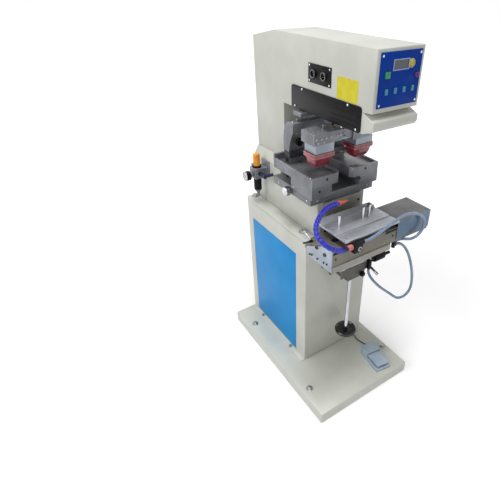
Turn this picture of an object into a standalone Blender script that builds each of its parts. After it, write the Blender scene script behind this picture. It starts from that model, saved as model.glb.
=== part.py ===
"""Two-colour pad printing machine on a pedestal.

Metres, +Z up. The origin is the underside of the base plate on the column's
centre line. The operator stands at -Y and the operator's right is +X.
"""
import math

import bmesh
import bpy
from mathutils import Matrix, Vector

# Clearances and cutting
GAP = 0.0003
RUNNING_GAP = 0.0003
OVERRUN = 0.002
MERGE = 0.00005

# Base plate
BASE_LEFT = 0.274
BASE_RIGHT = 0.216
BASE_DEPTH = 0.750
BASE_HEIGHT = 0.054
BASE_CORNER = 0.010
ANCHOR_LEFT_INSET = 0.036
ANCHOR_RIGHT_INSET = 0.023
ANCHOR_Y = 0.240
ANCHOR_RELIEF = 0.003
WASHER_RADIUS = 0.015
WASHER_THICKNESS = 0.003
BOLT_HEAD_RADIUS = 0.0105
BOLT_HEAD_HEIGHT = 0.008

# Pedestal cabinet
CABINET_WIDTH = 0.332
CABINET_FRONT = -0.097
CABINET_REAR = 0.369
CABINET_HEIGHT = 0.657
CABINET_WALL = 0.004
CABINET_EDGE = 0.003
CABINET_LID = 0.014
FLANGE_WIDTH = 0.020
FLANGE_THICKNESS = 0.004
FLANGE_BOLT_INSET = 0.103
FLANGE_BOLT_RADIUS = 0.0075
LID_BOLT_INSET = 0.029
LID_BOLT_FRONT = 0.062
LID_BOLT_REAR = 0.024
DOOR_FRONT = -0.030
DOOR_REAR = 0.325
DOOR_SILL = 0.0125
DOOR_HEAD_DROP = 0.094
DOOR_THICKNESS = 0.005
DOOR_GAP = 0.0015
DOOR_EDGE = 0.001
HINGE_PIN_RADIUS = 0.0015
HINGE_PIN_LENGTH = 0.012
HINGE_PIN_INSET = 0.003
CONTROLS_WIDTH = 0.140
CONTROLS_DEPTH = 0.045
CONTROLS_DROP = 0.381
CONTROLS_HEIGHT = 0.200
VALVE_COUNT = 4
VALVE_WIDTH = 0.018
VALVE_DEPTH = 0.050
VALVE_HEIGHT = 0.090
VALVE_PITCH = 0.022
MANIFOLD_HEIGHT = 0.028
MANIFOLD_DROP = 0.11

# Upper body casting
CASTING_WIDTH = 0.230
CASTING_ARM_HEIGHT = 0.145
CASTING_SHOULDER_RISE = 0.052
CASTING_NECK_RISE = 0.035
CASTING_EDGE = 0.004
CASTING_WALL = 0.012
NECK_FRONT = 0.157

# Head shell
HEAD_WIDTH = 0.186
HEAD_TOP_MARGIN = 0.01
HEAD_FRONT = -0.312
HEAD_WALL = 0.004
HEAD_EDGE = 0.005
HEAD_REAR_SLOPE_START = 0.214
HEAD_REAR_SLOPE_DROP = 0.030
HEAD_BOX_RISE = 0.066
GROOVE_DEPTH = 0.038
GROOVE_RISE = 0.003
CHIN_PROUD = 0.010
CHIN_TOP_RISE = 0.044
CHIN_MIDDLE_RISE = 0.023
CHIN_LOW_RISE = 0.013
CHIN_UNDERCUT = 0.007
CHIN_BACK = 0.037
THROAT_RISE = 0.022
SLOT_HALF_WIDTH = 0.060
SLOT_FRONT = -0.262
SLOT_REAR = 0.060
SIDE_WINDOW_FRONT = -0.250
SIDE_WINDOW_REAR = 0.080
SIDE_WINDOW_RISE = 0.018
SIDE_WINDOW_HEIGHT = 0.045
PLATE_THICKNESS = 0.003
SIDE_PLATE_FRONT = -0.270
SIDE_PLATE_REAR = 0.100
SIDE_PLATE_HEIGHT = 0.078
SIDE_PLATE_CORNER = 0.010
SOCKET_PLATE_FRONT = -0.121
SOCKET_PLATE_REAR = -0.001
SOCKET_PLATE_RISE = 0.025
SOCKET_PLATE_HEIGHT = 0.059
SOCKET_RADIUS = 0.0135
SOCKET_BORE = 0.0095
SOCKET_DEPTH = 0.007
SOCKET_SPREAD = 0.028

# Control panel and its buttons
PANEL_HALF_WIDTH = 0.0805
PANEL_RISE = 0.014
PANEL_HEIGHT = 0.148
PANEL_WINDOW_HALF_WIDTH = 0.076
PANEL_WINDOW_SILL = 0.02
PANEL_WINDOW_DROP = 0.01
DISPLAY_LEFT = -0.030
DISPLAY_RIGHT = 0.027
DISPLAY_SHARE = 0.6824
DISPLAY_HEIGHT = 0.024
DISPLAY_RECESS = 0.001
BUTTON_CLEARANCE = 0.0004
BUTTON_PROUD = 0.004
BUTTON_FLANGE = 0.0015
BUTTON_FLANGE_THICKNESS = 0.002
YELLOW_X = 0.040
YELLOW_SHARE = 0.7635
YELLOW_RADIUS = 0.009
GREEN_X = -0.052
GREEN_SHARE = 0.6014
GREEN_SIZE = 0.018
RED_X = 0.066
RED_SHARE = 0.5405
RED_RADIUS = 0.007
KEY_FIRST_X = -0.051
KEY_PITCH = 0.0353
KEY_COUNT = 4
KEY_SHARE = 0.2973
KEY_WIDTH = 0.010
KEY_HEIGHT = 0.016

# Stroke guide, carriage and lift cylinder
GUIDE_RADIUS = 0.008
GUIDE_SPREAD = 0.038
GUIDE_RISE = 0.03
GUIDE_BLOCK_HALF_WIDTH = 0.055
GUIDE_BLOCK_THICKNESS = 0.015
GUIDE_BLOCK_RISE = 0.023
FRONT_BLOCK_Y = -0.302
REAR_BLOCK_Y = 0.100
STROKE_CYLINDER_RADIUS = 0.020
STROKE_CYLINDER_BORE = 0.0163
STROKE_CYLINDER_LENGTH = 0.230
STROKE_ROD_RADIUS = 0.006
STROKE_ROD_END = 0.300
PISTON_THICKNESS = 0.008
GLAND_LENGTH = 0.010
CARRIAGE_FRONT = -0.105
CARRIAGE_REAR = -0.025
HANGER_LENGTH = 0.104
CARRIAGE_HEIGHT = 0.06
HANGER_HALF_WIDTH = 0.045
HANGER_INSET = 0.005
HANGER_CLEARANCE = 0.002
LIFT_Y = -0.065
LIFT_CYLINDER_RADIUS = 0.020
LIFT_CYLINDER_HEIGHT = 0.058
LIFT_CYLINDER_BORE = 0.0153
LIFT_ROD_RADIUS = 0.008
LIFT_PISTON_DROP = 0.028

# Blade carrier and beam
CARRIER_HALF_WIDTH = 0.105
CARRIER_RISE = 0.012
CARRIER_THICKNESS = 0.014
CARRIER_FRONT = 0.030
CARRIER_REAR = 0.075
BLADE_PIN_SPREAD = 0.085
BLADE_PIN_RADIUS = 0.004
BLADE_CYLINDER_RADIUS = 0.014
BLADE_CYLINDER_HEIGHT = 0.012
BLADE_ROD_CLEARANCE = 0.004
BEAM_REACH = 0.045
BEAM_FRONT = 0.035
BEAM_REAR = 0.070
BEAM_HEIGHT = 0.035
BEAM_DROP = 0.02
CHEEK_THICKNESS = 0.012
CHEEK_BACK = 0.097
CROSS_FRONT = 0.062
CROSS_REAR = 0.0915
CLAMP_HEIGHT = 0.025
CROSS_DROP = 0.023
CLAMP_FRONT = 0.056
BLADE_REACH = 0.0238
BLADE_CLEARANCE = 0.0012
BLADE_THICKNESS = 0.0015
BLADE_INSET = 0.004
FLOOD_THICKNESS = 0.003
FLOOD_RAISE = 0.0015
CLAMP_HALF_WIDTH = 0.046
BLADE_KNOB_OFFSET = 0.010
BLADE_KNOB_DROP = 0.015
BLADE_KNOB_RADIUS = 0.015
BLADE_KNOB_LENGTH = 0.014
BLADE_KNOB_SHAFT = 0.004
BLADE_KNOB_STANDOFF = 0.012
BLADE_KNOB_ENTRY = 0.008

# Pads and the arms that hold them
PAD_PITCH = 0.180
ARM_LEFT_REACH = 0.062
ARM_FRONT = -0.115
ARM_REAR = -0.041
ARM_STEP = 0.015
ARM_THICKNESS = 0.041
ARM_RIGHT_INNER_REACH = 0.058
ARM_RIGHT_OUTER_REACH = 0.022
ARM_RIGHT_FRONT = -0.102
ARM_RIGHT_REAR = -0.036
HOLDER_HEIGHT = 0.025
ARM_RIGHT_THICKNESS = 0.038
ARM_EDGE = 0.002
LINK_FRONT = -0.092
LINK_REAR = -0.043
LINK_RISE = 0.008
LINK_THICKNESS = 0.034
EYE_RADIUS = 0.009
EYE_BORE = 0.004
EYE_LENGTH = 0.010
EYE_X = -0.012
HOLDER_HALF_WIDTH = 0.040
HOLDER_HALF_DEPTH = 0.033
PAD_CLEARANCE = 0.017
PAD_HALF_WIDTH = 0.046
PAD_HALF_DEPTH = 0.036
PAD_HEIGHT = 0.060
PAD_CORNER = 0.008

# Ink trays and their support plate
SUPPORT_REACH = 0.061
SUPPORT_FRONT = -0.101
SUPPORT_REAR = 0.150
SUPPORT_THICKNESS = 0.0327
TRAY_INNER_REACH = 0.065
TRAY_OUTER_REACH = 0.066
TRAY_FRONT = -0.116
TRAY_REAR = 0.138
TRAY_FOOT_HEIGHT = 0.041
TRAY_HEIGHT = 0.038
TRAY_RIM = 0.008
TRAY_RECESS = 0.010
TRAY_CHAMFER = 0.014
TRAY_FOOT_REACH = 0.022
TRAY_FOOT_REAR = 0.017
TRAY_BACK_WALL = 0.016
CLICHE_HALF_WIDTH = 0.050
CLICHE_THICKNESS = 0.0017
CLICHE_INSET = 0.006
TRAY_KNOB_Y = 0.032
TRAY_KNOB_DROP = 0.019
TRAY_KNOB_RADIUS = 0.018
TRAY_KNOB_LENGTH = 0.022
TRAY_KNOB_STANDOFF = 0.004
TRAY_KNOB_SHAFT = 0.005
TRAY_KNOB_ENTRY = 0.020

# Worktable lift
GUIDE_PLATE_HALF_WIDTH = 0.087
GUIDE_PLATE_THICKNESS = 0.010
GUIDE_PLATE_HEIGHT = 0.301
RAIL_SPREAD = 0.055
RAIL_WIDTH = 0.016
RAIL_DEPTH = 0.012
RAIL_INSET = 0.005
RAIL_LENGTH = 0.24
NUT_ARM_HALF_WIDTH = 0.022
NUT_ARM_RISE = 0.028
NUT_ARM_THICKNESS = 0.018
SCREW_Y = -0.179
SCREW_RADIUS = 0.007
NUT_ARM_LIP = 0.012
RUNNER_WIDTH = 0.030
RUNNER_DEPTH = 0.021
RUNNER_RISE = 0.006
RUNNER_HEIGHT = 0.070
KNEE_PLATE_HALF_WIDTH = 0.075
KNEE_PLATE_THICKNESS = 0.010
KNEE_PLATE_HEIGHT = 0.16
KNEE_DROP = 0.048
KNEE_HALF_WIDTH = 0.044
KNEE_FRONT = -0.215
KNEE_FLOOR = 0.010
KNEE_FLANGE_RISE = 0.031
KNEE_FLANGE_THICKNESS = 0.008
KNEE_CAVITY_HALF_WIDTH = 0.030
KNEE_WINDOW_DROP = 0.04
X_NUT_INNER = 0.032
X_NUT_WIDTH = 0.007
X_NUT_DEPTH = 0.020
X_SCREW_Y = -0.198
X_SCREW_RISE = 0.017
X_SCREW_RADIUS = 0.005
X_NUT_RISE = 0.018
COLLAR_RADIUS = 0.012
COLLAR_THICKNESS = 0.006
SCREW_LENGTH = 0.431
SCREW_OVERHANG = 0.039
WHEEL_RADIUS = 0.048
WHEEL_RISE = 0.015
WHEEL_RIM = 0.010
WHEEL_RIM_HEIGHT = 0.014
WHEEL_WEB = 0.005
WHEEL_HUB_RADIUS = 0.013
WHEEL_HUB_HEIGHT = 0.034

# Cross slide under the shuttle
SLIDE_HALF_WIDTH = 0.069
SLIDE_WALL = 0.010
SLIDE_RISE = 0.086
SLIDE_CHANNEL_HALF_WIDTH = 0.050
SLIDE_ROOF = 0.013
SLIDE_LIP_DROP = 0.0075
SLIDE_LIP = 0.005
RISER_HALF_WIDTH = 0.055
RISER_FRONT = -0.225
BED_RISE = 0.045
BED_THICKNESS = 0.025
BED_LEFT = -0.210
BED_RIGHT = 0.062
BED_REAR = -0.160
X_COLLAR_RADIUS = 0.015
X_COLLAR_LENGTH = 0.029
X_KNOB_RADIUS = 0.024
X_KNOB_LENGTH = 0.054
X_HANDLE_RADIUS = 0.007
X_HANDLE_LENGTH = 0.026
X_HANDLE_OFFSET = 0.014

# Shuttle
SHUTTLE_LEFT = -0.212
SHUTTLE_RIGHT = 0.2575
SHUTTLE_FRONT = -0.3125
SHUTTLE_BACK = -0.192
SHUTTLE_REAR = -0.156
SHUTTLE_WALL = 0.008
SHUTTLE_FLOOR = 0.010
SHUTTLE_LID = 0.005
SHUTTLE_HEIGHT = 0.06
TRACK_FRONT = -0.180
TRACK_REAR = -0.165
TRACK_HEIGHT = 0.015
TRACK_END_CLEARANCE = 0.007
HOOD_LEFT = 0.088
HOOD_SKIN = 0.0022
HOOD_RISE = 0.0227
HOOD_HEIGHT = 0.073
HOOD_SIDE_GAP = 0.0003
END_PLATE_THICKNESS = 0.005
END_PLATE_FRONT = -0.315
END_PLATE_REAR = -0.174
END_PLATE_DROP = 0.016
END_PLATE_HEIGHT = 0.094
END_PLATE_REAR_HEIGHT = 0.033
END_PLATE_FLAT = 0.020
PLATE_LEFT = -0.166
PLATE_RIGHT = 0.0845
PLATE_FRONT = -0.322
PLATE_REAR = -0.150
PLATE_RISE = 0.0242
PLATE_HEIGHT = 0.008
PLATE_SLOT_WIDTH = 0.008
PLATE_SLOT_DEPTH = 0.004
PLATE_SLOT_INSET = 0.047
BEARING_LENGTH = 0.040
BEARING_INSET = 0.016
BEARING_RIGHT_INSET = 0.0605
BEARING_MARGIN = 0.006
TONGUE_X = -0.155
TONGUE_THICKNESS = 0.010
TONGUE_HALF_WIDTH = 0.008
DRIVE_Y = -0.252
DRIVE_DROP = 0.0293
TONGUE_DROP = 0.008
TONGUE_SLOT_MARGIN = 0.011
CYLINDER_LEFT = 0.050
CYLINDER_HALF_WIDTH = 0.018
CYLINDER_RISE = 0.021
CYLINDER_BORE = 0.0125
CYLINDER_GLAND = 0.006
DRIVE_ROD_RADIUS = 0.005
DRIVE_PISTON_RADIUS = 0.012
DRIVE_PISTON_THICKNESS = 0.006
POST_RADIUS = 0.004
POST_HEIGHT = 0.044
POST_LEFT_INSET = 0.045
POST_RIGHT_INSET = 0.0655
POST_SPACING = 0.030
POST_FRONT_INSET = 0.090
STOP_WIDTH = 0.012
STOP_DEPTH = 0.024
STOP_HEIGHT = 0.016

# Air block, hose and tubes
BLOCK_LEFT = -0.142
BLOCK_WIDTH = 0.036
BLOCK_DEPTH = 0.030
BLOCK_HEIGHT = 0.036
BLOCK_CLEARANCE = 0.001
HOSE_RADIUS = 0.0072
HOSE_RIB_RADIUS = 0.0092
HOSE_BORE = 0.0045
HOSE_RIB_PITCH = 0.0160
NUT_RADIUS = 0.0105
NOZZLE_LENGTH = 0.055
NOZZLE_TIP_RADIUS = 0.0035
TUBE_RADIUS = 0.0055
FITTING_RADIUS = 0.0075
DROP_FITTING_X = 0.094
DROP_FITTING_Y = -0.300
LOW_FITTING_X = 0.052
LOW_FITTING_RISE = 0.021
LOW_FITTING_HEIGHT = 0.026
LOW_FITTING_DEPTH = 0.0262
LOOP_PORT_DEPTH = 0.0172
LOOP_PORT_RISE = 0.0255
LOOP_FITTING_LENGTH = 0.0147
HOSE_PORT_DEPTH = 0.0147
HOSE_PORT_RISE = 0.0205
HOSE_NUT_LENGTH = 0.0182
TEE_DROP = 0.0350
TEE_BRANCH_DROP = 0.0103
DROP_BRANCH_DROP = 0.0268
TEE_BRANCH_LENGTH = 0.0097

# Table lock knob and clamp lever
LOCK_X = 0.020
LOCK_RISE = 0.0195
LOCK_KNOB_RADIUS = 0.011
LOCK_KNOB_LENGTH = 0.016
LOCK_STANDOFF = 0.006
LOCK_SHAFT = 0.004
LEVER_Y = -0.190
LEVER_RISE = 0.019
LEVER_HUB_RADIUS = 0.010
LEVER_HUB_END = 0.088
LEVER_SHAFT = 0.004
LEVER_REACH = 0.060
LEVER_DROP = 0.014
LEVER_ARM_RADIUS = 0.005
LEVER_TIP_RADIUS = 0.007

# Air regulator on the left of the casting
REGULATOR_X = -0.155
REGULATOR_Y = 0.280
REGULATOR_RISE = 0.124
REGULATOR_HEIGHT = 0.045
REGULATOR_HALF_WIDTH = 0.022
REGULATOR_HALF_DEPTH = 0.024
BRACKET_FRONT = 0.240
BRACKET_REAR = 0.300
BRACKET_THICKNESS = 0.006
CAP_RING_RADIUS = 0.019
CAP_RING_HEIGHT = 0.008
CAP_RADIUS = 0.0145
CAP_HEIGHT = 0.050
GAUGE_RADIUS = 0.020
GAUGE_DEPTH = 0.023
GAUGE_NECK_RADIUS = 0.006
GAUGE_NECK = 0.014
GAUGE_RISE = 0.015
BOWL_RADIUS = 0.0165
BOWL_HEIGHT = 0.055
BOWL_TIP_RADIUS = 0.006
BOWL_TIP = 0.034
PORT_RADIUS = 0.009
PORT_LENGTH = 0.016
INLET_RISE = 0.026
OUTLET_REACH = 0.045
OUTLET_RADIUS = 0.0065

# Foot pedal
PEDAL_X = 0.108
PEDAL_INSET = 0.095
PEDAL_TURN = math.radians(-8.4)
PEDAL_WIDTH = 0.075
PEDAL_LENGTH = 0.137
PEDAL_BASE = 0.012
PEDAL_CHEEK = 0.005
PEDAL_HOOD_LENGTH = 0.055
PEDAL_HOOD_HEIGHT = 0.040
PEDAL_HOOD_ROOF = 0.005
PEDAL_PIN_RADIUS = 0.003
PEDAL_PIN_INSET = 0.016
PEDAL_PIN_HEIGHT = 0.021
TREADLE_THICKNESS = 0.008
TREADLE_HEEL = 0.006
TREADLE_SIDE_GAP = 0.0015
TREADLE_NOSE = 0.026
CABLE_RADIUS = 0.0025
GLAND_X = 0.117
GLAND_RISE = 0.014
CABLE_GLAND_RADIUS = 0.006
CABLE_GLAND_LENGTH = 0.012

# Curve finish
ROUND_SIDES = 24
SMALL_SIDES = 14
HEX_SIDES = 6
CURVE_STEPS = 16

# Levels, each worked out from the one below or above it
CABINET_TOP = BASE_HEIGHT + CABINET_HEIGHT
DOOR_LOW = BASE_HEIGHT + DOOR_SILL
DOOR_HIGH = CABINET_TOP - DOOR_HEAD_DROP
CONTROLS_LOW = CABINET_TOP - CONTROLS_DROP
MANIFOLD_LOW = CONTROLS_LOW - MANIFOLD_DROP
CASTING_ARM_TOP = CABINET_TOP + CASTING_ARM_HEIGHT
CASTING_SHOULDER = CASTING_ARM_TOP + CASTING_SHOULDER_RISE
CASTING_TOP = CASTING_SHOULDER + CASTING_NECK_RISE
SUPPORT_TOP = CASTING_ARM_TOP + GAP + SUPPORT_THICKNESS
TRAY_KNOB_Z = SUPPORT_TOP - TRAY_KNOB_DROP
TRAY_RIM_BOTTOM = SUPPORT_TOP + TRAY_FOOT_HEIGHT
TRAY_TOP = TRAY_RIM_BOTTOM + TRAY_HEIGHT
PAD_TOP = TRAY_TOP + PAD_CLEARANCE + PAD_HEIGHT
ARM_RIGHT_LOW = PAD_TOP + HOLDER_HEIGHT
ARM_RIGHT_HIGH = ARM_RIGHT_LOW + ARM_RIGHT_THICKNESS
LINK_LOW = ARM_RIGHT_LOW + LINK_RISE
LINK_HIGH = LINK_LOW + LINK_THICKNESS
ARM_LOW = ARM_RIGHT_LOW + ARM_STEP
ARM_HIGH = ARM_LOW + ARM_THICKNESS
HANGER_LOW = ARM_HIGH + HANGER_CLEARANCE
CARRIER_LOW = HANGER_LOW + CARRIER_RISE
CARRIAGE_LOW = HANGER_LOW + HANGER_LENGTH
CARRIAGE_HIGH = CARRIAGE_LOW + CARRIAGE_HEIGHT
LIFT_CYLINDER_TOP = CARRIAGE_HIGH + LIFT_CYLINDER_HEIGHT
LIFT_PISTON_Z = LIFT_CYLINDER_TOP - LIFT_PISTON_DROP
GUIDE_Z = CARRIAGE_LOW + GUIDE_RISE
GUIDE_BLOCK_TOP = GUIDE_Z + GUIDE_BLOCK_RISE
THROAT_TOP = CARRIER_LOW + THROAT_RISE
CHIN_LOW = THROAT_TOP + CHIN_LOW_RISE
CHIN_MIDDLE = THROAT_TOP + CHIN_MIDDLE_RISE
CHIN_TOP = THROAT_TOP + CHIN_TOP_RISE
HEAD_BOX_BOTTOM = THROAT_TOP + HEAD_BOX_RISE
SIDE_WINDOW_LOW = THROAT_TOP + SIDE_WINDOW_RISE
SIDE_WINDOW_HIGH = SIDE_WINDOW_LOW + SIDE_WINDOW_HEIGHT
SIDE_PLATE_HIGH = THROAT_TOP + SIDE_PLATE_HEIGHT
SOCKET_PLATE_LOW = SIDE_PLATE_HIGH + SOCKET_PLATE_RISE
SOCKET_PLATE_HIGH = SOCKET_PLATE_LOW + SOCKET_PLATE_HEIGHT
PANEL_LOW = HEAD_BOX_BOTTOM + PANEL_RISE
PANEL_HIGH = PANEL_LOW + PANEL_HEIGHT
PANEL_WINDOW_LOW = PANEL_LOW + PANEL_WINDOW_SILL
PANEL_WINDOW_HIGH = PANEL_HIGH - PANEL_WINDOW_DROP
HEAD_TOP = PANEL_HIGH + HEAD_TOP_MARGIN
DISPLAY_LOW = PANEL_LOW + DISPLAY_SHARE * PANEL_HEIGHT
DISPLAY_HIGH = DISPLAY_LOW + DISPLAY_HEIGHT
YELLOW_Z = PANEL_LOW + YELLOW_SHARE * PANEL_HEIGHT
GREEN_Z = PANEL_LOW + GREEN_SHARE * PANEL_HEIGHT
RED_Z = PANEL_LOW + RED_SHARE * PANEL_HEIGHT
KEY_Z = PANEL_LOW + KEY_SHARE * PANEL_HEIGHT
BLADE_LOW = TRAY_TOP - TRAY_RECESS + GAP + CLICHE_THICKNESS + BLADE_CLEARANCE
CLAMP_LOW = BLADE_LOW + BLADE_REACH
CROSS_LOW = CLAMP_LOW + CLAMP_HEIGHT
CHEEK_LOW = CROSS_LOW
BLADE_ROD_TOP = CARRIER_LOW - BLADE_ROD_CLEARANCE
BEAM_HIGH = CARRIER_LOW - BEAM_DROP
BEAM_LOW = BEAM_HIGH - BEAM_HEIGHT
CROSS_HIGH = BEAM_LOW - CROSS_DROP
BLADE_KNOB_Z = CROSS_HIGH - BLADE_KNOB_DROP
GUIDE_PLATE_LOW = CASTING_ARM_TOP - GUIDE_PLATE_HEIGHT
RAIL_LOW = GUIDE_PLATE_LOW + RAIL_INSET
RAIL_HIGH = RAIL_LOW + RAIL_LENGTH
NUT_ARM_LOW = RAIL_LOW + NUT_ARM_RISE
NUT_ARM_HIGH = NUT_ARM_LOW + NUT_ARM_THICKNESS
RUNNER_LOW = NUT_ARM_HIGH + RUNNER_RISE
KNEE_LOW = NUT_ARM_LOW - KNEE_DROP
KNEE_PLATE_HIGH = KNEE_LOW + KNEE_PLATE_HEIGHT
KNEE_WINDOW_HIGH = KNEE_PLATE_HIGH - KNEE_WINDOW_DROP
KNEE_FLANGE_LOW = KNEE_LOW + KNEE_FLANGE_RISE
KNEE_FLANGE_HIGH = KNEE_FLANGE_LOW + KNEE_FLANGE_THICKNESS
X_SCREW_Z = KNEE_FLANGE_HIGH + X_SCREW_RISE
SCREW_TOP = NUT_ARM_HIGH + SCREW_OVERHANG
SCREW_BOTTOM = SCREW_TOP - SCREW_LENGTH
WHEEL_Z = SCREW_BOTTOM + WHEEL_RISE
LOCK_Z = KNEE_LOW + LOCK_RISE
LEVER_Z = KNEE_LOW + LEVER_RISE
SLIDE_TOP = KNEE_FLANGE_HIGH + SLIDE_RISE
LOW_FITTING_TOP = KNEE_FLANGE_HIGH + LOW_FITTING_RISE
BED_BOTTOM = SLIDE_TOP + BED_RISE
BED_TOP = BED_BOTTOM + BED_THICKNESS
SHUTTLE_TOP = BED_TOP + GAP + SHUTTLE_HEIGHT
HOOD_TOP = SHUTTLE_TOP + HOOD_RISE
HOOD_LOW = HOOD_TOP - HOOD_HEIGHT
END_PLATE_LOW = BED_TOP - END_PLATE_DROP
END_PLATE_HIGH = END_PLATE_LOW + END_PLATE_HEIGHT
END_PLATE_HIGH_REAR = END_PLATE_LOW + END_PLATE_REAR_HEIGHT
PLATE_BOTTOM = SHUTTLE_TOP + PLATE_RISE
BLOCK_HIGH = PLATE_BOTTOM - BLOCK_CLEARANCE
BLOCK_LOW = BLOCK_HIGH - BLOCK_HEIGHT
DRIVE_Z = SHUTTLE_TOP - DRIVE_DROP
CYLINDER_TOP = DRIVE_Z + CYLINDER_RISE
REGULATOR_LOW = CABINET_TOP + REGULATOR_RISE
REGULATOR_HIGH = REGULATOR_LOW + REGULATOR_HEIGHT
GAUGE_Z = REGULATOR_LOW + GAUGE_RISE
PEDAL_Y = -BASE_DEPTH / 2 + PEDAL_INSET
GLAND_Z = BASE_HEIGHT + GLAND_RISE

# Worked-out levels shared by several pieces
CABINET_HALF = CABINET_WIDTH / 2
CASTING_HALF = CASTING_WIDTH / 2
HEAD_HALF = HEAD_WIDTH / 2
CABINET_BOTTOM = BASE_HEIGHT + GAP
LID_BOTTOM = CABINET_TOP - CABINET_LID
CASTING_BOTTOM = CABINET_TOP + GAP
HEAD_BOTTOM = CASTING_TOP + GAP
PANEL_BACK = HEAD_FRONT - GAP
PANEL_FACE = PANEL_BACK - PLATE_THICKNESS
SIDE_INNER = -HEAD_HALF - GAP
SIDE_FACE = SIDE_INNER - PLATE_THICKNESS
SUPPORT_BOTTOM = CASTING_ARM_TOP + GAP
TRAY_BOTTOM = SUPPORT_TOP + GAP
TRAY_FLOOR = TRAY_TOP - TRAY_RECESS
PAD_X = PAD_PITCH / 2
TRAY_INNER = PAD_X - TRAY_INNER_REACH
TRAY_OUTER = PAD_X + TRAY_OUTER_REACH
TRAY_FOOT_INNER = PAD_X - TRAY_FOOT_REACH
SUPPORT_HALF_WIDTH = PAD_X + SUPPORT_REACH
ARM_LEFT_OUTER = PAD_X + ARM_LEFT_REACH
ARM_LEFT_INNER = PAD_X - ARM_LEFT_REACH
ARM_RIGHT_INNER = PAD_X - ARM_RIGHT_INNER_REACH
ARM_RIGHT_OUTER = PAD_X + ARM_RIGHT_OUTER_REACH
BEAM_HALF_WIDTH = PAD_X + BEAM_REACH
BLADE_KNOB_X = PAD_X + BLADE_KNOB_OFFSET
GUIDE_PLATE_BACK = CABINET_FRONT - GAP
GUIDE_PLATE_FACE = GUIDE_PLATE_BACK - GUIDE_PLATE_THICKNESS
RAIL_FACE = GUIDE_PLATE_FACE - RAIL_DEPTH
KNEE_PLATE_BACK = RAIL_FACE - RUNNER_DEPTH + 0.6 * RAIL_DEPTH
KNEE_PLATE_FACE = KNEE_PLATE_BACK - KNEE_PLATE_THICKNESS
SLIDE_BOTTOM = KNEE_FLANGE_HIGH + GAP
SLIDE_FRONT = KNEE_FRONT - GAP - SLIDE_LIP
SLIDE_REAR = KNEE_PLATE_FACE - GAP
RISER_TOP = BED_BOTTOM - GAP
SHUTTLE_BOTTOM = BED_TOP + GAP
SHUTTLE_FLOOR_TOP = SHUTTLE_BOTTOM + SHUTTLE_FLOOR
SHUTTLE_STROKE = PAD_PITCH
BLOCK_RIGHT = BLOCK_LEFT + BLOCK_WIDTH
PEDAL_BOTTOM = BASE_HEIGHT + GAP

# Routes of the hose, the two air tubes and the pedal cable, point by point
HOSE_ROUTE = [
    (-0.1605, -0.3275, 0.8030), (-0.1800, -0.3275, 0.8030), (-0.2080, -0.3310, 0.8160),
    (-0.2380, -0.3280, 0.8360), (-0.2540, -0.3120, 0.8530), (-0.2590, -0.2900, 0.8690),
    (-0.2490, -0.2680, 0.8850), (-0.2270, -0.2490, 0.8950), (-0.1980, -0.2290, 0.9000),
    (-0.1650, -0.2120, 0.9010), (-0.1330, -0.2010, 0.8990), (-0.1150, -0.1970, 0.8970),
    (-0.0990, -0.1940, 0.8950),
]
LOOP_ROUTE = [
    (-0.0910, -0.3300, 0.8080), (-0.0790, -0.3300, 0.8080), (-0.0610, -0.3300, 0.8095),
    (-0.0430, -0.3300, 0.8130),
    (-0.0100, -0.3300, 0.8220), (0.0290, -0.3300, 0.8340), (0.0640, -0.3300, 0.8450),
    (0.1010, -0.3300, 0.8500), (0.1430, -0.3300, 0.8440), (0.1850, -0.3300, 0.8230),
    (0.2130, -0.3300, 0.7900), (0.2110, -0.3300, 0.7560), (0.1880, -0.3290, 0.7340),
    (0.1620, -0.3250, 0.7270), (0.1470, -0.3155, 0.7255), (0.1330, -0.3045, 0.7250),
    (0.1160, -0.3000, 0.7250), (0.1040, -0.3000, 0.7250),
]
DROP_ROUTE = [
    (0.1040, -0.3000, 0.7085), (0.1150, -0.3000, 0.7085), (0.1340, -0.3020, 0.7010),
    (0.1520, -0.3060, 0.6840), (0.1680, -0.3100, 0.6600), (0.1815, -0.3130, 0.6325),
    (0.1925, -0.3155, 0.6040), (0.2020, -0.3175, 0.5745), (0.2100, -0.3190, 0.5445),
    (0.2160, -0.3200, 0.5140), (0.2195, -0.3200, 0.4850), (0.2195, -0.3190, 0.4610),
    (0.2150, -0.3175, 0.4435), (0.2040, -0.3155, 0.4290), (0.1885, -0.3130, 0.4210),
    (0.1730, -0.3100, 0.4200), (0.1585, -0.3070, 0.4240), (0.1460, -0.3035, 0.4330),
    (0.1275, -0.2985, 0.4510), (0.1080, -0.2915, 0.4695), (0.0895, -0.2820, 0.4870),
    (0.0730, -0.2690, 0.5050), (0.0600, -0.2515, 0.5245), (0.0530, -0.2355, 0.5440),
    (0.0520, -0.2280, 0.5615), (0.0520, -0.2280, 0.5735),
]
CABLE_ROUTE = [
    (0.1260, -0.2130, 0.0680), (0.1275, -0.2032, 0.0680), (0.1280, -0.1900, 0.0620),
    (0.1265, -0.1720, 0.0575), (0.1220, -0.1500, 0.0575), (0.1185, -0.1340, 0.0610),
    (0.1170, -0.1200, 0.0680), (0.1170, -0.1093, 0.0680),
]

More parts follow.
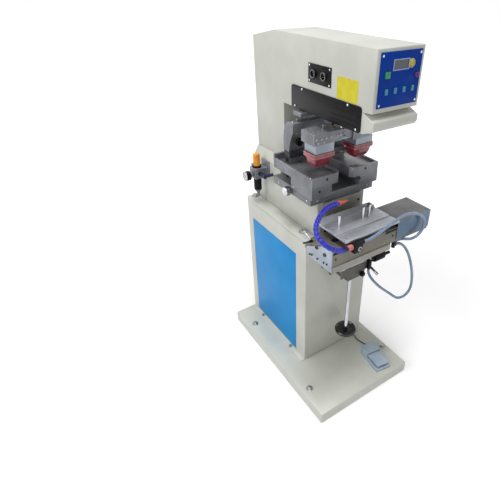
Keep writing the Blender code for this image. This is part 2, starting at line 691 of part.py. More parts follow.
# Colour, roughness and metallic value of each finish
FINISHES = {
    "cream_paint": ((0.80, 0.80, 0.74), 0.35, 0.0),
    "blue_paint": ((0.10, 0.42, 0.72), 0.35, 0.0),
    "panel_blue": ((0.03, 0.12, 0.42), 0.40, 0.0),
    "black_plastic": ((0.02, 0.02, 0.025), 0.40, 0.0),
    "steel": ((0.36, 0.36, 0.38), 0.35, 1.0),
    "dark_steel": ((0.18, 0.18, 0.19), 0.45, 1.0),
    "aluminium": ((0.60, 0.62, 0.66), 0.35, 1.0),
    "chrome": ((0.80, 0.80, 0.82), 0.12, 1.0),
    "red_silicone": ((0.45, 0.08, 0.10), 0.45, 0.0),
    "blue_hose": ((0.03, 0.06, 0.55), 0.40, 0.0),
    "orange_plastic": ((0.85, 0.30, 0.12), 0.40, 0.0),
    "clear_tube": ((0.42, 0.58, 0.82), 0.20, 0.0),
    "yellow_plastic": ((0.85, 0.60, 0.05), 0.40, 0.0),
    "green_plastic": ((0.08, 0.55, 0.25), 0.40, 0.0),
    "red_plastic": ((0.70, 0.05, 0.05), 0.40, 0.0),
    "teal_plastic": ((0.10, 0.55, 0.55), 0.40, 0.0),
    "grey_plastic": ((0.40, 0.48, 0.56), 0.50, 0.0),
}


def clear_scene():
    """Remove every object that is already in the scene."""
    for item in list(bpy.data.objects):
        bpy.data.objects.remove(item, do_unlink=True)


def new_collection(name, hidden=False):
    """Make a collection in the scene, hidden in renders if it holds cutters."""
    collection = bpy.data.collections.new(name)
    collection.hide_render = hidden
    bpy.context.scene.collection.children.link(collection)
    return collection


clear_scene()
PARTS = new_collection("pad_printing_machine")
TOOLS = new_collection("cutters", hidden=True)


def material(finish):
    """The Principled material of one finish, made once."""
    found = bpy.data.materials.get(finish)
    if found:
        return found
    colour, roughness, metallic = FINISHES[finish]
    made = bpy.data.materials.new(finish)
    made.use_nodes = True
    shader = made.node_tree.nodes["Principled BSDF"]
    shader.inputs["Base Color"].default_value = (*colour, 1.0)
    shader.inputs["Roughness"].default_value = roughness
    shader.inputs["Metallic"].default_value = metallic
    return made


def link(name, mesh, finish):
    """Put a mesh in the parts collection as a named object."""
    item = bpy.data.objects.new(name, mesh)
    PARTS.objects.link(item)
    if finish:
        mesh.materials.clear()
        mesh.materials.append(material(finish))
    return item


def as_tool(item):
    """Move an object to the cutters, drawn as wire and left out of renders."""
    for collection in list(item.users_collection):
        collection.objects.unlink(item)
    TOOLS.objects.link(item)
    item.hide_render = True
    item.display_type = "WIRE"
    return item


def smooth(item):
    """Shade a round piece smooth but keep its sharp edges."""
    item.data.shade_smooth()
    item.data.set_sharp_from_angle(angle=math.radians(40))
    return item


def bevel(item, width, segments=1):
    """Round an object's sharp edges."""
    modifier = item.modifiers.new("edges", "BEVEL")
    modifier.width = width
    modifier.segments = segments
    modifier.limit_method = "ANGLE"
    return item


def block(name, x, y, z, finish=None, edge=0.0, segments=1):
    """A box between the two ends given along each axis."""
    size = Vector((x[1] - x[0], y[1] - y[0], z[1] - z[0]))
    middle = Vector((x[0] + x[1], y[0] + y[1], z[0] + z[1])) / 2
    mesh = bpy.data.meshes.new(name)
    cage = bmesh.new()
    bmesh.ops.create_cube(cage, size=1.0, matrix=Matrix.Diagonal((*size, 1.0)))
    cage.to_mesh(mesh)
    cage.free()
    item = link(name, mesh, finish)
    item.location = middle
    if edge:
        bevel(item, edge, segments)
    return item


def rod(name, start, end, radius, finish=None, sides=SMALL_SIDES, tip=None):
    """A cylinder, or a cone if tip is given, between two points."""
    start, end = Vector(start), Vector(end)
    along = end - start
    mesh = bpy.data.meshes.new(name)
    cage = bmesh.new()
    bmesh.ops.create_cone(
        cage, cap_ends=True, segments=sides, radius1=radius,
        radius2=radius if tip is None else tip, depth=along.length)
    cage.to_mesh(mesh)
    cage.free()
    item = link(name, mesh, finish)
    item.rotation_mode = "QUATERNION"
    item.rotation_quaternion = along.to_track_quat("Z", "Y")
    item.location = (start + end) / 2
    return smooth(item)


def turned(name, profile, place, axis, finish=None, steps=ROUND_SIDES):
    """A profile of (radius, height) points, top to bottom, turned about axis."""
    mesh = bpy.data.meshes.new(name)
    points = [(radius, 0.0, height) for radius, height in profile]
    mesh.from_pydata(points, [(i, i + 1) for i in range(len(points) - 1)], [])
    item = link(name, mesh, finish)
    screw = item.modifiers.new("turn", "SCREW")
    screw.steps = steps
    screw.render_steps = steps
    screw.use_merge_vertices = True
    screw.merge_threshold = MERGE
    screw.use_smooth_shade = False
    item.rotation_mode = "QUATERNION"
    item.rotation_quaternion = Vector(axis).to_track_quat("Z", "Y")
    item.location = place
    return item


def baked(item, name=None):
    """Replace an object by a mesh copy of what its modifiers make."""
    graph = bpy.context.evaluated_depsgraph_get()
    graph.update()
    made = item.evaluated_get(graph)
    mesh = bpy.data.meshes.new_from_object(made)
    matrix = item.matrix_world.copy()
    label = name or item.name
    finishes = [slot for slot in item.data.materials if slot]
    bpy.data.objects.remove(item, do_unlink=True)
    cage = bmesh.new()
    cage.from_mesh(mesh)
    bmesh.ops.remove_doubles(cage, verts=cage.verts, dist=MERGE)
    bmesh.ops.recalc_face_normals(cage, faces=cage.faces)
    cage.to_mesh(mesh)
    cage.free()
    copy = bpy.data.objects.new(label, mesh)
    PARTS.objects.link(copy)
    copy.matrix_world = matrix
    if finishes and not mesh.materials:
        mesh.materials.append(finishes[0])
    return copy


def outline(name, points, across, span, finish=None):
    """A flat outline pushed out along X ("X") or Y ("Y") between two ends of span.

    The outline's points are (y, z) pairs for "X" and (x, z) pairs for "Y".
    """
    curve = bpy.data.curves.new(name, "CURVE")
    curve.dimensions = "2D"
    curve.fill_mode = "BOTH"
    curve.extrude = (span[1] - span[0]) / 2
    spline = curve.splines.new("POLY")
    spline.points.add(len(points) - 1)
    for point, (u, v) in zip(spline.points, points):
        point.co = (u, v, 0.0, 1.0)
    spline.use_cyclic_u = True
    if finish:
        curve.materials.append(material(finish))
    item = bpy.data.objects.new(name, curve)
    PARTS.objects.link(item)
    middle = (span[0] + span[1]) / 2
    if across == "X":
        turn = Matrix(((0, 0, 1, middle), (1, 0, 0, 0), (0, 1, 0, 0), (0, 0, 0, 1)))
    else:
        turn = Matrix(((1, 0, 0, 0), (0, 0, -1, middle), (0, 1, 0, 0), (0, 0, 0, 1)))
    item.matrix_world = turn
    bpy.context.view_layer.update()
    return baked(item)


def rounded_outline(low, high, radius, steps=4):
    """The points of a rectangle with round corners."""
    corners = [
        (high[0] - radius, high[1] - radius, 0), (low[0] + radius, high[1] - radius, 1),
        (low[0] + radius, low[1] + radius, 2), (high[0] - radius, low[1] + radius, 3)]
    points = []
    for u, v, quarter in corners:
        for step in range(steps + 1):
            angle = math.pi / 2 * (quarter + step / steps)
            points.append((u + radius * math.cos(angle), v + radius * math.sin(angle)))
    return points


def boolean(item, other, operation):
    """Cut one object with another or join it to another, exactly."""
    modifier = item.modifiers.new(operation.lower(), "BOOLEAN")
    modifier.operation = operation
    modifier.solver = "EXACT"
    modifier.object = as_tool(other)


def cut(item, *tools):
    """Take the tools away from an object."""
    for tool in tools:
        boolean(item, tool, "DIFFERENCE")
    return item


def fuse(item, *others):
    """Join the others to an object as one solid."""
    for other in others:
        boolean(item, other, "UNION")
    return item


def both_sides(x):
    """The two mirrored places of a piece that stands left and right."""
    return (-x, x)


def carry(joint, place, pieces, parent=None):
    """Parent moving pieces to an empty that stands on their joint's axis."""
    pivot = bpy.data.objects.new(joint, None)
    PARTS.objects.link(pivot)
    pivot.location = place
    if parent:
        pivot.parent = parent
        pivot.matrix_parent_inverse = parent.matrix_world.inverted()
    bpy.context.view_layer.update()
    for piece in pieces:
        piece.parent = pivot
        piece.matrix_parent_inverse = pivot.matrix_world.inverted()
    return pivot


def bend_tangents(points):
    """The direction of travel at each route point, square to both ends."""
    tangents = []
    last = len(points) - 1
    for i in range(len(points)):
        before, after = points[max(i - 1, 0)], points[min(i + 1, last)]
        along = after - before
        if i in (0, 1):
            along = (points[1] - points[0]).normalized() * along.length
        if i in (last - 1, last):
            along = (points[last] - points[last - 1]).normalized() * along.length
        inner = 0 < i < last
        tangents.append(along / 2 if inner else along)
    return tangents


def smooth_route(route, step):
    """Even points along a smooth curve through a route, straight at both ends."""
    points = [Vector(point) for point in route]
    tangents = bend_tangents(points)
    path = [points[1]]
    for i in range(1, len(points) - 2):
        a, b = points[i], points[i + 1]
        leave, arrive = tangents[i], tangents[i + 1]
        for k in range(1, CURVE_STEPS + 1):
            t = k / CURVE_STEPS
            ease = t * t * (3 - 2 * t)
            path.append(a.lerp(b, ease) + leave * t * (1 - t) * (1 - t)
                        - arrive * t * t * (1 - t))
    lengths = [0.0]
    for a, b in zip(path, path[1:]):
        lengths.append(lengths[-1] + (b - a).length)
    count = max(2, round(lengths[-1] / step))
    even = [points[0]]
    k = 0
    for i in range(count + 1):
        target = lengths[-1] * i / count
        while k < len(path) - 2 and lengths[k + 1] < target:
            k += 1
        share = (target - lengths[k]) / (lengths[k + 1] - lengths[k])
        even.append(path[k].lerp(path[k + 1], min(share, 1.0)))
    return [*even, points[-1]]


def tube(name, points, radius, finish=None, resolution=2, radii=None):
    """A tube along points, with filled ends; radii scale it point by point."""
    curve = bpy.data.curves.new(name, "CURVE")
    curve.dimensions = "3D"
    curve.bevel_depth = radius
    curve.bevel_resolution = resolution
    curve.use_fill_caps = True
    spline = curve.splines.new("POLY")
    spline.points.add(len(points) - 1)
    for i, point in enumerate(points):
        spline.points[i].co = (*point, 1.0)
        spline.points[i].radius = radii[i] if radii else 1.0
    if finish:
        curve.materials.append(material(finish))
    item = bpy.data.objects.new(name, curve)
    PARTS.objects.link(item)
    bpy.context.view_layer.update()
    return baked(item)


def hex_bolt(piece, place):
    """A hexagon head on a washer, fused to the top of the piece that it holds."""
    x, y, z = place
    washer_top = z + WASHER_THICKNESS
    fuse(piece, rod("washer", (x, y, z - OVERRUN), (x, y, washer_top), WASHER_RADIUS),
         rod("bolt_head", (x, y, z), (x, y, washer_top + BOLT_HEAD_HEIGHT), BOLT_HEAD_RADIUS,
             sides=HEX_SIDES))


def make_base():
    """The base plate with its four anchor bolts."""
    base = block("base_plate", (-BASE_LEFT, BASE_RIGHT), (-BASE_DEPTH / 2, BASE_DEPTH / 2),
                 (0.0, BASE_HEIGHT), "cream_paint", BASE_CORNER / 2, 2)
    for x in (-BASE_LEFT + ANCHOR_LEFT_INSET, BASE_RIGHT - ANCHOR_RIGHT_INSET):
        for y in both_sides(ANCHOR_Y):
            hex_bolt(base, (x, y, BASE_HEIGHT))


def make_cabinet():
    """The sheet cabinet, its lid, its door on hidden pins and the controls inside."""
    left, right = -CABINET_HALF, CABINET_HALF
    shell = block("cabinet_shell", (left, right), (CABINET_FRONT, CABINET_REAR),
                  (CABINET_BOTTOM, LID_BOTTOM - GAP), "cream_paint", CABINET_EDGE)
    cut(shell, block("cabinet_inside", (left + CABINET_WALL, right - CABINET_WALL),
                     (CABINET_FRONT + CABINET_WALL, CABINET_REAR - CABINET_WALL),
                     (CABINET_BOTTOM - OVERRUN, LID_BOTTOM + OVERRUN)),
        block("doorway", (left - OVERRUN, left + CABINET_WALL + OVERRUN),
              (DOOR_FRONT, DOOR_REAR), (DOOR_LOW, DOOR_HIGH)))
    flange_top = CABINET_BOTTOM + FLANGE_THICKNESS
    for side in (-1, 1):
        outer = side * (CABINET_HALF + FLANGE_WIDTH)
        inner = side * (CABINET_HALF - CABINET_WALL / 2)
        fuse(shell, block("foot_flange", (min(outer, inner), max(outer, inner)),
                          (CABINET_FRONT, CABINET_REAR), (CABINET_BOTTOM, flange_top)))
        for y in (CABINET_FRONT + FLANGE_BOLT_INSET, CABINET_REAR - FLANGE_BOLT_INSET):
            place = side * (CABINET_HALF + FLANGE_WIDTH / 2)
            fuse(shell, rod("flange_bolt", (place, y, flange_top - OVERRUN),
                            (place, y, flange_top + BOLT_HEAD_HEIGHT), FLANGE_BOLT_RADIUS,
                            sides=HEX_SIDES))
    anchor_x = BASE_RIGHT - ANCHOR_RIGHT_INSET
    cut(shell, rod("anchor_relief", (anchor_x, ANCHOR_Y, CABINET_BOTTOM - OVERRUN),
                   (anchor_x, ANCHOR_Y, flange_top + OVERRUN), WASHER_RADIUS + ANCHOR_RELIEF))
    hinge_x = left + DOOR_THICKNESS / 2
    hinge_y = DOOR_REAR - DOOR_GAP - HINGE_PIN_INSET
    for pin_start, pin_end in ((DOOR_LOW - OVERRUN, DOOR_LOW + HINGE_PIN_LENGTH),
                               (DOOR_HIGH + OVERRUN, DOOR_HIGH - HINGE_PIN_LENGTH)):
        fuse(shell, rod("hinge_pin", (hinge_x, hinge_y, pin_start), (hinge_x, hinge_y, pin_end),
                        HINGE_PIN_RADIUS, sides=SMALL_SIDES))
    gland = rod("pedal_gland", (GLAND_X, CABINET_FRONT + CABINET_WALL / 2, GLAND_Z),
                (GLAND_X, CABINET_FRONT - CABLE_GLAND_LENGTH, GLAND_Z), CABLE_GLAND_RADIUS)
    fuse(shell, gland)
    lid = block("cabinet_lid", (left, right), (CABINET_FRONT, CABINET_REAR),
                (LID_BOTTOM, CABINET_TOP), "cream_paint", CABINET_EDGE / 2)
    for x in both_sides(CABINET_HALF - LID_BOLT_INSET):
        for y in (CABINET_FRONT + LID_BOLT_FRONT, CABINET_REAR - LID_BOLT_REAR):
            hex_bolt(lid, (x, y, CABINET_TOP))
    door = block("cabinet_door", (left, left + DOOR_THICKNESS),
                 (DOOR_FRONT + DOOR_GAP, DOOR_REAR - DOOR_GAP),
                 (DOOR_LOW + DOOR_GAP, DOOR_HIGH - DOOR_GAP), "blue_paint", DOOR_EDGE)
    hole = HINGE_PIN_RADIUS + RUNNING_GAP
    for start, end in ((DOOR_LOW, DOOR_LOW + HINGE_PIN_LENGTH + OVERRUN),
                       (DOOR_HIGH, DOOR_HIGH - HINGE_PIN_LENGTH - OVERRUN)):
        cut(door, rod("pin_hole", (hinge_x, hinge_y, start), (hinge_x, hinge_y, end),
                      hole, sides=SMALL_SIDES))
    carry("door_swing", (hinge_x, hinge_y, DOOR_LOW), [door])
    wall = CABINET_REAR - CABINET_WALL - GAP
    controls_top = CONTROLS_LOW + CONTROLS_HEIGHT
    controls = block("cabinet_controls", both_sides(CONTROLS_WIDTH / 2),
                     (wall - CABINET_WALL, wall), (MANIFOLD_LOW, controls_top), "dark_steel")
    fuse(controls, block("control_box", both_sides(CONTROLS_WIDTH / 2 - CABINET_EDGE),
                         (wall - CONTROLS_DEPTH, wall - CABINET_WALL / 2),
                         (CONTROLS_LOW, controls_top - CABINET_EDGE)),
         block("manifold", both_sides(VALVE_PITCH * VALVE_COUNT / 2 + VALVE_WIDTH / 2),
               (wall - VALVE_DEPTH, wall - CABINET_WALL / 2),
               (MANIFOLD_LOW + CABINET_EDGE, MANIFOLD_LOW + MANIFOLD_HEIGHT)))
    for i in range(VALVE_COUNT):
        middle = (i - (VALVE_COUNT - 1) / 2) * VALVE_PITCH
        fuse(controls, block("valve", (middle - VALVE_WIDTH / 2, middle + VALVE_WIDTH / 2),
                             (wall - VALVE_DEPTH + VALVE_WIDTH / 2, wall - CABINET_WALL / 2),
                             (MANIFOLD_LOW + MANIFOLD_HEIGHT / 2, MANIFOLD_LOW + VALVE_HEIGHT)))


def casting_outline(inset, low):
    """The casting's side outline, drawn in by inset, with its foot at low."""
    front, rear = CABINET_FRONT + inset, CABINET_REAR - inset
    neck = NECK_FRONT + inset
    return [(front, low), (rear, low), (rear, CASTING_TOP - inset), (neck, CASTING_TOP - inset),
            (neck, CASTING_ARM_TOP - inset), (front, CASTING_ARM_TOP - inset)]


def make_casting():
    """The cream body casting that joins the cabinet to the head."""
    casting = outline("body_casting", casting_outline(0.0, CASTING_BOTTOM), "X",
                      both_sides(CASTING_HALF), "cream_paint")
    bevel(casting, CASTING_EDGE)
    hollow = HEAD_HALF - HEAD_WALL
    cut(casting, outline("casting_hollow",
                         casting_outline(CASTING_WALL, CASTING_BOTTOM - OVERRUN), "X",
                         both_sides(hollow)))
    for side in (-1, 1):
        wide = side * (CASTING_HALF + OVERRUN)
        wedge = [(side * HEAD_HALF, CASTING_TOP), (side * CASTING_HALF, CASTING_SHOULDER),
                 (wide, CASTING_SHOULDER), (wide, CASTING_TOP + OVERRUN),
                 (side * HEAD_HALF, CASTING_TOP + OVERRUN)]
        cut(casting, outline("shoulder_wedge", wedge, "Y",
                             (NECK_FRONT - OVERRUN, CABINET_REAR + OVERRUN)))


def make_head():
    """The C-shaped head shell with its chin, side plate, socket plate and panel."""
    groove = HEAD_FRONT + GROOVE_DEPTH
    chin_front = HEAD_FRONT - CHIN_PROUD
    chin_back = HEAD_FRONT + CHIN_BACK
    slope_low = HEAD_TOP - HEAD_REAR_SLOPE_DROP
    side = [(CABINET_REAR, HEAD_BOTTOM), (CABINET_REAR, slope_low),
            (HEAD_REAR_SLOPE_START, HEAD_TOP), (HEAD_FRONT, HEAD_TOP),
            (HEAD_FRONT, HEAD_BOX_BOTTOM), (groove, HEAD_BOX_BOTTOM - GROOVE_RISE),
            (chin_front, CHIN_TOP), (chin_front, CHIN_MIDDLE),
            (chin_front + CHIN_UNDERCUT, CHIN_LOW), (chin_back, THROAT_TOP),
            (NECK_FRONT, THROAT_TOP), (NECK_FRONT, HEAD_BOTTOM)]
    shell = outline("head_shell", side, "X", both_sides(HEAD_HALF), "cream_paint")
    bevel(shell, HEAD_EDGE / 2, 2)
    wall = HEAD_WALL
    hollow = [(CABINET_REAR - wall, HEAD_BOTTOM - OVERRUN), (CABINET_REAR - wall, slope_low - wall),
              (HEAD_REAR_SLOPE_START, HEAD_TOP - wall), (HEAD_FRONT + wall, HEAD_TOP - wall),
              (HEAD_FRONT + wall, HEAD_BOX_BOTTOM + wall), (groove + wall, HEAD_BOX_BOTTOM + wall),
              (groove + wall, THROAT_TOP + wall), (NECK_FRONT + wall, THROAT_TOP + wall),
              (NECK_FRONT + wall, HEAD_BOTTOM - OVERRUN)]
    window_x = both_sides(PANEL_WINDOW_HALF_WIDTH)
    cut(shell, outline("head_hollow", hollow, "X", both_sides(HEAD_HALF - wall)),
        block("arm_slot", both_sides(SLOT_HALF_WIDTH), (SLOT_FRONT, SLOT_REAR),
              (THROAT_TOP - OVERRUN, THROAT_TOP + wall + OVERRUN)),
        block("side_window", (-HEAD_HALF - OVERRUN, -HEAD_HALF + wall + OVERRUN),
              (SIDE_WINDOW_FRONT, SIDE_WINDOW_REAR), (SIDE_WINDOW_LOW, SIDE_WINDOW_HIGH)),
        block("panel_window", window_x, (HEAD_FRONT - OVERRUN, HEAD_FRONT + wall + OVERRUN),
              (PANEL_WINDOW_LOW, PANEL_WINDOW_HIGH)))
    outline("side_plate", rounded_outline((SIDE_PLATE_FRONT, THROAT_TOP),
                                          (SIDE_PLATE_REAR, SIDE_PLATE_HIGH), SIDE_PLATE_CORNER),
            "X", (SIDE_FACE, SIDE_INNER), "black_plastic")
    plate = block("socket_plate", (SIDE_FACE, SIDE_INNER),
                  (SOCKET_PLATE_FRONT, SOCKET_PLATE_REAR),
                  (SOCKET_PLATE_LOW, SOCKET_PLATE_HIGH), "black_plastic")
    middle_y = (SOCKET_PLATE_FRONT + SOCKET_PLATE_REAR) / 2
    middle_z = (SOCKET_PLATE_LOW + SOCKET_PLATE_HIGH) / 2
    for offset in both_sides(SOCKET_SPREAD):
        start = (SIDE_INNER - PLATE_THICKNESS / 2, middle_y + offset, middle_z)
        end = (SIDE_FACE - SOCKET_DEPTH, middle_y + offset, middle_z)
        mouth = (SIDE_FACE - SOCKET_DEPTH - OVERRUN, middle_y + offset, middle_z)
        fuse(plate, rod("socket", start, end, SOCKET_RADIUS, sides=ROUND_SIDES))
        cut(plate, rod("socket_mouth", start, mouth, SOCKET_BORE))


def button(name, x, z, half_width, half_height, finish, is_round):
    """A push button whose flange sits behind the panel."""
    front = PANEL_FACE - BUTTON_PROUD
    back = PANEL_BACK + GAP
    flange = back + BUTTON_FLANGE_THICKNESS
    if is_round:
        cap = rod(name, (x, flange, z), (x, front, z), half_width, finish, ROUND_SIDES)
        bevel(cap, BUTTON_FLANGE_THICKNESS / 2)
        rim = rod(name + "_rim", (x, flange, z), (x, back, z), half_width + BUTTON_FLANGE,
                  sides=ROUND_SIDES)
    else:
        cap = block(name, (x - half_width, x + half_width), (front, flange),
                    (z - half_height, z + half_height), finish, BUTTON_FLANGE_THICKNESS / 2)
        rim = block(name + "_rim", (x - half_width - BUTTON_FLANGE, x + half_width + BUTTON_FLANGE),
                    (back, flange), (z - half_height - BUTTON_FLANGE,
                                     z + half_height + BUTTON_FLANGE))
    fuse(cap, rim)
    carry(name + "_push", (x, front, z), [cap])


def make_panel():
    """The blue panel with its display recess, three buttons and four keys."""
    panel = block("control_panel", both_sides(PANEL_HALF_WIDTH), (PANEL_FACE, PANEL_BACK),
                  (PANEL_LOW, PANEL_HIGH), "panel_blue")
    cut(panel, block("display_recess", (DISPLAY_LEFT, DISPLAY_RIGHT),
                     (PANEL_FACE - OVERRUN, PANEL_FACE + DISPLAY_RECESS),
                     (DISPLAY_LOW, DISPLAY_HIGH)))
    depth = (PANEL_FACE - OVERRUN, PANEL_BACK + OVERRUN)
    rounds = (("button_yellow", YELLOW_X, YELLOW_Z, YELLOW_RADIUS, "yellow_plastic"),
              ("button_red", RED_X, RED_Z, RED_RADIUS, "red_plastic"))
    for name, x, z, radius, finish in rounds:
        hole = radius + BUTTON_CLEARANCE
        cut(panel, rod(name + "_hole", (x, depth[0], z), (x, depth[1], z), hole,
                       sides=ROUND_SIDES))
        button(name, x, z, radius, radius, finish, True)
    squares = [("button_green", GREEN_X, GREEN_Z, GREEN_SIZE, GREEN_SIZE, "green_plastic")]
    for i in range(KEY_COUNT):
        squares.append(("key_%d" % (i + 1), KEY_FIRST_X + i * KEY_PITCH, KEY_Z, KEY_WIDTH,
                        KEY_HEIGHT, "teal_plastic"))
    for name, x, z, width, height, finish in squares:
        half_w = width / 2
        half_h = height / 2
        cut(panel, block(name + "_hole",
                         (x - half_w - BUTTON_CLEARANCE, x + half_w + BUTTON_CLEARANCE), depth,
                         (z - half_h - BUTTON_CLEARANCE, z + half_h + BUTTON_CLEARANCE)))
        button(name, x, z, half_w, half_h, finish, False)


def make_stroke_guide():
    """The two guide rods, their end blocks and the stroke cylinder inside the head."""
    floor_front = HEAD_BOX_BOTTOM + HEAD_WALL + GAP
    floor_rear = THROAT_TOP + HEAD_WALL + GAP
    rear_face = REAR_BLOCK_Y + GUIDE_BLOCK_THICKNESS
    guide = block("stroke_guide", both_sides(GUIDE_BLOCK_HALF_WIDTH), (REAR_BLOCK_Y, rear_face),
                  (floor_rear, GUIDE_BLOCK_TOP), "steel")
    front_block = block("front_block", both_sides(GUIDE_BLOCK_HALF_WIDTH),
                        (FRONT_BLOCK_Y, FRONT_BLOCK_Y + GUIDE_BLOCK_THICKNESS),
                        (floor_front, GUIDE_BLOCK_TOP))
    inside_front = FRONT_BLOCK_Y + GUIDE_BLOCK_THICKNESS / 2
    inside_rear = REAR_BLOCK_Y + GUIDE_BLOCK_THICKNESS / 2
    fuse(guide, front_block)
    for x in both_sides(GUIDE_SPREAD):
        fuse(guide, rod("guide_rod", (x, inside_front, GUIDE_Z), (x, inside_rear, GUIDE_Z),
                        GUIDE_RADIUS))
    end = rear_face + STROKE_CYLINDER_LENGTH
    fuse(guide, rod("stroke_cylinder", (0.0, inside_rear, GUIDE_Z), (0.0, end, GUIDE_Z),
                    STROKE_CYLINDER_RADIUS, sides=ROUND_SIDES))
    cut(guide, rod("stroke_bore", (0.0, rear_face + GLAND_LENGTH, GUIDE_Z),
                   (0.0, end - GLAND_LENGTH, GUIDE_Z), STROKE_CYLINDER_BORE, sides=ROUND_SIDES),
        rod("stroke_gland", (0.0, REAR_BLOCK_Y - OVERRUN, GUIDE_Z),
            (0.0, rear_face + GLAND_LENGTH + OVERRUN, GUIDE_Z),
            STROKE_ROD_RADIUS + RUNNING_GAP))


def make_carriage():
    """The stroke carriage with its hanger, lift cylinder, drive rod and blade carrier."""
    carriage = block("carriage", both_sides(GUIDE_BLOCK_HALF_WIDTH),
                     (CARRIAGE_FRONT, CARRIAGE_REAR), (CARRIAGE_LOW, CARRIAGE_HIGH), "aluminium")
    fuse(carriage, block("hanger", both_sides(HANGER_HALF_WIDTH),
                         (CARRIAGE_FRONT + HANGER_INSET, CARRIAGE_REAR - HANGER_INSET),
                         (HANGER_LOW, CARRIAGE_LOW + OVERRUN)))
    fuse(carriage, rod("lift_cylinder", (0.0, LIFT_Y, CARRIAGE_HIGH - OVERRUN),
                       (0.0, LIFT_Y, LIFT_CYLINDER_TOP), LIFT_CYLINDER_RADIUS, sides=ROUND_SIDES))
    piston_rear = STROKE_ROD_END
    rod_start = CARRIAGE_REAR - HANGER_INSET
    fuse(carriage, rod("stroke_rod", (0.0, rod_start, GUIDE_Z),
                       (0.0, piston_rear - PISTON_THICKNESS / 2, GUIDE_Z), STROKE_ROD_RADIUS))
    fuse(carriage, rod("stroke_piston", (0.0, piston_rear - PISTON_THICKNESS, GUIDE_Z),
                       (0.0, piston_rear, GUIDE_Z), STROKE_CYLINDER_BORE - RUNNING_GAP,
                       sides=ROUND_SIDES))
    carrier_high = CARRIER_LOW + CARRIER_THICKNESS
    fuse(carriage, block("carrier_arm", both_sides(HANGER_HALF_WIDTH),
                         (CARRIAGE_REAR - HANGER_INSET - OVERRUN, CARRIER_FRONT + OVERRUN),
                         (CARRIER_LOW, carrier_high)))
    fuse(carriage, block("blade_carrier", both_sides(CARRIER_HALF_WIDTH),
                         (CARRIER_FRONT, CARRIER_REAR), (CARRIER_LOW, carrier_high)))
    middle = (BEAM_FRONT + BEAM_REAR) / 2
    pin_low = BEAM_LOW + BLADE_PIN_RADIUS
    for x in both_sides(BLADE_PIN_SPREAD):
        fuse(carriage, rod("blade_pin", (x, middle, pin_low), (x, middle, CARRIER_LOW + OVERRUN),
                           BLADE_PIN_RADIUS))
    cylinder_low = CARRIER_LOW - BLADE_CYLINDER_HEIGHT
    fuse(carriage, rod("blade_cylinder", (0.0, middle, cylinder_low),
                       (0.0, middle, CARRIER_LOW + OVERRUN), BLADE_CYLINDER_RADIUS,
                       sides=ROUND_SIDES))
    for x in both_sides(GUIDE_SPREAD):
        cut(carriage, rod("rod_hole", (x, CARRIAGE_FRONT - OVERRUN, GUIDE_Z),
                          (x, CARRIAGE_REAR + OVERRUN, GUIDE_Z), GUIDE_RADIUS + RUNNING_GAP))
    cut(carriage, rod("lift_bore", (0.0, LIFT_Y, HANGER_LOW + GLAND_LENGTH),
                      (0.0, LIFT_Y, LIFT_CYLINDER_TOP - GLAND_LENGTH / 2), LIFT_CYLINDER_BORE,
                      sides=ROUND_SIDES),
        rod("lift_gland", (0.0, LIFT_Y, HANGER_LOW - OVERRUN),
            (0.0, LIFT_Y, HANGER_LOW + GLAND_LENGTH + OVERRUN), LIFT_ROD_RADIUS + RUNNING_GAP),
        rod("blade_rod_bore", (0.0, middle, cylinder_low - OVERRUN),
            (0.0, middle, carrier_high - OVERRUN), BLADE_PIN_RADIUS + RUNNING_GAP))
    return carry("carriage_stroke", (0.0, LIFT_Y, GUIDE_Z), [carriage])


def make_pad_arms(stroke):
    """The lift rod with its link block, the two arms, the holders and the pads."""
    arms = block("pad_arms", (-ARM_LEFT_INNER - OVERRUN, ARM_RIGHT_INNER + OVERRUN),
                 (LINK_FRONT, LINK_REAR), (LINK_LOW, LINK_HIGH), "aluminium")
    fuse(arms, rod("lift_rod", (0.0, LIFT_Y, LINK_HIGH - OVERRUN),
                         (0.0, LIFT_Y, LIFT_PISTON_Z + OVERRUN), LIFT_ROD_RADIUS))
    fuse(arms, rod("lift_piston", (0.0, LIFT_Y, LIFT_PISTON_Z),
                         (0.0, LIFT_Y, LIFT_PISTON_Z + PISTON_THICKNESS),
                         LIFT_CYLINDER_BORE - RUNNING_GAP, sides=ROUND_SIDES))
    eye_z = (LINK_LOW + LINK_HIGH) / 2
    fuse(arms, rod("eye", (EYE_X, LINK_FRONT + OVERRUN, eye_z),
                         (EYE_X, LINK_FRONT - EYE_LENGTH, eye_z), EYE_RADIUS))
    cut(arms, rod("eye_bore", (EYE_X, LINK_FRONT, eye_z),
                        (EYE_X, LINK_FRONT - EYE_LENGTH - OVERRUN, eye_z), EYE_BORE))
    fuse(arms, block("arm_left", (-ARM_LEFT_OUTER, -ARM_LEFT_INNER), (ARM_FRONT, ARM_REAR),
                     (ARM_LOW, ARM_HIGH), edge=ARM_EDGE),
         block("arm_right", (ARM_RIGHT_INNER, ARM_RIGHT_OUTER), (ARM_RIGHT_FRONT, ARM_RIGHT_REAR),
               (ARM_RIGHT_LOW, ARM_RIGHT_HIGH), edge=ARM_EDGE))
    depth = (LIFT_Y - HOLDER_HALF_DEPTH, LIFT_Y + HOLDER_HALF_DEPTH)
    for x, top in ((-PAD_X, ARM_LOW), (PAD_X, ARM_RIGHT_LOW)):
        fuse(arms, block("holder", (x - HOLDER_HALF_WIDTH, x + HOLDER_HALF_WIDTH), depth,
                         (PAD_TOP + GAP, top + 2 * ARM_EDGE), edge=ARM_EDGE / 2))
    pads = [make_pad("pad_left", -PAD_X), make_pad("pad_right", PAD_X)]
    carry("pad_lift", (0.0, LIFT_Y, LINK_HIGH), [arms, *pads], stroke)


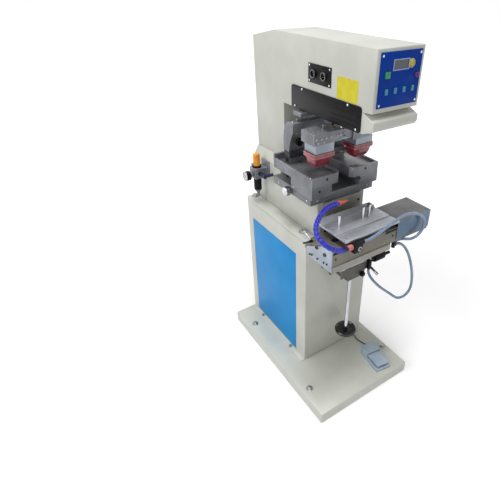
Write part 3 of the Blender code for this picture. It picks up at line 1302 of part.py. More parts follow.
def make_pad(name, x):
    """One silicone pad: a flange, a tapering body and a rounded ridge below."""
    height_shares = (0.0, 0.24, 0.28, 0.62, 0.82, 0.94, 1.0)
    width_shares = (1.0, 1.0, 0.88, 0.80, 0.66, 0.42, 0.18)
    depth_shares = (1.0, 1.0, 0.86, 0.72, 0.54, 0.30, 0.10)
    mesh = bpy.data.meshes.new(name)
    cage = bmesh.new()
    rings = []
    for down, wide, deep in zip(height_shares, width_shares, depth_shares):
        half_w, half_d = PAD_HALF_WIDTH * wide, PAD_HALF_DEPTH * deep
        corner = min(PAD_CORNER, 0.9 * half_w, 0.9 * half_d)
        points = rounded_outline((-half_w, -half_d), (half_w, half_d), corner, 3)
        rings.append([cage.verts.new((u, v, -down * PAD_HEIGHT)) for u, v in points])
    for upper, lower in zip(rings, rings[1:]):
        count = len(upper)
        for i in range(count):
            k = (i + 1) % count
            cage.faces.new((upper[i], lower[i], lower[k], upper[k]))
    cage.faces.new(rings[0])
    cage.faces.new(rings[-1][::-1])
    bmesh.ops.recalc_face_normals(cage, faces=cage.faces)
    cage.to_mesh(mesh)
    cage.free()
    pad = link(name, mesh, "red_silicone")
    pad.location = (x, LIFT_Y, PAD_TOP)
    return smooth(pad)


def make_blades(stroke):
    """The blade beam with its cheeks, the blade holders and the pressure knobs."""
    middle = (BEAM_FRONT + BEAM_REAR) / 2
    beam = block("blade_beam", both_sides(BEAM_HALF_WIDTH), (BEAM_FRONT, BEAM_REAR),
                 (BEAM_LOW, BEAM_HIGH), "aluminium")
    depth = CHEEK_BACK - BEAM_FRONT
    height = BEAM_HIGH - CHEEK_LOW
    cheek_shares = ((0.0, 1.0), (0.56, 1.0), (0.80, 0.86), (0.94, 0.66), (1.0, 0.44), (1.0, 0.0),
                    (0.42, 0.0), (0.36, 0.26), (0.20, 0.50), (0.0, 0.70))
    cheek = [(BEAM_FRONT + u * depth, CHEEK_LOW + v * height) for u, v in cheek_shares]
    for inner, outer in ((-BEAM_HALF_WIDTH, -BEAM_HALF_WIDTH + CHEEK_THICKNESS),
                         (BEAM_HALF_WIDTH - CHEEK_THICKNESS, BEAM_HALF_WIDTH)):
        fuse(beam, outline("cheek", cheek, "X", (inner, outer)))
    inner = BEAM_HALF_WIDTH - CHEEK_THICKNESS / 2
    fuse(beam, block("cross_bar", both_sides(inner), (CROSS_FRONT, CROSS_REAR),
                     (CROSS_LOW, CROSS_HIGH)))
    fuse(beam, rod("blade_rod", (0.0, middle, BEAM_HIGH - OVERRUN), (0.0, middle, BLADE_ROD_TOP),
                   BLADE_PIN_RADIUS))
    for x in both_sides(BLADE_PIN_SPREAD):
        cut(beam, rod("pin_hole", (x, middle, BEAM_LOW - OVERRUN), (x, middle, BEAM_HIGH + OVERRUN),
                      BLADE_PIN_RADIUS + RUNNING_GAP))
    shaft_hole = BLADE_KNOB_SHAFT + RUNNING_GAP
    for x in both_sides(BLADE_KNOB_X):
        cut(beam, rod("knob_hole", (x, CROSS_FRONT - OVERRUN, BLADE_KNOB_Z),
                      (x, CROSS_FRONT + BLADE_KNOB_ENTRY + OVERRUN, BLADE_KNOB_Z), shaft_hole))
    holders = []
    for side, x in (("left", -PAD_X), ("right", PAD_X)):
        clamp = block("blade_holder_" + side, (x - CLAMP_HALF_WIDTH, x + CLAMP_HALF_WIDTH),
                      (CLAMP_FRONT, CROSS_REAR), (CLAMP_LOW, CROSS_LOW - GAP), "dark_steel")
        blade_x = (x - CLAMP_HALF_WIDTH + BLADE_THICKNESS, x + CLAMP_HALF_WIDTH - BLADE_THICKNESS)
        fuse(clamp, block("doctor_blade", blade_x,
                          (CROSS_REAR - BLADE_INSET - BLADE_THICKNESS, CROSS_REAR - BLADE_INSET),
                          (BLADE_LOW, CLAMP_LOW + OVERRUN)))
        fuse(clamp, block("flood_bar", blade_x,
                          (CLAMP_FRONT + BLADE_INSET, CLAMP_FRONT + BLADE_INSET + FLOOD_THICKNESS),
                          (BLADE_LOW + FLOOD_RAISE, CLAMP_LOW + OVERRUN)))
        holders.append(clamp)
    lift = carry("blade_lift", (0.0, middle, BEAM_HIGH), [beam, *holders], stroke)
    for side, x in (("left", -BLADE_KNOB_X), ("right", BLADE_KNOB_X)):
        face = CROSS_FRONT - BLADE_KNOB_STANDOFF
        knob = rod("blade_knob_" + side, (x, face, BLADE_KNOB_Z),
                   (x, face - BLADE_KNOB_LENGTH, BLADE_KNOB_Z), BLADE_KNOB_RADIUS,
                   "dark_steel", ROUND_SIDES)
        bevel(knob, OVERRUN)
        fuse(knob, rod("knob_shaft", (x, CROSS_FRONT + BLADE_KNOB_ENTRY, BLADE_KNOB_Z),
                       (x, face - OVERRUN, BLADE_KNOB_Z), BLADE_KNOB_SHAFT))
        carry("blade_knob_%s_turn" % side, (x, face, BLADE_KNOB_Z), [knob], lift)


def make_trays():
    """The support plate, the two ink trays with their plates and the clamp knobs."""
    support = block("tray_support", both_sides(SUPPORT_HALF_WIDTH), (SUPPORT_FRONT, SUPPORT_REAR),
                    (SUPPORT_BOTTOM, SUPPORT_TOP), "steel", ARM_EDGE / 2)
    for side, name in ((-1, "left"), (1, "right")):
        outer, inner = side * TRAY_OUTER, side * TRAY_INNER
        foot = side * TRAY_FOOT_INNER
        x_span = (min(outer, inner), max(outer, inner))
        foot_span = (min(outer, foot), max(outer, foot))
        tray = block("ink_tray_" + name, x_span, (TRAY_FRONT, TRAY_REAR),
                     (TRAY_RIM_BOTTOM, TRAY_TOP), "steel", ARM_EDGE / 2)
        fuse(tray, block("tray_foot", foot_span, (TRAY_FRONT, TRAY_FOOT_REAR),
                         (TRAY_BOTTOM, TRAY_RIM_BOTTOM + OVERRUN)))
        fuse(tray, block("back_wall", x_span, (TRAY_REAR - TRAY_RIM, TRAY_REAR),
                         (TRAY_TOP - OVERRUN, TRAY_TOP + TRAY_BACK_WALL)))
        recess_x = (x_span[0] + TRAY_RIM, x_span[1] - TRAY_RIM)
        cut(tray, block("tray_recess", recess_x, (TRAY_FRONT + TRAY_RIM, TRAY_REAR - TRAY_RIM),
                        (TRAY_FLOOR, TRAY_TOP + TRAY_BACK_WALL + OVERRUN)))
        corner = block("tray_corner", both_sides(TRAY_CHAMFER), both_sides(TRAY_CHAMFER),
                       (TRAY_RIM_BOTTOM - OVERRUN, TRAY_TOP + OVERRUN))
        corner.rotation_euler = (0.0, 0.0, math.pi / 4)
        corner.location.x = inner + side * -OVERRUN
        corner.location.y = TRAY_FRONT - OVERRUN
        cut(tray, corner)
        middle = side * PAD_X
        block("cliche_plate_" + name, (middle - CLICHE_HALF_WIDTH, middle + CLICHE_HALF_WIDTH),
              (TRAY_FRONT + TRAY_RIM + CLICHE_INSET, TRAY_REAR - TRAY_RIM - CLICHE_INSET),
              (TRAY_FLOOR + GAP, TRAY_FLOOR + GAP + CLICHE_THICKNESS), "chrome")
        edge = side * SUPPORT_HALF_WIDTH
        cut(support, rod("tray_knob_hole", (edge + side * OVERRUN, TRAY_KNOB_Y, TRAY_KNOB_Z),
                         (edge - side * (TRAY_KNOB_ENTRY + OVERRUN), TRAY_KNOB_Y, TRAY_KNOB_Z),
                         TRAY_KNOB_SHAFT + RUNNING_GAP))
        face = edge + side * TRAY_KNOB_STANDOFF
        knob = rod("tray_knob_" + name, (face, TRAY_KNOB_Y, TRAY_KNOB_Z),
                   (face + side * TRAY_KNOB_LENGTH, TRAY_KNOB_Y, TRAY_KNOB_Z), TRAY_KNOB_RADIUS,
                   "chrome", ROUND_SIDES)
        bevel(knob, OVERRUN)
        fuse(knob, rod("knob_shaft", (edge - side * TRAY_KNOB_ENTRY, TRAY_KNOB_Y, TRAY_KNOB_Z),
                       (face + side * OVERRUN, TRAY_KNOB_Y, TRAY_KNOB_Z), TRAY_KNOB_SHAFT))
        carry("tray_knob_%s_turn" % name, (face, TRAY_KNOB_Y, TRAY_KNOB_Z), [knob])


def make_table_guide():
    """The fixed guide plate with its two rails and the arm that holds the screw's nut."""
    guide = block("table_guide", both_sides(GUIDE_PLATE_HALF_WIDTH),
                  (GUIDE_PLATE_FACE, GUIDE_PLATE_BACK), (GUIDE_PLATE_LOW, CASTING_ARM_TOP - GAP),
                  "steel")
    for x in both_sides(RAIL_SPREAD):
        fuse(guide, block("rail", (x - RAIL_WIDTH / 2, x + RAIL_WIDTH / 2),
                          (RAIL_FACE, GUIDE_PLATE_FACE + OVERRUN), (RAIL_LOW, RAIL_HIGH)))
    fuse(guide, block("nut_arm", both_sides(NUT_ARM_HALF_WIDTH),
                      (SCREW_Y - NUT_ARM_LIP, GUIDE_PLATE_FACE + OVERRUN),
                      (NUT_ARM_LOW, NUT_ARM_HIGH)))
    cut(guide, rod("nut_bore", (0.0, SCREW_Y, NUT_ARM_LOW - OVERRUN),
                   (0.0, SCREW_Y, NUT_ARM_HIGH + OVERRUN), SCREW_RADIUS + RUNNING_GAP))


def make_knee():
    """The knee that climbs the rails, with the screw's bearing and the cross nut."""
    knee = block("table_knee", both_sides(KNEE_PLATE_HALF_WIDTH),
                 (KNEE_PLATE_FACE, KNEE_PLATE_BACK), (KNEE_LOW, KNEE_PLATE_HIGH), "dark_steel")
    runner_back = KNEE_PLATE_BACK + RUNNER_DEPTH
    for x in both_sides(RAIL_SPREAD):
        fuse(knee, block("runner", (x - RUNNER_WIDTH / 2, x + RUNNER_WIDTH / 2),
                         (KNEE_PLATE_BACK - OVERRUN, RAIL_FACE + 0.6 * RAIL_DEPTH),
                         (RUNNER_LOW, RUNNER_LOW + RUNNER_HEIGHT)))
    overlap = KNEE_PLATE_FACE + OVERRUN
    fuse(knee, block("knee_box", both_sides(KNEE_HALF_WIDTH), (KNEE_FRONT, overlap),
                     (KNEE_LOW, KNEE_FLANGE_HIGH)))
    fuse(knee, block("knee_flange", both_sides(KNEE_PLATE_HALF_WIDTH), (KNEE_FRONT, overlap),
                     (KNEE_FLANGE_LOW, KNEE_FLANGE_HIGH)))
    nut_y = (X_SCREW_Y - X_NUT_DEPTH / 2, X_SCREW_Y + X_NUT_DEPTH / 2)
    fuse(knee, block("cross_nut", (X_NUT_INNER, X_NUT_INNER + X_NUT_WIDTH), nut_y,
                     (KNEE_FLANGE_HIGH - OVERRUN, X_SCREW_Z + X_NUT_RISE)))
    cut(knee, block("knee_cavity", both_sides(KNEE_CAVITY_HALF_WIDTH),
                    (KNEE_FRONT + SLIDE_WALL, runner_back), (KNEE_LOW + KNEE_FLOOR,
                                                             KNEE_WINDOW_HIGH)))
    for x in both_sides(RAIL_SPREAD):
        cut(knee, block("rail_slot", (x - RAIL_WIDTH / 2 - RUNNING_GAP,
                                      x + RAIL_WIDTH / 2 + RUNNING_GAP),
                        (RAIL_FACE - RUNNING_GAP, runner_back), (KNEE_LOW - OVERRUN,
                                                                 KNEE_PLATE_HIGH + OVERRUN)))
    cut(knee, rod("bearing_bore", (0.0, SCREW_Y, KNEE_LOW - OVERRUN),
                  (0.0, SCREW_Y, KNEE_LOW + KNEE_FLOOR + OVERRUN), SCREW_RADIUS + RUNNING_GAP),
        rod("cross_nut_bore", (X_NUT_INNER - OVERRUN, X_SCREW_Y, X_SCREW_Z),
            (X_NUT_INNER + X_NUT_WIDTH + OVERRUN, X_SCREW_Y, X_SCREW_Z),
            X_SCREW_RADIUS + RUNNING_GAP),
        rod("lock_hole", (LOCK_X, KNEE_FRONT - OVERRUN, LOCK_Z),
            (LOCK_X, KNEE_FRONT + SLIDE_WALL + OVERRUN, LOCK_Z), LOCK_SHAFT + RUNNING_GAP),
        rod("lever_hole", (KNEE_HALF_WIDTH + OVERRUN, LEVER_Y, LEVER_Z),
            (KNEE_CAVITY_HALF_WIDTH - OVERRUN, LEVER_Y, LEVER_Z), LEVER_SHAFT + RUNNING_GAP))
    return carry("table_lift", (0.0, SCREW_Y, KNEE_LOW), [knee])


def make_lift_screw(knee):
    """The lift screw with its thrust collars and the dished handwheel."""
    screw = rod("lift_handwheel", (0.0, SCREW_Y, SCREW_BOTTOM), (0.0, SCREW_Y, SCREW_TOP),
                SCREW_RADIUS, "black_plastic")
    upper = KNEE_LOW + KNEE_FLOOR + GAP
    lower = KNEE_LOW - GAP
    for low, high in ((upper, upper + COLLAR_THICKNESS), (lower - COLLAR_THICKNESS, lower)):
        fuse(screw, rod("collar", (0.0, SCREW_Y, low), (0.0, SCREW_Y, high), COLLAR_RADIUS))
    half_hub = WHEEL_HUB_HEIGHT / 2
    half_web = WHEEL_WEB / 2
    half_rim = WHEEL_RIM_HEIGHT / 2
    inner_rim = WHEEL_RADIUS - WHEEL_RIM
    edge = WHEEL_RIM / 3
    profile = [(0.0, half_hub), (WHEEL_HUB_RADIUS, half_hub), (WHEEL_HUB_RADIUS, half_web),
               (inner_rim, half_web), (inner_rim + edge, half_rim),
               (WHEEL_RADIUS - edge, half_rim), (WHEEL_RADIUS, half_rim - edge),
               (WHEEL_RADIUS, edge - half_rim), (WHEEL_RADIUS - edge, -half_rim),
               (inner_rim + edge, -half_rim), (inner_rim, -half_web),
               (WHEEL_HUB_RADIUS, -half_web), (WHEEL_HUB_RADIUS, -half_hub),
               (0.0, -half_hub)]
    fuse(screw, turned("wheel", profile, (0.0, SCREW_Y, WHEEL_Z), (0.0, 0.0, 1.0)))
    carry("handwheel_turn", (0.0, SCREW_Y, WHEEL_Z), [screw], knee)


def make_knee_clamps(knee):
    """The lock knob in front of the knee and the clamp lever on its right."""
    face = KNEE_FRONT - LOCK_STANDOFF
    knob = rod("lock_knob", (LOCK_X, face, LOCK_Z), (LOCK_X, face - LOCK_KNOB_LENGTH, LOCK_Z),
               LOCK_KNOB_RADIUS, "black_plastic", ROUND_SIDES)
    bevel(knob, OVERRUN)
    fuse(knob, rod("lock_shaft", (LOCK_X, KNEE_FRONT + SLIDE_WALL, LOCK_Z),
                   (LOCK_X, face - OVERRUN, LOCK_Z), LOCK_SHAFT))
    carry("lock_knob_turn", (LOCK_X, face, LOCK_Z), [knob], knee)
    hub_start = KNEE_HALF_WIDTH + GAP
    lever = rod("clamp_lever", (hub_start, LEVER_Y, LEVER_Z), (LEVER_HUB_END, LEVER_Y, LEVER_Z),
                LEVER_HUB_RADIUS, "chrome", ROUND_SIDES)
    arm_x = LEVER_HUB_END - LEVER_ARM_RADIUS
    tip = (arm_x, LEVER_Y - LEVER_REACH, LEVER_Z - LEVER_DROP)
    fuse(lever, rod("lever_shaft", (KNEE_CAVITY_HALF_WIDTH, LEVER_Y, LEVER_Z),
                    (hub_start + OVERRUN, LEVER_Y, LEVER_Z), LEVER_SHAFT))
    fuse(lever, rod("lever_arm", (arm_x, LEVER_Y, LEVER_Z), tip, LEVER_ARM_RADIUS,
                    tip=LEVER_TIP_RADIUS))
    carry("clamp_lever_turn", (hub_start, LEVER_Y, LEVER_Z), [lever], knee)


def make_cross_slide(knee):
    """The cross slide with its riser, and the knob that drives it sideways."""
    slide = block("cross_slide", both_sides(SLIDE_HALF_WIDTH), (SLIDE_FRONT, SLIDE_REAR),
                  (SLIDE_BOTTOM, SLIDE_TOP), "aluminium")
    fuse(slide, block("slide_lip", both_sides(SLIDE_HALF_WIDTH),
                      (SLIDE_FRONT, SLIDE_FRONT + SLIDE_LIP),
                      (SLIDE_BOTTOM - SLIDE_LIP_DROP, SLIDE_BOTTOM + OVERRUN)))
    fuse(slide, block("riser", both_sides(RISER_HALF_WIDTH), (RISER_FRONT, BED_REAR),
                      (SLIDE_TOP - OVERRUN, RISER_TOP)))
    cut(slide, block("slide_channel", both_sides(SLIDE_CHANNEL_HALF_WIDTH),
                     (SLIDE_FRONT + SLIDE_WALL, SLIDE_REAR + OVERRUN),
                     (SLIDE_BOTTOM - SLIDE_LIP_DROP - OVERRUN, SLIDE_TOP - SLIDE_ROOF)),
        rod("cross_screw_hole", (SLIDE_CHANNEL_HALF_WIDTH - OVERRUN, X_SCREW_Y, X_SCREW_Z),
            (SLIDE_HALF_WIDTH + OVERRUN, X_SCREW_Y, X_SCREW_Z), X_SCREW_RADIUS + RUNNING_GAP))
    low_y = SLIDE_FRONT - FITTING_RADIUS
    fuse(slide, block("low_fitting", (LOW_FITTING_X - FITTING_RADIUS,
                                      LOW_FITTING_X + FITTING_RADIUS),
                      (low_y - FITTING_RADIUS, SLIDE_FRONT + OVERRUN),
                      (LOW_FITTING_TOP - LOW_FITTING_DEPTH, LOW_FITTING_TOP + LOW_FITTING_HEIGHT / 2)))
    pivot = carry("cross_slide_move", (0.0, X_SCREW_Y, SLIDE_BOTTOM), [slide], knee)
    collar_start = SLIDE_HALF_WIDTH + GAP
    knob_start = collar_start + X_COLLAR_LENGTH
    knob_end = knob_start + X_KNOB_LENGTH
    knob = rod("cross_knob", (knob_start - OVERRUN, X_SCREW_Y, X_SCREW_Z),
               (knob_end, X_SCREW_Y, X_SCREW_Z), X_KNOB_RADIUS, "black_plastic", ROUND_SIDES)
    bevel(knob, OVERRUN)
    fuse(knob, rod("collar", (collar_start, X_SCREW_Y, X_SCREW_Z),
                   (knob_start, X_SCREW_Y, X_SCREW_Z), X_COLLAR_RADIUS, sides=ROUND_SIDES))
    screw_end = X_NUT_INNER - X_NUT_WIDTH
    fuse(knob, rod("cross_screw", (screw_end, X_SCREW_Y, X_SCREW_Z),
                   (collar_start + OVERRUN, X_SCREW_Y, X_SCREW_Z), X_SCREW_RADIUS))
    handle_y = X_SCREW_Y - X_HANDLE_OFFSET
    fuse(knob, rod("handle", (knob_end - OVERRUN, handle_y, X_SCREW_Z),
                   (knob_end + X_HANDLE_LENGTH, handle_y, X_SCREW_Z), X_HANDLE_RADIUS))
    carry("cross_knob_turn", (collar_start, X_SCREW_Y, X_SCREW_Z), [knob], pivot)
    return pivot


def make_shuttle_bed():
    """The bed plate, the shuttle body with its track, the end plate, hood and cylinder."""
    bed = block("bed_plate", (BED_LEFT, BED_RIGHT), (END_PLATE_FRONT, BED_REAR),
                (BED_BOTTOM, BED_TOP), "steel", ARM_EDGE / 2)
    lid_low = SHUTTLE_TOP - SHUTTLE_LID
    body = block("shuttle_body", (SHUTTLE_LEFT, SHUTTLE_RIGHT), (SHUTTLE_FRONT, SHUTTLE_BACK),
                 (SHUTTLE_BOTTOM, SHUTTLE_TOP), "steel")
    fuse(body, block("track_shelf", (SHUTTLE_LEFT, SHUTTLE_RIGHT),
                     (SHUTTLE_BACK - OVERRUN, SHUTTLE_REAR), (SHUTTLE_BOTTOM, SHUTTLE_FLOOR_TOP)))
    fuse(body, block("track", (SHUTTLE_LEFT + TRACK_END_CLEARANCE,
                               SHUTTLE_RIGHT - TRACK_END_CLEARANCE), (TRACK_FRONT, TRACK_REAR),
                     (SHUTTLE_FLOOR_TOP - OVERRUN, SHUTTLE_FLOOR_TOP + TRACK_HEIGHT)))
    cavity_back = SHUTTLE_BACK - SHUTTLE_WALL
    slot_end = TONGUE_X + TONGUE_THICKNESS + SHUTTLE_STROKE + TONGUE_SLOT_MARGIN
    slot_half = TONGUE_HALF_WIDTH + OVERRUN
    cut(body, block("channel", (SHUTTLE_LEFT + SHUTTLE_WALL, SHUTTLE_RIGHT + OVERRUN),
                    (SHUTTLE_FRONT + SHUTTLE_WALL, cavity_back), (SHUTTLE_FLOOR_TOP, lid_low)),
        block("open_top", (HOOD_LEFT - GAP, SHUTTLE_RIGHT + OVERRUN),
              (SHUTTLE_FRONT - OVERRUN, SHUTTLE_BACK + OVERRUN),
              (lid_low - OVERRUN, SHUTTLE_TOP + OVERRUN)),
        block("tongue_slot", (TONGUE_X - TONGUE_SLOT_MARGIN, slot_end),
              (DRIVE_Y - slot_half, DRIVE_Y + slot_half), (lid_low - OVERRUN,
                                                           SHUTTLE_TOP + OVERRUN)))
    loop_z, drop_z = SHUTTLE_BOTTOM - TEE_BRANCH_DROP, SHUTTLE_BOTTOM - DROP_BRANCH_DROP
    branch_end = DROP_FITTING_X + TEE_BRANCH_LENGTH
    fuse(body, rod("tee", (DROP_FITTING_X, DROP_FITTING_Y, SHUTTLE_BOTTOM - TEE_DROP),
                   (DROP_FITTING_X, DROP_FITTING_Y, SHUTTLE_BOTTOM + OVERRUN), FITTING_RADIUS),
         rod("loop_branch", (DROP_FITTING_X, DROP_FITTING_Y, loop_z),
             (branch_end, DROP_FITTING_Y, loop_z), 0.9 * FITTING_RADIUS),
         rod("drop_branch", (DROP_FITTING_X, DROP_FITTING_Y, drop_z),
             (branch_end, DROP_FITTING_Y, drop_z), 0.9 * FITTING_RADIUS))
    end_face = SHUTTLE_LEFT - GAP
    flat = END_PLATE_FRONT + END_PLATE_FLAT
    end_plate = outline("shuttle_end_plate",
                        [(END_PLATE_FRONT, END_PLATE_LOW), (END_PLATE_REAR, END_PLATE_LOW),
                         (END_PLATE_REAR, END_PLATE_HIGH_REAR), (flat, END_PLATE_HIGH),
                         (END_PLATE_FRONT, END_PLATE_HIGH)], "X",
                        (end_face - END_PLATE_THICKNESS, end_face), "aluminium")
    hood_right = SHUTTLE_RIGHT + HOOD_SIDE_GAP
    hood_front = SHUTTLE_FRONT - HOOD_SIDE_GAP
    hood_back = SHUTTLE_BACK + HOOD_SIDE_GAP
    hood = block("shuttle_hood", (HOOD_LEFT, hood_right + HOOD_SKIN),
                 (hood_front - HOOD_SKIN, hood_back + HOOD_SKIN), (HOOD_LOW, HOOD_TOP), "steel")
    cut(hood, block("hood_inside", (HOOD_LEFT - OVERRUN, hood_right), (hood_front, hood_back),
                    (HOOD_LOW - OVERRUN, HOOD_TOP - HOOD_SKIN)))
    cut(hood, block("shelf_notch", (HOOD_LEFT - OVERRUN, hood_right + HOOD_SKIN + OVERRUN),
                    (hood_back - OVERRUN, hood_back + HOOD_SKIN + OVERRUN),
                    (HOOD_LOW - OVERRUN, SHUTTLE_FLOOR_TOP + GAP)))
    cylinder_right = SHUTTLE_RIGHT - TRACK_END_CLEARANCE / 2
    cylinder = block("shuttle_cylinder", (CYLINDER_LEFT, cylinder_right),
                     (DRIVE_Y - CYLINDER_HALF_WIDTH, DRIVE_Y + CYLINDER_HALF_WIDTH),
                     (SHUTTLE_FLOOR_TOP + GAP, CYLINDER_TOP), "aluminium")
    bore_start = CYLINDER_LEFT + CYLINDER_GLAND
    cut(cylinder, rod("bore", (bore_start, DRIVE_Y, DRIVE_Z),
                      (cylinder_right - TRACK_END_CLEARANCE / 2, DRIVE_Y, DRIVE_Z),
                      CYLINDER_BORE, sides=ROUND_SIDES),
        rod("gland", (CYLINDER_LEFT - OVERRUN, DRIVE_Y, DRIVE_Z),
            (bore_start + OVERRUN, DRIVE_Y, DRIVE_Z), DRIVE_ROD_RADIUS + RUNNING_GAP))
    return [bed, body, end_plate, hood, cylinder]


def make_shuttle_plate(slide):
    """The plate that shuttles between the pads, with its bearings, tongue and posts."""
    top = PLATE_BOTTOM + PLATE_HEIGHT
    plate = block("shuttle_plate", (PLATE_LEFT, PLATE_RIGHT), (PLATE_FRONT, PLATE_REAR),
                  (PLATE_BOTTOM, top), "aluminium")
    bearing_y = (TRACK_FRONT - BEARING_MARGIN, TRACK_REAR + BEARING_MARGIN)
    bearing_low = SHUTTLE_FLOOR_TOP + GAP
    starts = (PLATE_LEFT + BEARING_INSET, PLATE_RIGHT - BEARING_RIGHT_INSET - BEARING_LENGTH)
    for start in starts:
        fuse(plate, block("bearing", (start, start + BEARING_LENGTH), bearing_y,
                          (bearing_low, PLATE_BOTTOM + OVERRUN)))
    fuse(plate, block("tongue", (TONGUE_X, TONGUE_X + TONGUE_THICKNESS),
                      (DRIVE_Y - TONGUE_HALF_WIDTH, DRIVE_Y + TONGUE_HALF_WIDTH),
                      (DRIVE_Z - TONGUE_DROP, PLATE_BOTTOM + OVERRUN)))
    cut(plate, block("track_groove", (PLATE_LEFT, PLATE_RIGHT),
                     (TRACK_FRONT - RUNNING_GAP, TRACK_REAR + RUNNING_GAP),
                     (bearing_low - OVERRUN, SHUTTLE_FLOOR_TOP + TRACK_HEIGHT + RUNNING_GAP)))
    for y in (PLATE_FRONT + PLATE_SLOT_INSET, PLATE_REAR - PLATE_SLOT_INSET):
        cut(plate, block("plate_slot", (PLATE_LEFT - OVERRUN, PLATE_RIGHT + OVERRUN),
                         (y - PLATE_SLOT_WIDTH / 2, y + PLATE_SLOT_WIDTH / 2),
                         (top - PLATE_SLOT_DEPTH, top + OVERRUN)))
    post_y = PLATE_FRONT + POST_FRONT_INSET
    right_post = PLATE_RIGHT - POST_RIGHT_INSET
    for x in (PLATE_LEFT + POST_LEFT_INSET, right_post - POST_SPACING, right_post):
        fuse(plate, rod("post", (x, post_y, top - OVERRUN), (x, post_y, top + POST_HEIGHT),
                        POST_RADIUS))
    fuse(plate, block("stop", (PLATE_RIGHT - 2 * STOP_WIDTH, PLATE_RIGHT - STOP_WIDTH),
                      (PLATE_REAR - 2 * STOP_DEPTH, PLATE_REAR - STOP_DEPTH),
                      (top - OVERRUN, top + STOP_HEIGHT)))
    rod_start = TONGUE_X + TONGUE_THICKNESS + GAP
    piston_start = CYLINDER_LEFT + CYLINDER_GLAND + GAP
    piston = rod("shuttle_piston", (rod_start, DRIVE_Y, DRIVE_Z),
                 (piston_start + OVERRUN, DRIVE_Y, DRIVE_Z), DRIVE_ROD_RADIUS, "chrome")
    fuse(piston, rod("piston_head", (piston_start, DRIVE_Y, DRIVE_Z),
                     (piston_start + DRIVE_PISTON_THICKNESS, DRIVE_Y, DRIVE_Z),
                     DRIVE_PISTON_RADIUS, sides=ROUND_SIDES))
    carry("shuttle_move", (0.0, DRIVE_Y, DRIVE_Z), [plate, piston], slide)


def make_air_parts():
    """The air block, its fittings, the segmented hose with its ends, and two tubes."""
    block_back = SHUTTLE_FRONT - GAP
    air = block("air_block", (BLOCK_LEFT, BLOCK_RIGHT), (block_back - BLOCK_DEPTH, block_back),
                (BLOCK_LOW, BLOCK_HIGH), "black_plastic", ARM_EDGE / 2)
    loop_y, loop_z = block_back - LOOP_PORT_DEPTH, BLOCK_LOW + LOOP_PORT_RISE
    hose_y, hose_z = block_back - HOSE_PORT_DEPTH, BLOCK_LOW + HOSE_PORT_RISE
    fuse(air, rod("loop_fitting", (BLOCK_RIGHT - OVERRUN, loop_y, loop_z),
                  (BLOCK_RIGHT + LOOP_FITTING_LENGTH, loop_y, loop_z), FITTING_RADIUS),
         rod("hose_nut", (BLOCK_LEFT + OVERRUN, hose_y, hose_z),
             (BLOCK_LEFT - HOSE_NUT_LENGTH, hose_y, hose_z), NUT_RADIUS))
    tail, last = Vector(HOSE_ROUTE[-2]), Vector(HOSE_ROUTE[-1])
    heading = (last - tail).normalized()
    nozzle = rod("hose_nozzle", last + heading * GAP, last + heading * (GAP + NOZZLE_LENGTH),
                 HOSE_RIB_RADIUS, "orange_plastic", tip=NOZZLE_TIP_RADIUS)
    points, radii = ribbed(HOSE_ROUTE)
    hose = tube("coolant_hose", points, HOSE_RADIUS, "blue_hose", 2, radii)
    bore_points = smooth_route(HOSE_ROUTE, HOSE_RADIUS * 2)
    bore_points[0] = bore_points[0] + (bore_points[0] - bore_points[1]).normalized() * OVERRUN
    bore_points[-1] = bore_points[-1] + (bore_points[-1] - bore_points[-2]).normalized() * OVERRUN
    cut(hose, tube("hose_bore", bore_points, HOSE_BORE, resolution=1))
    loop = tube("air_tube_loop", smooth_route(LOOP_ROUTE, TUBE_RADIUS * 4), TUBE_RADIUS,
                "clear_tube", 2)
    drop = tube("air_tube_drop", smooth_route(DROP_ROUTE, TUBE_RADIUS * 4), TUBE_RADIUS,
                "clear_tube", 2)
    return [air, nozzle, hose, loop, drop]


def ribbed(route):
    """Points and radius shares of a hose whose segments swell into ribs."""
    even = smooth_route(route, HOSE_RIB_PITCH / 2)
    swell = HOSE_RIB_RADIUS / HOSE_RADIUS
    straight = round(2 * HOSE_RADIUS / (HOSE_RIB_PITCH / 2))
    last = len(even) - 1
    radii = []
    for i in range(len(even)):
        inside = straight < i < last - straight
        radii.append(swell if inside and i % 2 else 1.0)
    return even, radii


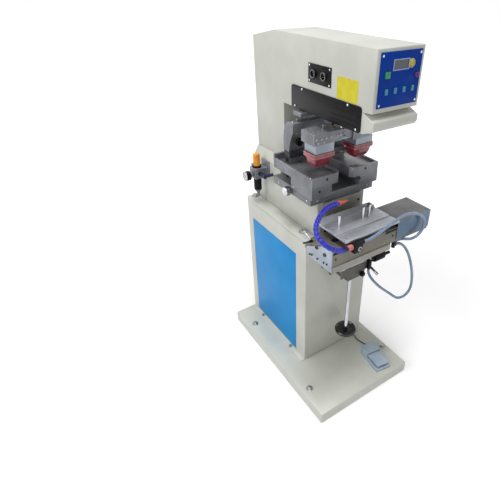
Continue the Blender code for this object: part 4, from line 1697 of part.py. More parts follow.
def make_regulator():
    """The air regulator with its cap, gauge, bowl and ports, on the casting's left."""
    x, y = REGULATOR_X, REGULATOR_Y
    wall = -CASTING_HALF - GAP
    body = block("regulator_body", (x - REGULATOR_HALF_WIDTH, x + REGULATOR_HALF_WIDTH),
                 (y - REGULATOR_HALF_DEPTH, y + REGULATOR_HALF_DEPTH),
                 (REGULATOR_LOW, REGULATOR_HIGH), "aluminium")
    fuse(body, block("bracket_foot", (x + REGULATOR_HALF_WIDTH - OVERRUN, wall),
                     (y - REGULATOR_HALF_DEPTH, y + REGULATOR_HALF_DEPTH),
                     (REGULATOR_LOW + OVERRUN, REGULATOR_HIGH - OVERRUN)))
    fuse(body, block("bracket", (wall - BRACKET_THICKNESS, wall), (BRACKET_FRONT, BRACKET_REAR),
                     (REGULATOR_LOW + OVERRUN, CASTING_SHOULDER - OVERRUN)))
    port_z = (REGULATOR_LOW + REGULATOR_HIGH) / 2
    inlet = y + REGULATOR_HALF_DEPTH + PORT_LENGTH
    fuse(body, rod("inlet", (x, y, port_z), (x, inlet, port_z), PORT_RADIUS))
    fuse(body, rod("inlet_elbow", (x, inlet - PORT_RADIUS, port_z),
                   (x, inlet - PORT_RADIUS, port_z + INLET_RISE), PORT_RADIUS * 0.95))
    outlet = y - REGULATOR_HALF_DEPTH - OUTLET_REACH
    fuse(body, rod("outlet", (x, y, port_z), (x, outlet, port_z), PORT_RADIUS))
    fuse(body, rod("outlet_elbow", (x, outlet + OUTLET_RADIUS, port_z),
                   (wall, outlet + OUTLET_RADIUS, port_z), OUTLET_RADIUS))
    ring_low = REGULATOR_HIGH + GAP
    ring_high = ring_low + CAP_RING_HEIGHT
    cap_top = ring_high + CAP_HEIGHT
    edge = CAP_RADIUS / 4
    cap = turned("regulator_cap", [(0.0, cap_top), (CAP_RADIUS - edge, cap_top),
                                   (CAP_RADIUS, cap_top - edge), (CAP_RADIUS, ring_high),
                                   (CAP_RING_RADIUS, ring_high), (CAP_RING_RADIUS, ring_low),
                                   (0.0, ring_low)], (x, y, 0.0), (0.0, 0.0, 1.0),
                 "yellow_plastic")
    carry("regulator_cap_turn", (x, y, ring_low), [cap])
    face = x - REGULATOR_HALF_WIDTH - GAP
    case = face - GAUGE_NECK
    gauge = rod("regulator_gauge", (case, y, GAUGE_Z), (case - GAUGE_DEPTH, y, GAUGE_Z),
                GAUGE_RADIUS, "black_plastic", ROUND_SIDES)
    fuse(gauge, rod("gauge_neck", (face, y, GAUGE_Z), (case - OVERRUN, y, GAUGE_Z),
                    GAUGE_NECK_RADIUS))
    bowl_top = REGULATOR_LOW - GAP
    bowl_low = bowl_top - BOWL_HEIGHT
    tip_low = bowl_low - BOWL_TIP
    turned("regulator_bowl", [(0.0, bowl_top), (BOWL_RADIUS, bowl_top), (BOWL_RADIUS, bowl_low),
                              (BOWL_TIP_RADIUS, (bowl_low + tip_low) / 2),
                              (BOWL_TIP_RADIUS, tip_low), (0.0, tip_low)], (x, y, 0.0),
           (0.0, 0.0, 1.0), "black_plastic")


def pedal_place(item):
    """Turn and move a piece drawn in the pedal's own frame to where the pedal stands."""
    turn = Matrix.Rotation(PEDAL_TURN, 4, "Z")
    move = Matrix.Translation((PEDAL_X, PEDAL_Y, PEDAL_BOTTOM))
    bpy.context.view_layer.update()
    item.matrix_world = move @ turn @ item.matrix_world
    return item


def make_pedal():
    """The foot switch: a base with a rear hood, and a treadle on a cross pin."""
    half_w, half_l = PEDAL_WIDTH / 2, PEDAL_LENGTH / 2
    base = pedal_place(block("pedal_base", both_sides(half_w), both_sides(half_l),
                             (0.0, PEDAL_BASE), "grey_plastic", PEDAL_CHEEK / 3))
    hood_front = half_l - PEDAL_HOOD_LENGTH
    hood = pedal_place(block("hood", both_sides(half_w), (hood_front, half_l),
                             (PEDAL_BASE - OVERRUN, PEDAL_HOOD_HEIGHT), edge=PEDAL_CHEEK / 2))
    pin_y = half_l - PEDAL_PIN_INSET
    fuse(base, hood)
    cut(base, pedal_place(block("hood_inside", both_sides(half_w - PEDAL_CHEEK),
                                (hood_front - OVERRUN, half_l - PEDAL_CHEEK),
                                (PEDAL_BASE, PEDAL_HOOD_HEIGHT - PEDAL_HOOD_ROOF))))
    fuse(base, pedal_place(rod("pedal_pin", (-half_w + PEDAL_CHEEK / 2, pin_y, PEDAL_PIN_HEIGHT),
                               (half_w - PEDAL_CHEEK / 2, pin_y, PEDAL_PIN_HEIGHT),
                               PEDAL_PIN_RADIUS)))
    side = half_w - PEDAL_CHEEK - TREADLE_SIDE_GAP
    low = PEDAL_PIN_HEIGHT - TREADLE_HEEL
    nose_y = -half_l + PEDAL_CHEEK
    heel_y = pin_y + TREADLE_HEEL
    toe_y = pin_y - TREADLE_HEEL
    profile = [(nose_y, TREADLE_NOSE), (toe_y, low), (heel_y, low),
               (heel_y, low + 2 * TREADLE_HEEL), (toe_y, low + 2 * TREADLE_HEEL),
               (nose_y, TREADLE_NOSE + TREADLE_THICKNESS)]
    treadle = pedal_place(outline("pedal_treadle", profile, "X", both_sides(side),
                                  "grey_plastic"))
    cut(treadle, pedal_place(rod("treadle_bore", (-half_w, pin_y, PEDAL_PIN_HEIGHT),
                                 (half_w, pin_y, PEDAL_PIN_HEIGHT),
                                 PEDAL_PIN_RADIUS + RUNNING_GAP)))
    pin = Matrix.Rotation(PEDAL_TURN, 3, "Z") @ Vector((0.0, pin_y, PEDAL_PIN_HEIGHT))
    carry("pedal_press", pin + Vector((PEDAL_X, PEDAL_Y, PEDAL_BOTTOM)), [treadle])
    tube("pedal_cable", smooth_route(CABLE_ROUTE, CABLE_RADIUS * 4), CABLE_RADIUS,
         "black_plastic", 2)


def main():
    """Build the machine, sub-assembly by sub-assembly."""
    make_base()
    make_cabinet()
    make_casting()
    make_head()
    make_panel()
    make_stroke_guide()
    stroke = make_carriage()
    make_pad_arms(stroke)
    make_blades(stroke)
    make_trays()
    make_table_guide()
    knee = make_knee()
    make_lift_screw(knee)
    make_knee_clamps(knee)
    slide = make_cross_slide(knee)
    bed = make_shuttle_bed()
    air = make_air_parts()
    for piece in bed + air:
        piece.parent = slide
        piece.matrix_parent_inverse = slide.matrix_world.inverted()
    make_shuttle_plate(slide)
    make_regulator()
    make_pedal()


main()
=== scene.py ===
"""The looks of a two-colour pad printing machine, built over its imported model.

Metres, +Z up. The operator stands at -Y, and the operator's right is +X. Each
sub-assembly is a class that dresses its own pieces, and main() builds them in
order. The finishes are procedural and read Object coordinates.
"""
import logging
import math
from dataclasses import dataclass
from enum import Enum
from typing import Sequence

import bmesh
import bpy
from mathutils import Matrix, Vector


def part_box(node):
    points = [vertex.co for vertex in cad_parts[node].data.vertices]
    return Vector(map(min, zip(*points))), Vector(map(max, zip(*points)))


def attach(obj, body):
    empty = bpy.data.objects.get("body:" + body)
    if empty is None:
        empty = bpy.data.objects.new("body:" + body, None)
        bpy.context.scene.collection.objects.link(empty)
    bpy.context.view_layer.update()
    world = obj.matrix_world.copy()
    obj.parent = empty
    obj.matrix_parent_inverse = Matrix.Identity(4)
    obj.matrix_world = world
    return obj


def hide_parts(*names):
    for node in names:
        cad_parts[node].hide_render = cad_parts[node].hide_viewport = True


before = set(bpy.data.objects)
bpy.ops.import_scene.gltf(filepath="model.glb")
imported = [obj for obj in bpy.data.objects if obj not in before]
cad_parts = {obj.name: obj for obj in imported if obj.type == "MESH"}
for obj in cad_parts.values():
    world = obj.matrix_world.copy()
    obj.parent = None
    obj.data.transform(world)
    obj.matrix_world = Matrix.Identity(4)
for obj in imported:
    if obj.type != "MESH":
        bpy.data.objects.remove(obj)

LOG = logging.getLogger("pad_printing_machine")
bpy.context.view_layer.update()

# A point, a direction or a linear colour, and a colour in display steps.
Triple = tuple[float, float, float]
Steps = tuple[int, int, int]
# A range, or a place in a plane. Pairs make an outline, or say where screws go.
Pair = tuple[float, float]
Profile = Sequence[Pair]
Places = Sequence[Pair]

ORIGIN: Triple = (0.0, 0.0, 0.0)
RIGHT: Triple = (1.0, 0.0, 0.0)
LEFT: Triple = (-1.0, 0.0, 0.0)
BACK: Triple = (0.0, 1.0, 0.0)
FRONT: Triple = (0.0, -1.0, 0.0)
UP: Triple = (0.0, 0.0, 1.0)
WHITE = (1.0, 1.0, 1.0, 1.0)

# Corners that are closer than this are one corner.
MERGE = 0.00001
# How far an added shape sinks into the one that carries it.
HAIR = 0.00005
# A distance past everything on the machine.
FAR = 9.0
# How squarely a face has to look along a direction to count as facing it.
SQUARELY = 0.6
# Faces that meet at less than this many degrees are one flat face.
FLAT_ANGLE = 0.6
# Edges where faces meet at more than this many degrees are rounded, in this many steps.
SHARP_ANGLE = 30.0
ROUND_STEPS = 2
# The steps of a cord's curve between two points of its route.
CURVE_STEPS = 16


def tone(red: int, green: int, blue: int) -> Triple:
    """The linear value of a colour given in 0 to 255 display steps.

    Args:
        red: Red step.
        green: Green step.
        blue: Blue step.

    Returns:
        The three linear channels.
    """
    shares = (step / 255 for step in (red, green, blue))
    linear = [s / 12.92 if s <= 0.04045 else ((s + 0.055) / 1.055) ** 2.4 for s in shares]
    return (linear[0], linear[1], linear[2])


# Finishes


@dataclass(frozen=True)
class Recipe:
    """How one finish looks: its tones in display steps, gloss, relief, an edge line that is partly
    rubbed finish and partly a painted highlight, and dust.
    """

    slot: str
    main: Steps
    second: Steps
    gloss: Pair = (0.32, 0.46)
    metal: float = 0.0
    patches: float = 7.0
    grain: float = 900.0
    stretch: Triple = (1.0, 1.0, 1.0)
    grain_tint: float = 0.1
    relief: float = 0.1
    # The edge line's tone, strength and width: partly rubbed finish, partly a painted highlight.
    wear_and_highlight_tone: Steps = (188, 188, 188)
    wear_and_highlight: float = 0.0
    wear_and_highlight_width: float = 0.001
    dust: float = 0.0
    coat: float = 0.0
    clear: float = 0.0
    flesh: float = 0.0
    shine: float = 0.5


# What small moulded parts share: an even tone and a fine grain.
MOULDED = {"patches": 60.0, "grain": 1200.0, "relief": 0.08}


class Finish(Enum):
    """Each finish on the machine, with its recipe."""

    CREAM = Recipe("cream_paint", (213, 215, 206), (203, 205, 195), (0.3, 0.44), grain=620.0,
                   grain_tint=0.05, relief=0.2, wear_and_highlight_tone=(238, 239, 232), wear_and_highlight=0.7, wear_and_highlight_width=0.0022,
                   dust=0.12)
    BLUE_DOOR = Recipe("blue_paint", (0, 150, 220), (0, 138, 210), (0.36, 0.48), grain=700.0,
                       grain_tint=0.05, relief=0.18, wear_and_highlight_tone=(120, 190, 230), wear_and_highlight=0.5, dust=0.05,
                       shine=0.22)
    PANEL_BLUE = Recipe("panel_blue", (0, 66, 170), (0, 54, 152), (0.46, 0.6), grain=1500.0,
                        grain_tint=0.12, relief=0.12, wear_and_highlight_tone=(60, 100, 180), wear_and_highlight=0.3, shine=0.12)
    BLACK = Recipe("black_plastic", (20, 20, 23), (12, 12, 14), (0.24, 0.4), grain=1200.0,
                   relief=0.12, wear_and_highlight_tone=(84, 84, 90), wear_and_highlight=0.5, dust=0.02, shine=0.12)
    LACQUER = Recipe("black_plastic", (18, 18, 21), (12, 12, 14), (0.12, 0.24), relief=0.06,
                     wear_and_highlight_tone=(120, 120, 126), wear_and_highlight=0.5, shine=0.4, coat=0.4)
    BLACKENED = Recipe("dark_steel", (66, 66, 72), (48, 48, 54), (0.38, 0.55), 0.6,
                       stretch=(1.0, 5.0, 1.0), grain_tint=0.3, relief=0.2, wear_and_highlight_tone=(150, 150, 154),
                       wear_and_highlight=0.9, dust=0.1)
    # Its bright edge line is partly rubbed steel and partly a painted highlight.
    TRAY_STEEL = Recipe("steel", (142, 144, 149), (116, 118, 123), (0.34, 0.54), 0.35, patches=14.0,
                        grain=520.0, stretch=(1.0, 7.0, 1.0), grain_tint=0.34, relief=0.25,
                        wear_and_highlight_tone=(214, 216, 220), wear_and_highlight=1.0, wear_and_highlight_width=0.002, dust=0.05)
    WELL_STEEL = Recipe("steel", (108, 106, 108), (80, 78, 82), (0.25, 0.55), 0.35, patches=22.0,
                        grain=380.0, stretch=(1.0, 9.0, 1.0), grain_tint=0.5, relief=0.2,
                        wear_and_highlight_tone=(150, 150, 150), wear_and_highlight=0.5)
    GROUND = Recipe("chrome", (154, 154, 157), (124, 124, 128), (0.22, 0.38), 0.45, patches=16.0,
                    grain=640.0, stretch=(1.0, 14.0, 1.0), grain_tint=0.36, wear_and_highlight_tone=(205, 205, 210),
                    wear_and_highlight=0.5)
    WARM_STEEL = Recipe("steel", (134, 130, 122), (110, 106, 98), (0.36, 0.55), 0.45, patches=9.0,
                        grain=480.0, stretch=(6.0, 1.0, 0.6), grain_tint=0.22, relief=0.2,
                        wear_and_highlight_tone=(212, 211, 206), wear_and_highlight=0.9, wear_and_highlight_width=0.0018, dust=0.08)
    SUPPORT_STEEL = Recipe("steel", (132, 136, 138), (110, 113, 116), (0.36, 0.54), 0.4,
                           patches=9.0, grain=480.0, stretch=(6.0, 1.0, 0.6), grain_tint=0.22,
                           relief=0.2, wear_and_highlight_tone=(216, 219, 221), wear_and_highlight=1.0, wear_and_highlight_width=0.0022, dust=0.05)
    # The knee's own steel, darkened partly as painted shade from the table above.
    SHADED_KNEE_STEEL = Recipe("steel", (98, 95, 90), (78, 75, 70), (0.4, 0.58), 0.4, patches=11.0,
                        grain=420.0, grain_tint=0.3, relief=0.3, wear_and_highlight_tone=(176, 174, 168), wear_and_highlight=0.8,
                        wear_and_highlight_width=0.0016, dust=0.08)
    PLATE_STEEL = Recipe("steel", (168, 165, 157), (142, 140, 133), (0.36, 0.54), 0.35, patches=8.0,
                         grain=500.0, stretch=(5.0, 1.0, 1.0), grain_tint=0.25, relief=0.2,
                         wear_and_highlight_tone=(215, 214, 210), wear_and_highlight=0.8, dust=0.2)
    BLUE_STEEL = Recipe("steel", (100, 124, 146), (78, 100, 122), (0.3, 0.46), 0.45, patches=10.0,
                        grain=620.0, stretch=(6.0, 1.0, 1.0), grain_tint=0.2, relief=0.18,
                        wear_and_highlight_tone=(196, 208, 218), wear_and_highlight=0.9, wear_and_highlight_width=0.0016)
    HOOD_STEEL = Recipe("steel", (104, 104, 106), (84, 84, 88), (0.34, 0.55), 0.5, patches=10.0,
                        grain=620.0, stretch=(1.0, 6.0, 1.0), grain_tint=0.3, relief=0.2,
                        wear_and_highlight_tone=(196, 198, 202), wear_and_highlight=0.85, dust=0.15)
    # Its bright edge line is partly rubbed metal and partly a painted highlight.
    ALUMINIUM = Recipe("aluminium", (192, 197, 202), (164, 169, 176), (0.3, 0.48), 0.45,
                       patches=9.0, grain=560.0, stretch=(1.0, 8.0, 1.0), grain_tint=0.28,
                       relief=0.18, wear_and_highlight_tone=(240, 242, 245), wear_and_highlight=1.0, wear_and_highlight_width=0.0018, dust=0.04)
    # Its bright edge line is partly rubbed metal and partly a painted highlight.
    CAST = Recipe("aluminium", (148, 151, 156), (118, 121, 127), (0.4, 0.58), 0.4, patches=12.0,
                  grain=330.0, grain_tint=0.3, relief=0.3, wear_and_highlight_tone=(226, 229, 232), wear_and_highlight=1.0,
                  wear_and_highlight_width=0.0022, dust=0.03)
    PALE_PLATE = Recipe("aluminium", (186, 196, 208), (160, 170, 182), (0.3, 0.46), 0.35,
                        patches=11.0, grain=520.0, stretch=(1.0, 6.0, 1.0), grain_tint=0.22,
                        relief=0.18, wear_and_highlight_tone=(232, 236, 240), wear_and_highlight=0.8, dust=0.1)
    CHROME = Recipe("chrome", (214, 214, 218), (190, 190, 196), (0.1, 0.22), 1.0, patches=20.0,
                    grain=800.0, relief=0.04)
    ZINC = Recipe("steel", (178, 180, 178), (146, 148, 146), (0.26, 0.42), 0.9, patches=60.0,
                  grain_tint=0.25, relief=0.12, wear_and_highlight_tone=(220, 220, 220), wear_and_highlight=0.5)
    BRASS = Recipe("orange_plastic", (190, 158, 92), (160, 128, 70), (0.22, 0.4), 1.0, patches=60.0,
                   grain_tint=0.2, relief=0.08)
    # The pale pink tone along the pad's edges is a painted highlight.
    SILICONE = Recipe("red_silicone", (178, 58, 76), (132, 34, 50), (0.2, 0.38), patches=26.0,
                      grain=420.0, grain_tint=0.14, relief=0.12, wear_and_highlight_tone=(244, 196, 198), wear_and_highlight=1.0,
                      wear_and_highlight_width=0.0045, coat=0.45, flesh=0.2)
    # The pale edge tone here is a painted glint on the balls.
    HOSE_BLUE = Recipe("blue_hose", (34, 48, 206), (22, 32, 172), (0.22, 0.36), patches=60.0,
                       grain=800.0, relief=0.12, wear_and_highlight_tone=(96, 116, 232), wear_and_highlight=0.6, wear_and_highlight_width=0.0012)
    # A dark blue that is painted shade in the creases between the hose's balls.
    HOSE_CREASE_SHADE = Recipe("blue_hose", (10, 16, 96), (6, 10, 70), (0.4, 0.6), patches=60.0,
                        grain=800.0, relief=0.12)
    ORANGE = Recipe("orange_plastic", (236, 112, 84), (220, 92, 66), (0.3, 0.46), patches=50.0,
                    grain=800.0, relief=0.12, wear_and_highlight_tone=(248, 176, 156), wear_and_highlight=0.6)
    ROSE = Recipe("orange_plastic", (222, 138, 134), (200, 112, 108), (0.34, 0.5), patches=50.0,
                  grain=800.0, relief=0.12, wear_and_highlight_tone=(240, 190, 184), wear_and_highlight=0.5)
    TUBE = Recipe("clear_tube", (156, 176, 206), (132, 156, 192), (0.12, 0.24), patches=30.0,
                  grain=700.0, grain_tint=0.08, relief=0.05, clear=0.15, flesh=0.2)
    AMBER = Recipe("yellow_plastic", (244, 164, 28), (230, 140, 14), (0.26, 0.4), patches=40.0,
                   grain_tint=0.08, wear_and_highlight_tone=(252, 206, 110), wear_and_highlight=0.5, flesh=0.15)
    YELLOW = Recipe("yellow_plastic", (206, 186, 40), (186, 164, 28), (0.26, 0.4),
                    wear_and_highlight_tone=(232, 222, 140), wear_and_highlight=0.5, **MOULDED)
    BEZEL = Recipe("yellow_plastic", (198, 204, 168), (182, 188, 150), (0.3, 0.44), **MOULDED)
    CARD = Recipe("yellow_plastic", (226, 216, 30), (214, 202, 22), (0.42, 0.58), patches=30.0,
                  grain=1600.0, grain_tint=0.06, relief=0.08, wear_and_highlight_tone=(240, 236, 150), wear_and_highlight=0.4)
    GREEN = Recipe("green_plastic", (44, 158, 108), (32, 140, 92), (0.26, 0.4),
                   wear_and_highlight_tone=(110, 200, 160), wear_and_highlight=0.5, **MOULDED)
    RED = Recipe("red_plastic", (150, 44, 84), (128, 34, 70), (0.26, 0.4), wear_and_highlight_tone=(200, 110, 140),
                 wear_and_highlight=0.4, **MOULDED)
    TEAL = Recipe("teal_plastic", (66, 152, 176), (50, 134, 160), (0.28, 0.42),
                  wear_and_highlight_tone=(140, 205, 220), wear_and_highlight=0.5, **MOULDED)
    CYAN = Recipe("teal_plastic", (30, 128, 168), (18, 96, 136), (0.24, 0.38), patches=60.0,
                  wear_and_highlight_tone=(130, 205, 225), wear_and_highlight=0.6)
    NAVY = Recipe("black_plastic", (34, 42, 92), (22, 28, 68), (0.28, 0.42), patches=60.0,
                  wear_and_highlight_tone=(90, 100, 160), wear_and_highlight=0.5)
    PEDAL = Recipe("grey_plastic", (178, 196, 214), (160, 180, 200), (0.36, 0.52), patches=18.0,
                   grain=520.0, grain_tint=0.12, relief=0.25, wear_and_highlight_tone=(206, 216, 226), wear_and_highlight=0.7,
                   dust=0.25)
    LAMP_GLASS = Recipe("black_plastic", (34, 30, 40), (26, 22, 30), (0.08, 0.16), patches=40.0,
                        grain_tint=0.02, relief=0.02, coat=0.6)
    PALE_FRAME = Recipe("grey_plastic", (150, 176, 226), (132, 160, 212), (0.28, 0.4), patches=50.0,
                        grain=1200.0, relief=0.06)
    DIAL = Recipe("chrome", (226, 228, 230), (214, 216, 220), (0.3, 0.42), patches=50.0,
                  grain=1600.0, grain_tint=0.04, relief=0.04)
    RUBBER = Recipe("black_plastic", (44, 44, 46), (30, 30, 32), (0.5, 0.7), patches=30.0,
                    grain=600.0, grain_tint=0.2, relief=0.35, dust=0.3)


Socket = bpy.types.NodeSocket


def ramp(tree: bpy.types.NodeTree, value: Socket, reach: Pair, result: Pair) -> Socket:
    """Map a value from one range to another, held at both ends.

    Args:
        tree: The tree that gets the node.
        value: The socket with the value.
        reach: The value's range.
        result: The range that comes out.

    Returns:
        The socket of the result.
    """
    node = tree.nodes.new("ShaderNodeMapRange")
    for label, number in zip(("From Min", "From Max", "To Min", "To Max"), (*reach, *result)):
        node.inputs[label].default_value = number
    tree.links.new(value, node.inputs["Value"])
    return node.outputs["Result"]


def maths(tree: bpy.types.NodeTree, operation: str, first: Socket | float,
          second: Socket | float, clamp: bool = False) -> Socket:
    """Work out one sum on two values or sockets.

    Args:
        tree: The tree that gets the node.
        operation: The kind of sum.
        first: The first value.
        second: The second value.
        clamp: Whether the result is held between nought and one.

    Returns:
        The socket of the result.
    """
    node = tree.nodes.new("ShaderNodeMath")
    node.operation = operation
    node.use_clamp = clamp
    for socket, value in zip(node.inputs, (first, second)):
        if isinstance(value, (int, float)):
            socket.default_value = value
        else:
            tree.links.new(value, socket)
    return node.outputs[0]


def blend(tree: bpy.types.NodeTree, mask: Socket, first: Socket | Triple, second: Triple
          ) -> Socket:
    """Mix a second colour over a first, where the mask is high.

    Args:
        tree: The tree that gets the node.
        mask: Where the second colour shows.
        first: The colour below, or the socket that carries it.
        second: The colour above.

    Returns:
        The socket of the mixed colour.
    """
    mix = tree.nodes.new("ShaderNodeMix")
    mix.data_type = "RGBA"
    low, high = mix.inputs[6], mix.inputs[7]
    if isinstance(first, tuple):
        low.default_value = (*first, 1.0)
    else:
        tree.links.new(first, low)
    high.default_value = (*second, 1.0)
    tree.links.new(mask, mix.inputs[0])
    return mix.outputs[2]


class Effects:
    """The shader node groups that the finishes share, each built once."""

    patch_reach: Pair = (0.35, 0.65)
    grain_floor: float = 0.3
    grain_gain: float = 2.4
    wear_and_highlight_gain: float = 9.0
    wear_and_highlight_gaps: float = 0.15
    dust_fade: float = 3.0

    def __init__(self) -> None:
        """Build the four groups."""
        self.patches = self._patches()
        self.grain = self._grain()
        self.wear_and_highlight = self._wear_and_highlight()
        self.dust = self._dust()

    @staticmethod
    def _group(name: str, inputs: dict[str, float | Triple], outputs: Sequence[str]
               ) -> bpy.types.ShaderNodeTree:
        """A shader group with its sockets and its two end nodes.

        Args:
            name: The group's name.
            inputs: Each input's name and first value, a number or a vector.
            outputs: The outputs' names.

        Returns:
            The empty group.
        """
        tree = bpy.data.node_groups.new(name, "ShaderNodeTree")
        for label, value in inputs.items():
            kind = "NodeSocketVector" if isinstance(value, tuple) else "NodeSocketFloat"
            made = tree.interface.new_socket(name=label, in_out="INPUT", socket_type=kind)
            made.default_value = value
        for label in outputs:
            tree.interface.new_socket(name=label, in_out="OUTPUT", socket_type="NodeSocketFloat")
        tree.nodes.new("NodeGroupInput")
        tree.nodes.new("NodeGroupOutput")
        return tree

    @staticmethod
    def _ends(tree: bpy.types.ShaderNodeTree) -> tuple[bpy.types.Node, bpy.types.Node]:
        """The group's input node and output node."""
        return tree.nodes["Group Input"], tree.nodes["Group Output"]

    @staticmethod
    def _noise(tree: bpy.types.ShaderNodeTree, detail: float, scale: Socket,
               stretch: Socket | None = None) -> Socket:
        """Noise on the Object coordinates, drawn out by the stretch where one is given.

        Args:
            tree: The group that gets the nodes.
            detail: The noise's detail.
            scale: The socket with its scale.
            stretch: The socket with how far each axis is drawn out.

        Returns:
            The socket of the noise.
        """
        place = tree.nodes.new("ShaderNodeTexCoord").outputs["Object"]
        if stretch:
            drawn = tree.nodes.new("ShaderNodeVectorMath")
            drawn.operation = "DIVIDE"
            tree.links.new(place, drawn.inputs[0])
            tree.links.new(stretch, drawn.inputs[1])
            place = drawn.outputs[0]
        noise = tree.nodes.new("ShaderNodeTexNoise")
        noise.inputs["Detail"].default_value = detail
        tree.links.new(place, noise.inputs["Vector"])
        tree.links.new(scale, noise.inputs["Scale"])
        return noise.outputs["Fac"]

    @staticmethod
    def _held(tree: bpy.types.ShaderNodeTree, operation: str, first: Socket | float,
              second: Socket | float) -> Socket:
        """One sum, held between nought and one."""
        return maths(tree, operation, first, second, clamp=True)

    def _patches(self) -> bpy.types.ShaderNodeTree:
        """Slow changes of tone across a surface.

        Returns:
            The group.
        """
        tree = self._group("slow_patches", {"Scale": 7.0}, ("Mask",))
        start, end = self._ends(tree)
        noise = self._noise(tree, 4.0, start.outputs["Scale"])
        tree.links.new(ramp(tree, noise, self.patch_reach, (0.0, 1.0)), end.inputs["Mask"])
        return tree

    def _grain(self) -> bpy.types.ShaderNodeTree:
        """Fine grain, drawn out into streaks where Stretch isn't even.

        Returns:
            The group.
        """
        inputs = {"Scale": 900.0, "Stretch": (1.0, 1.0, 1.0)}
        tree = self._group("fine_grain", inputs, ("Mask", "Height"))
        start, end = self._ends(tree)
        noise = self._noise(tree, 3.0, start.outputs["Scale"], start.outputs["Stretch"])
        sharper = self._held(tree, "SUBTRACT", noise, self.grain_floor)
        stronger = self._held(tree, "MULTIPLY", sharper, self.grain_gain)
        tree.links.new(stronger, end.inputs["Mask"])
        tree.links.new(noise, end.inputs["Height"])
        return tree

    def _wear_and_highlight(self) -> bpy.types.ShaderNodeTree:
        """A broken line along the outer edges: partly where handling rubs the finish, partly a
        painted highlight on the edges.

        Returns:
            The group.
        """
        inputs = {"Width": 0.001, "Amount": 0.5, "Scale": 90.0}
        tree = self._group("edge_wear_and_highlight", inputs, ("Mask",))
        start, end = self._ends(tree)
        rounded = tree.nodes.new("ShaderNodeBevel")
        rounded.samples = 4
        tree.links.new(start.outputs["Width"], rounded.inputs["Radius"])
        geometry = tree.nodes.new("ShaderNodeNewGeometry")
        dot = tree.nodes.new("ShaderNodeVectorMath")
        dot.operation = "DOT_PRODUCT"
        tree.links.new(rounded.outputs["Normal"], dot.inputs[0])
        tree.links.new(geometry.outputs["Normal"], dot.inputs[1])
        turned = self._held(tree, "SUBTRACT", 1.0, dot.outputs["Value"])
        stronger = self._held(tree, "MULTIPLY", turned, self.wear_and_highlight_gain)
        noise = self._noise(tree, 5.0, start.outputs["Scale"])
        broken = self._held(tree, "ADD", noise, self.wear_and_highlight_gaps)
        line = self._held(tree, "MULTIPLY", stronger, broken)
        scaled = self._held(tree, "MULTIPLY", line, start.outputs["Amount"])
        tree.links.new(scaled, end.inputs["Mask"])
        return tree

    def _dust(self) -> bpy.types.ShaderNodeTree:
        """Fine dust that lies on what faces up.

        Returns:
            The group.
        """
        tree = self._group("settled_dust", {"Amount": 0.2, "Scale": 30.0}, ("Mask",))
        start, end = self._ends(tree)
        geometry = tree.nodes.new("ShaderNodeNewGeometry")
        parts = tree.nodes.new("ShaderNodeSeparateXYZ")
        tree.links.new(geometry.outputs["Normal"], parts.inputs[0])
        # Times one, so that the clamp drops what faces down
        upward = self._held(tree, "MULTIPLY", parts.outputs[2], 1.0)
        level = self._held(tree, "POWER", upward, self.dust_fade)
        noise = self._noise(tree, 6.0, start.outputs["Scale"])
        lying = self._held(tree, "MULTIPLY", level, noise)
        scaled = self._held(tree, "MULTIPLY", lying, start.outputs["Amount"])
        tree.links.new(scaled, end.inputs["Mask"])
        return tree


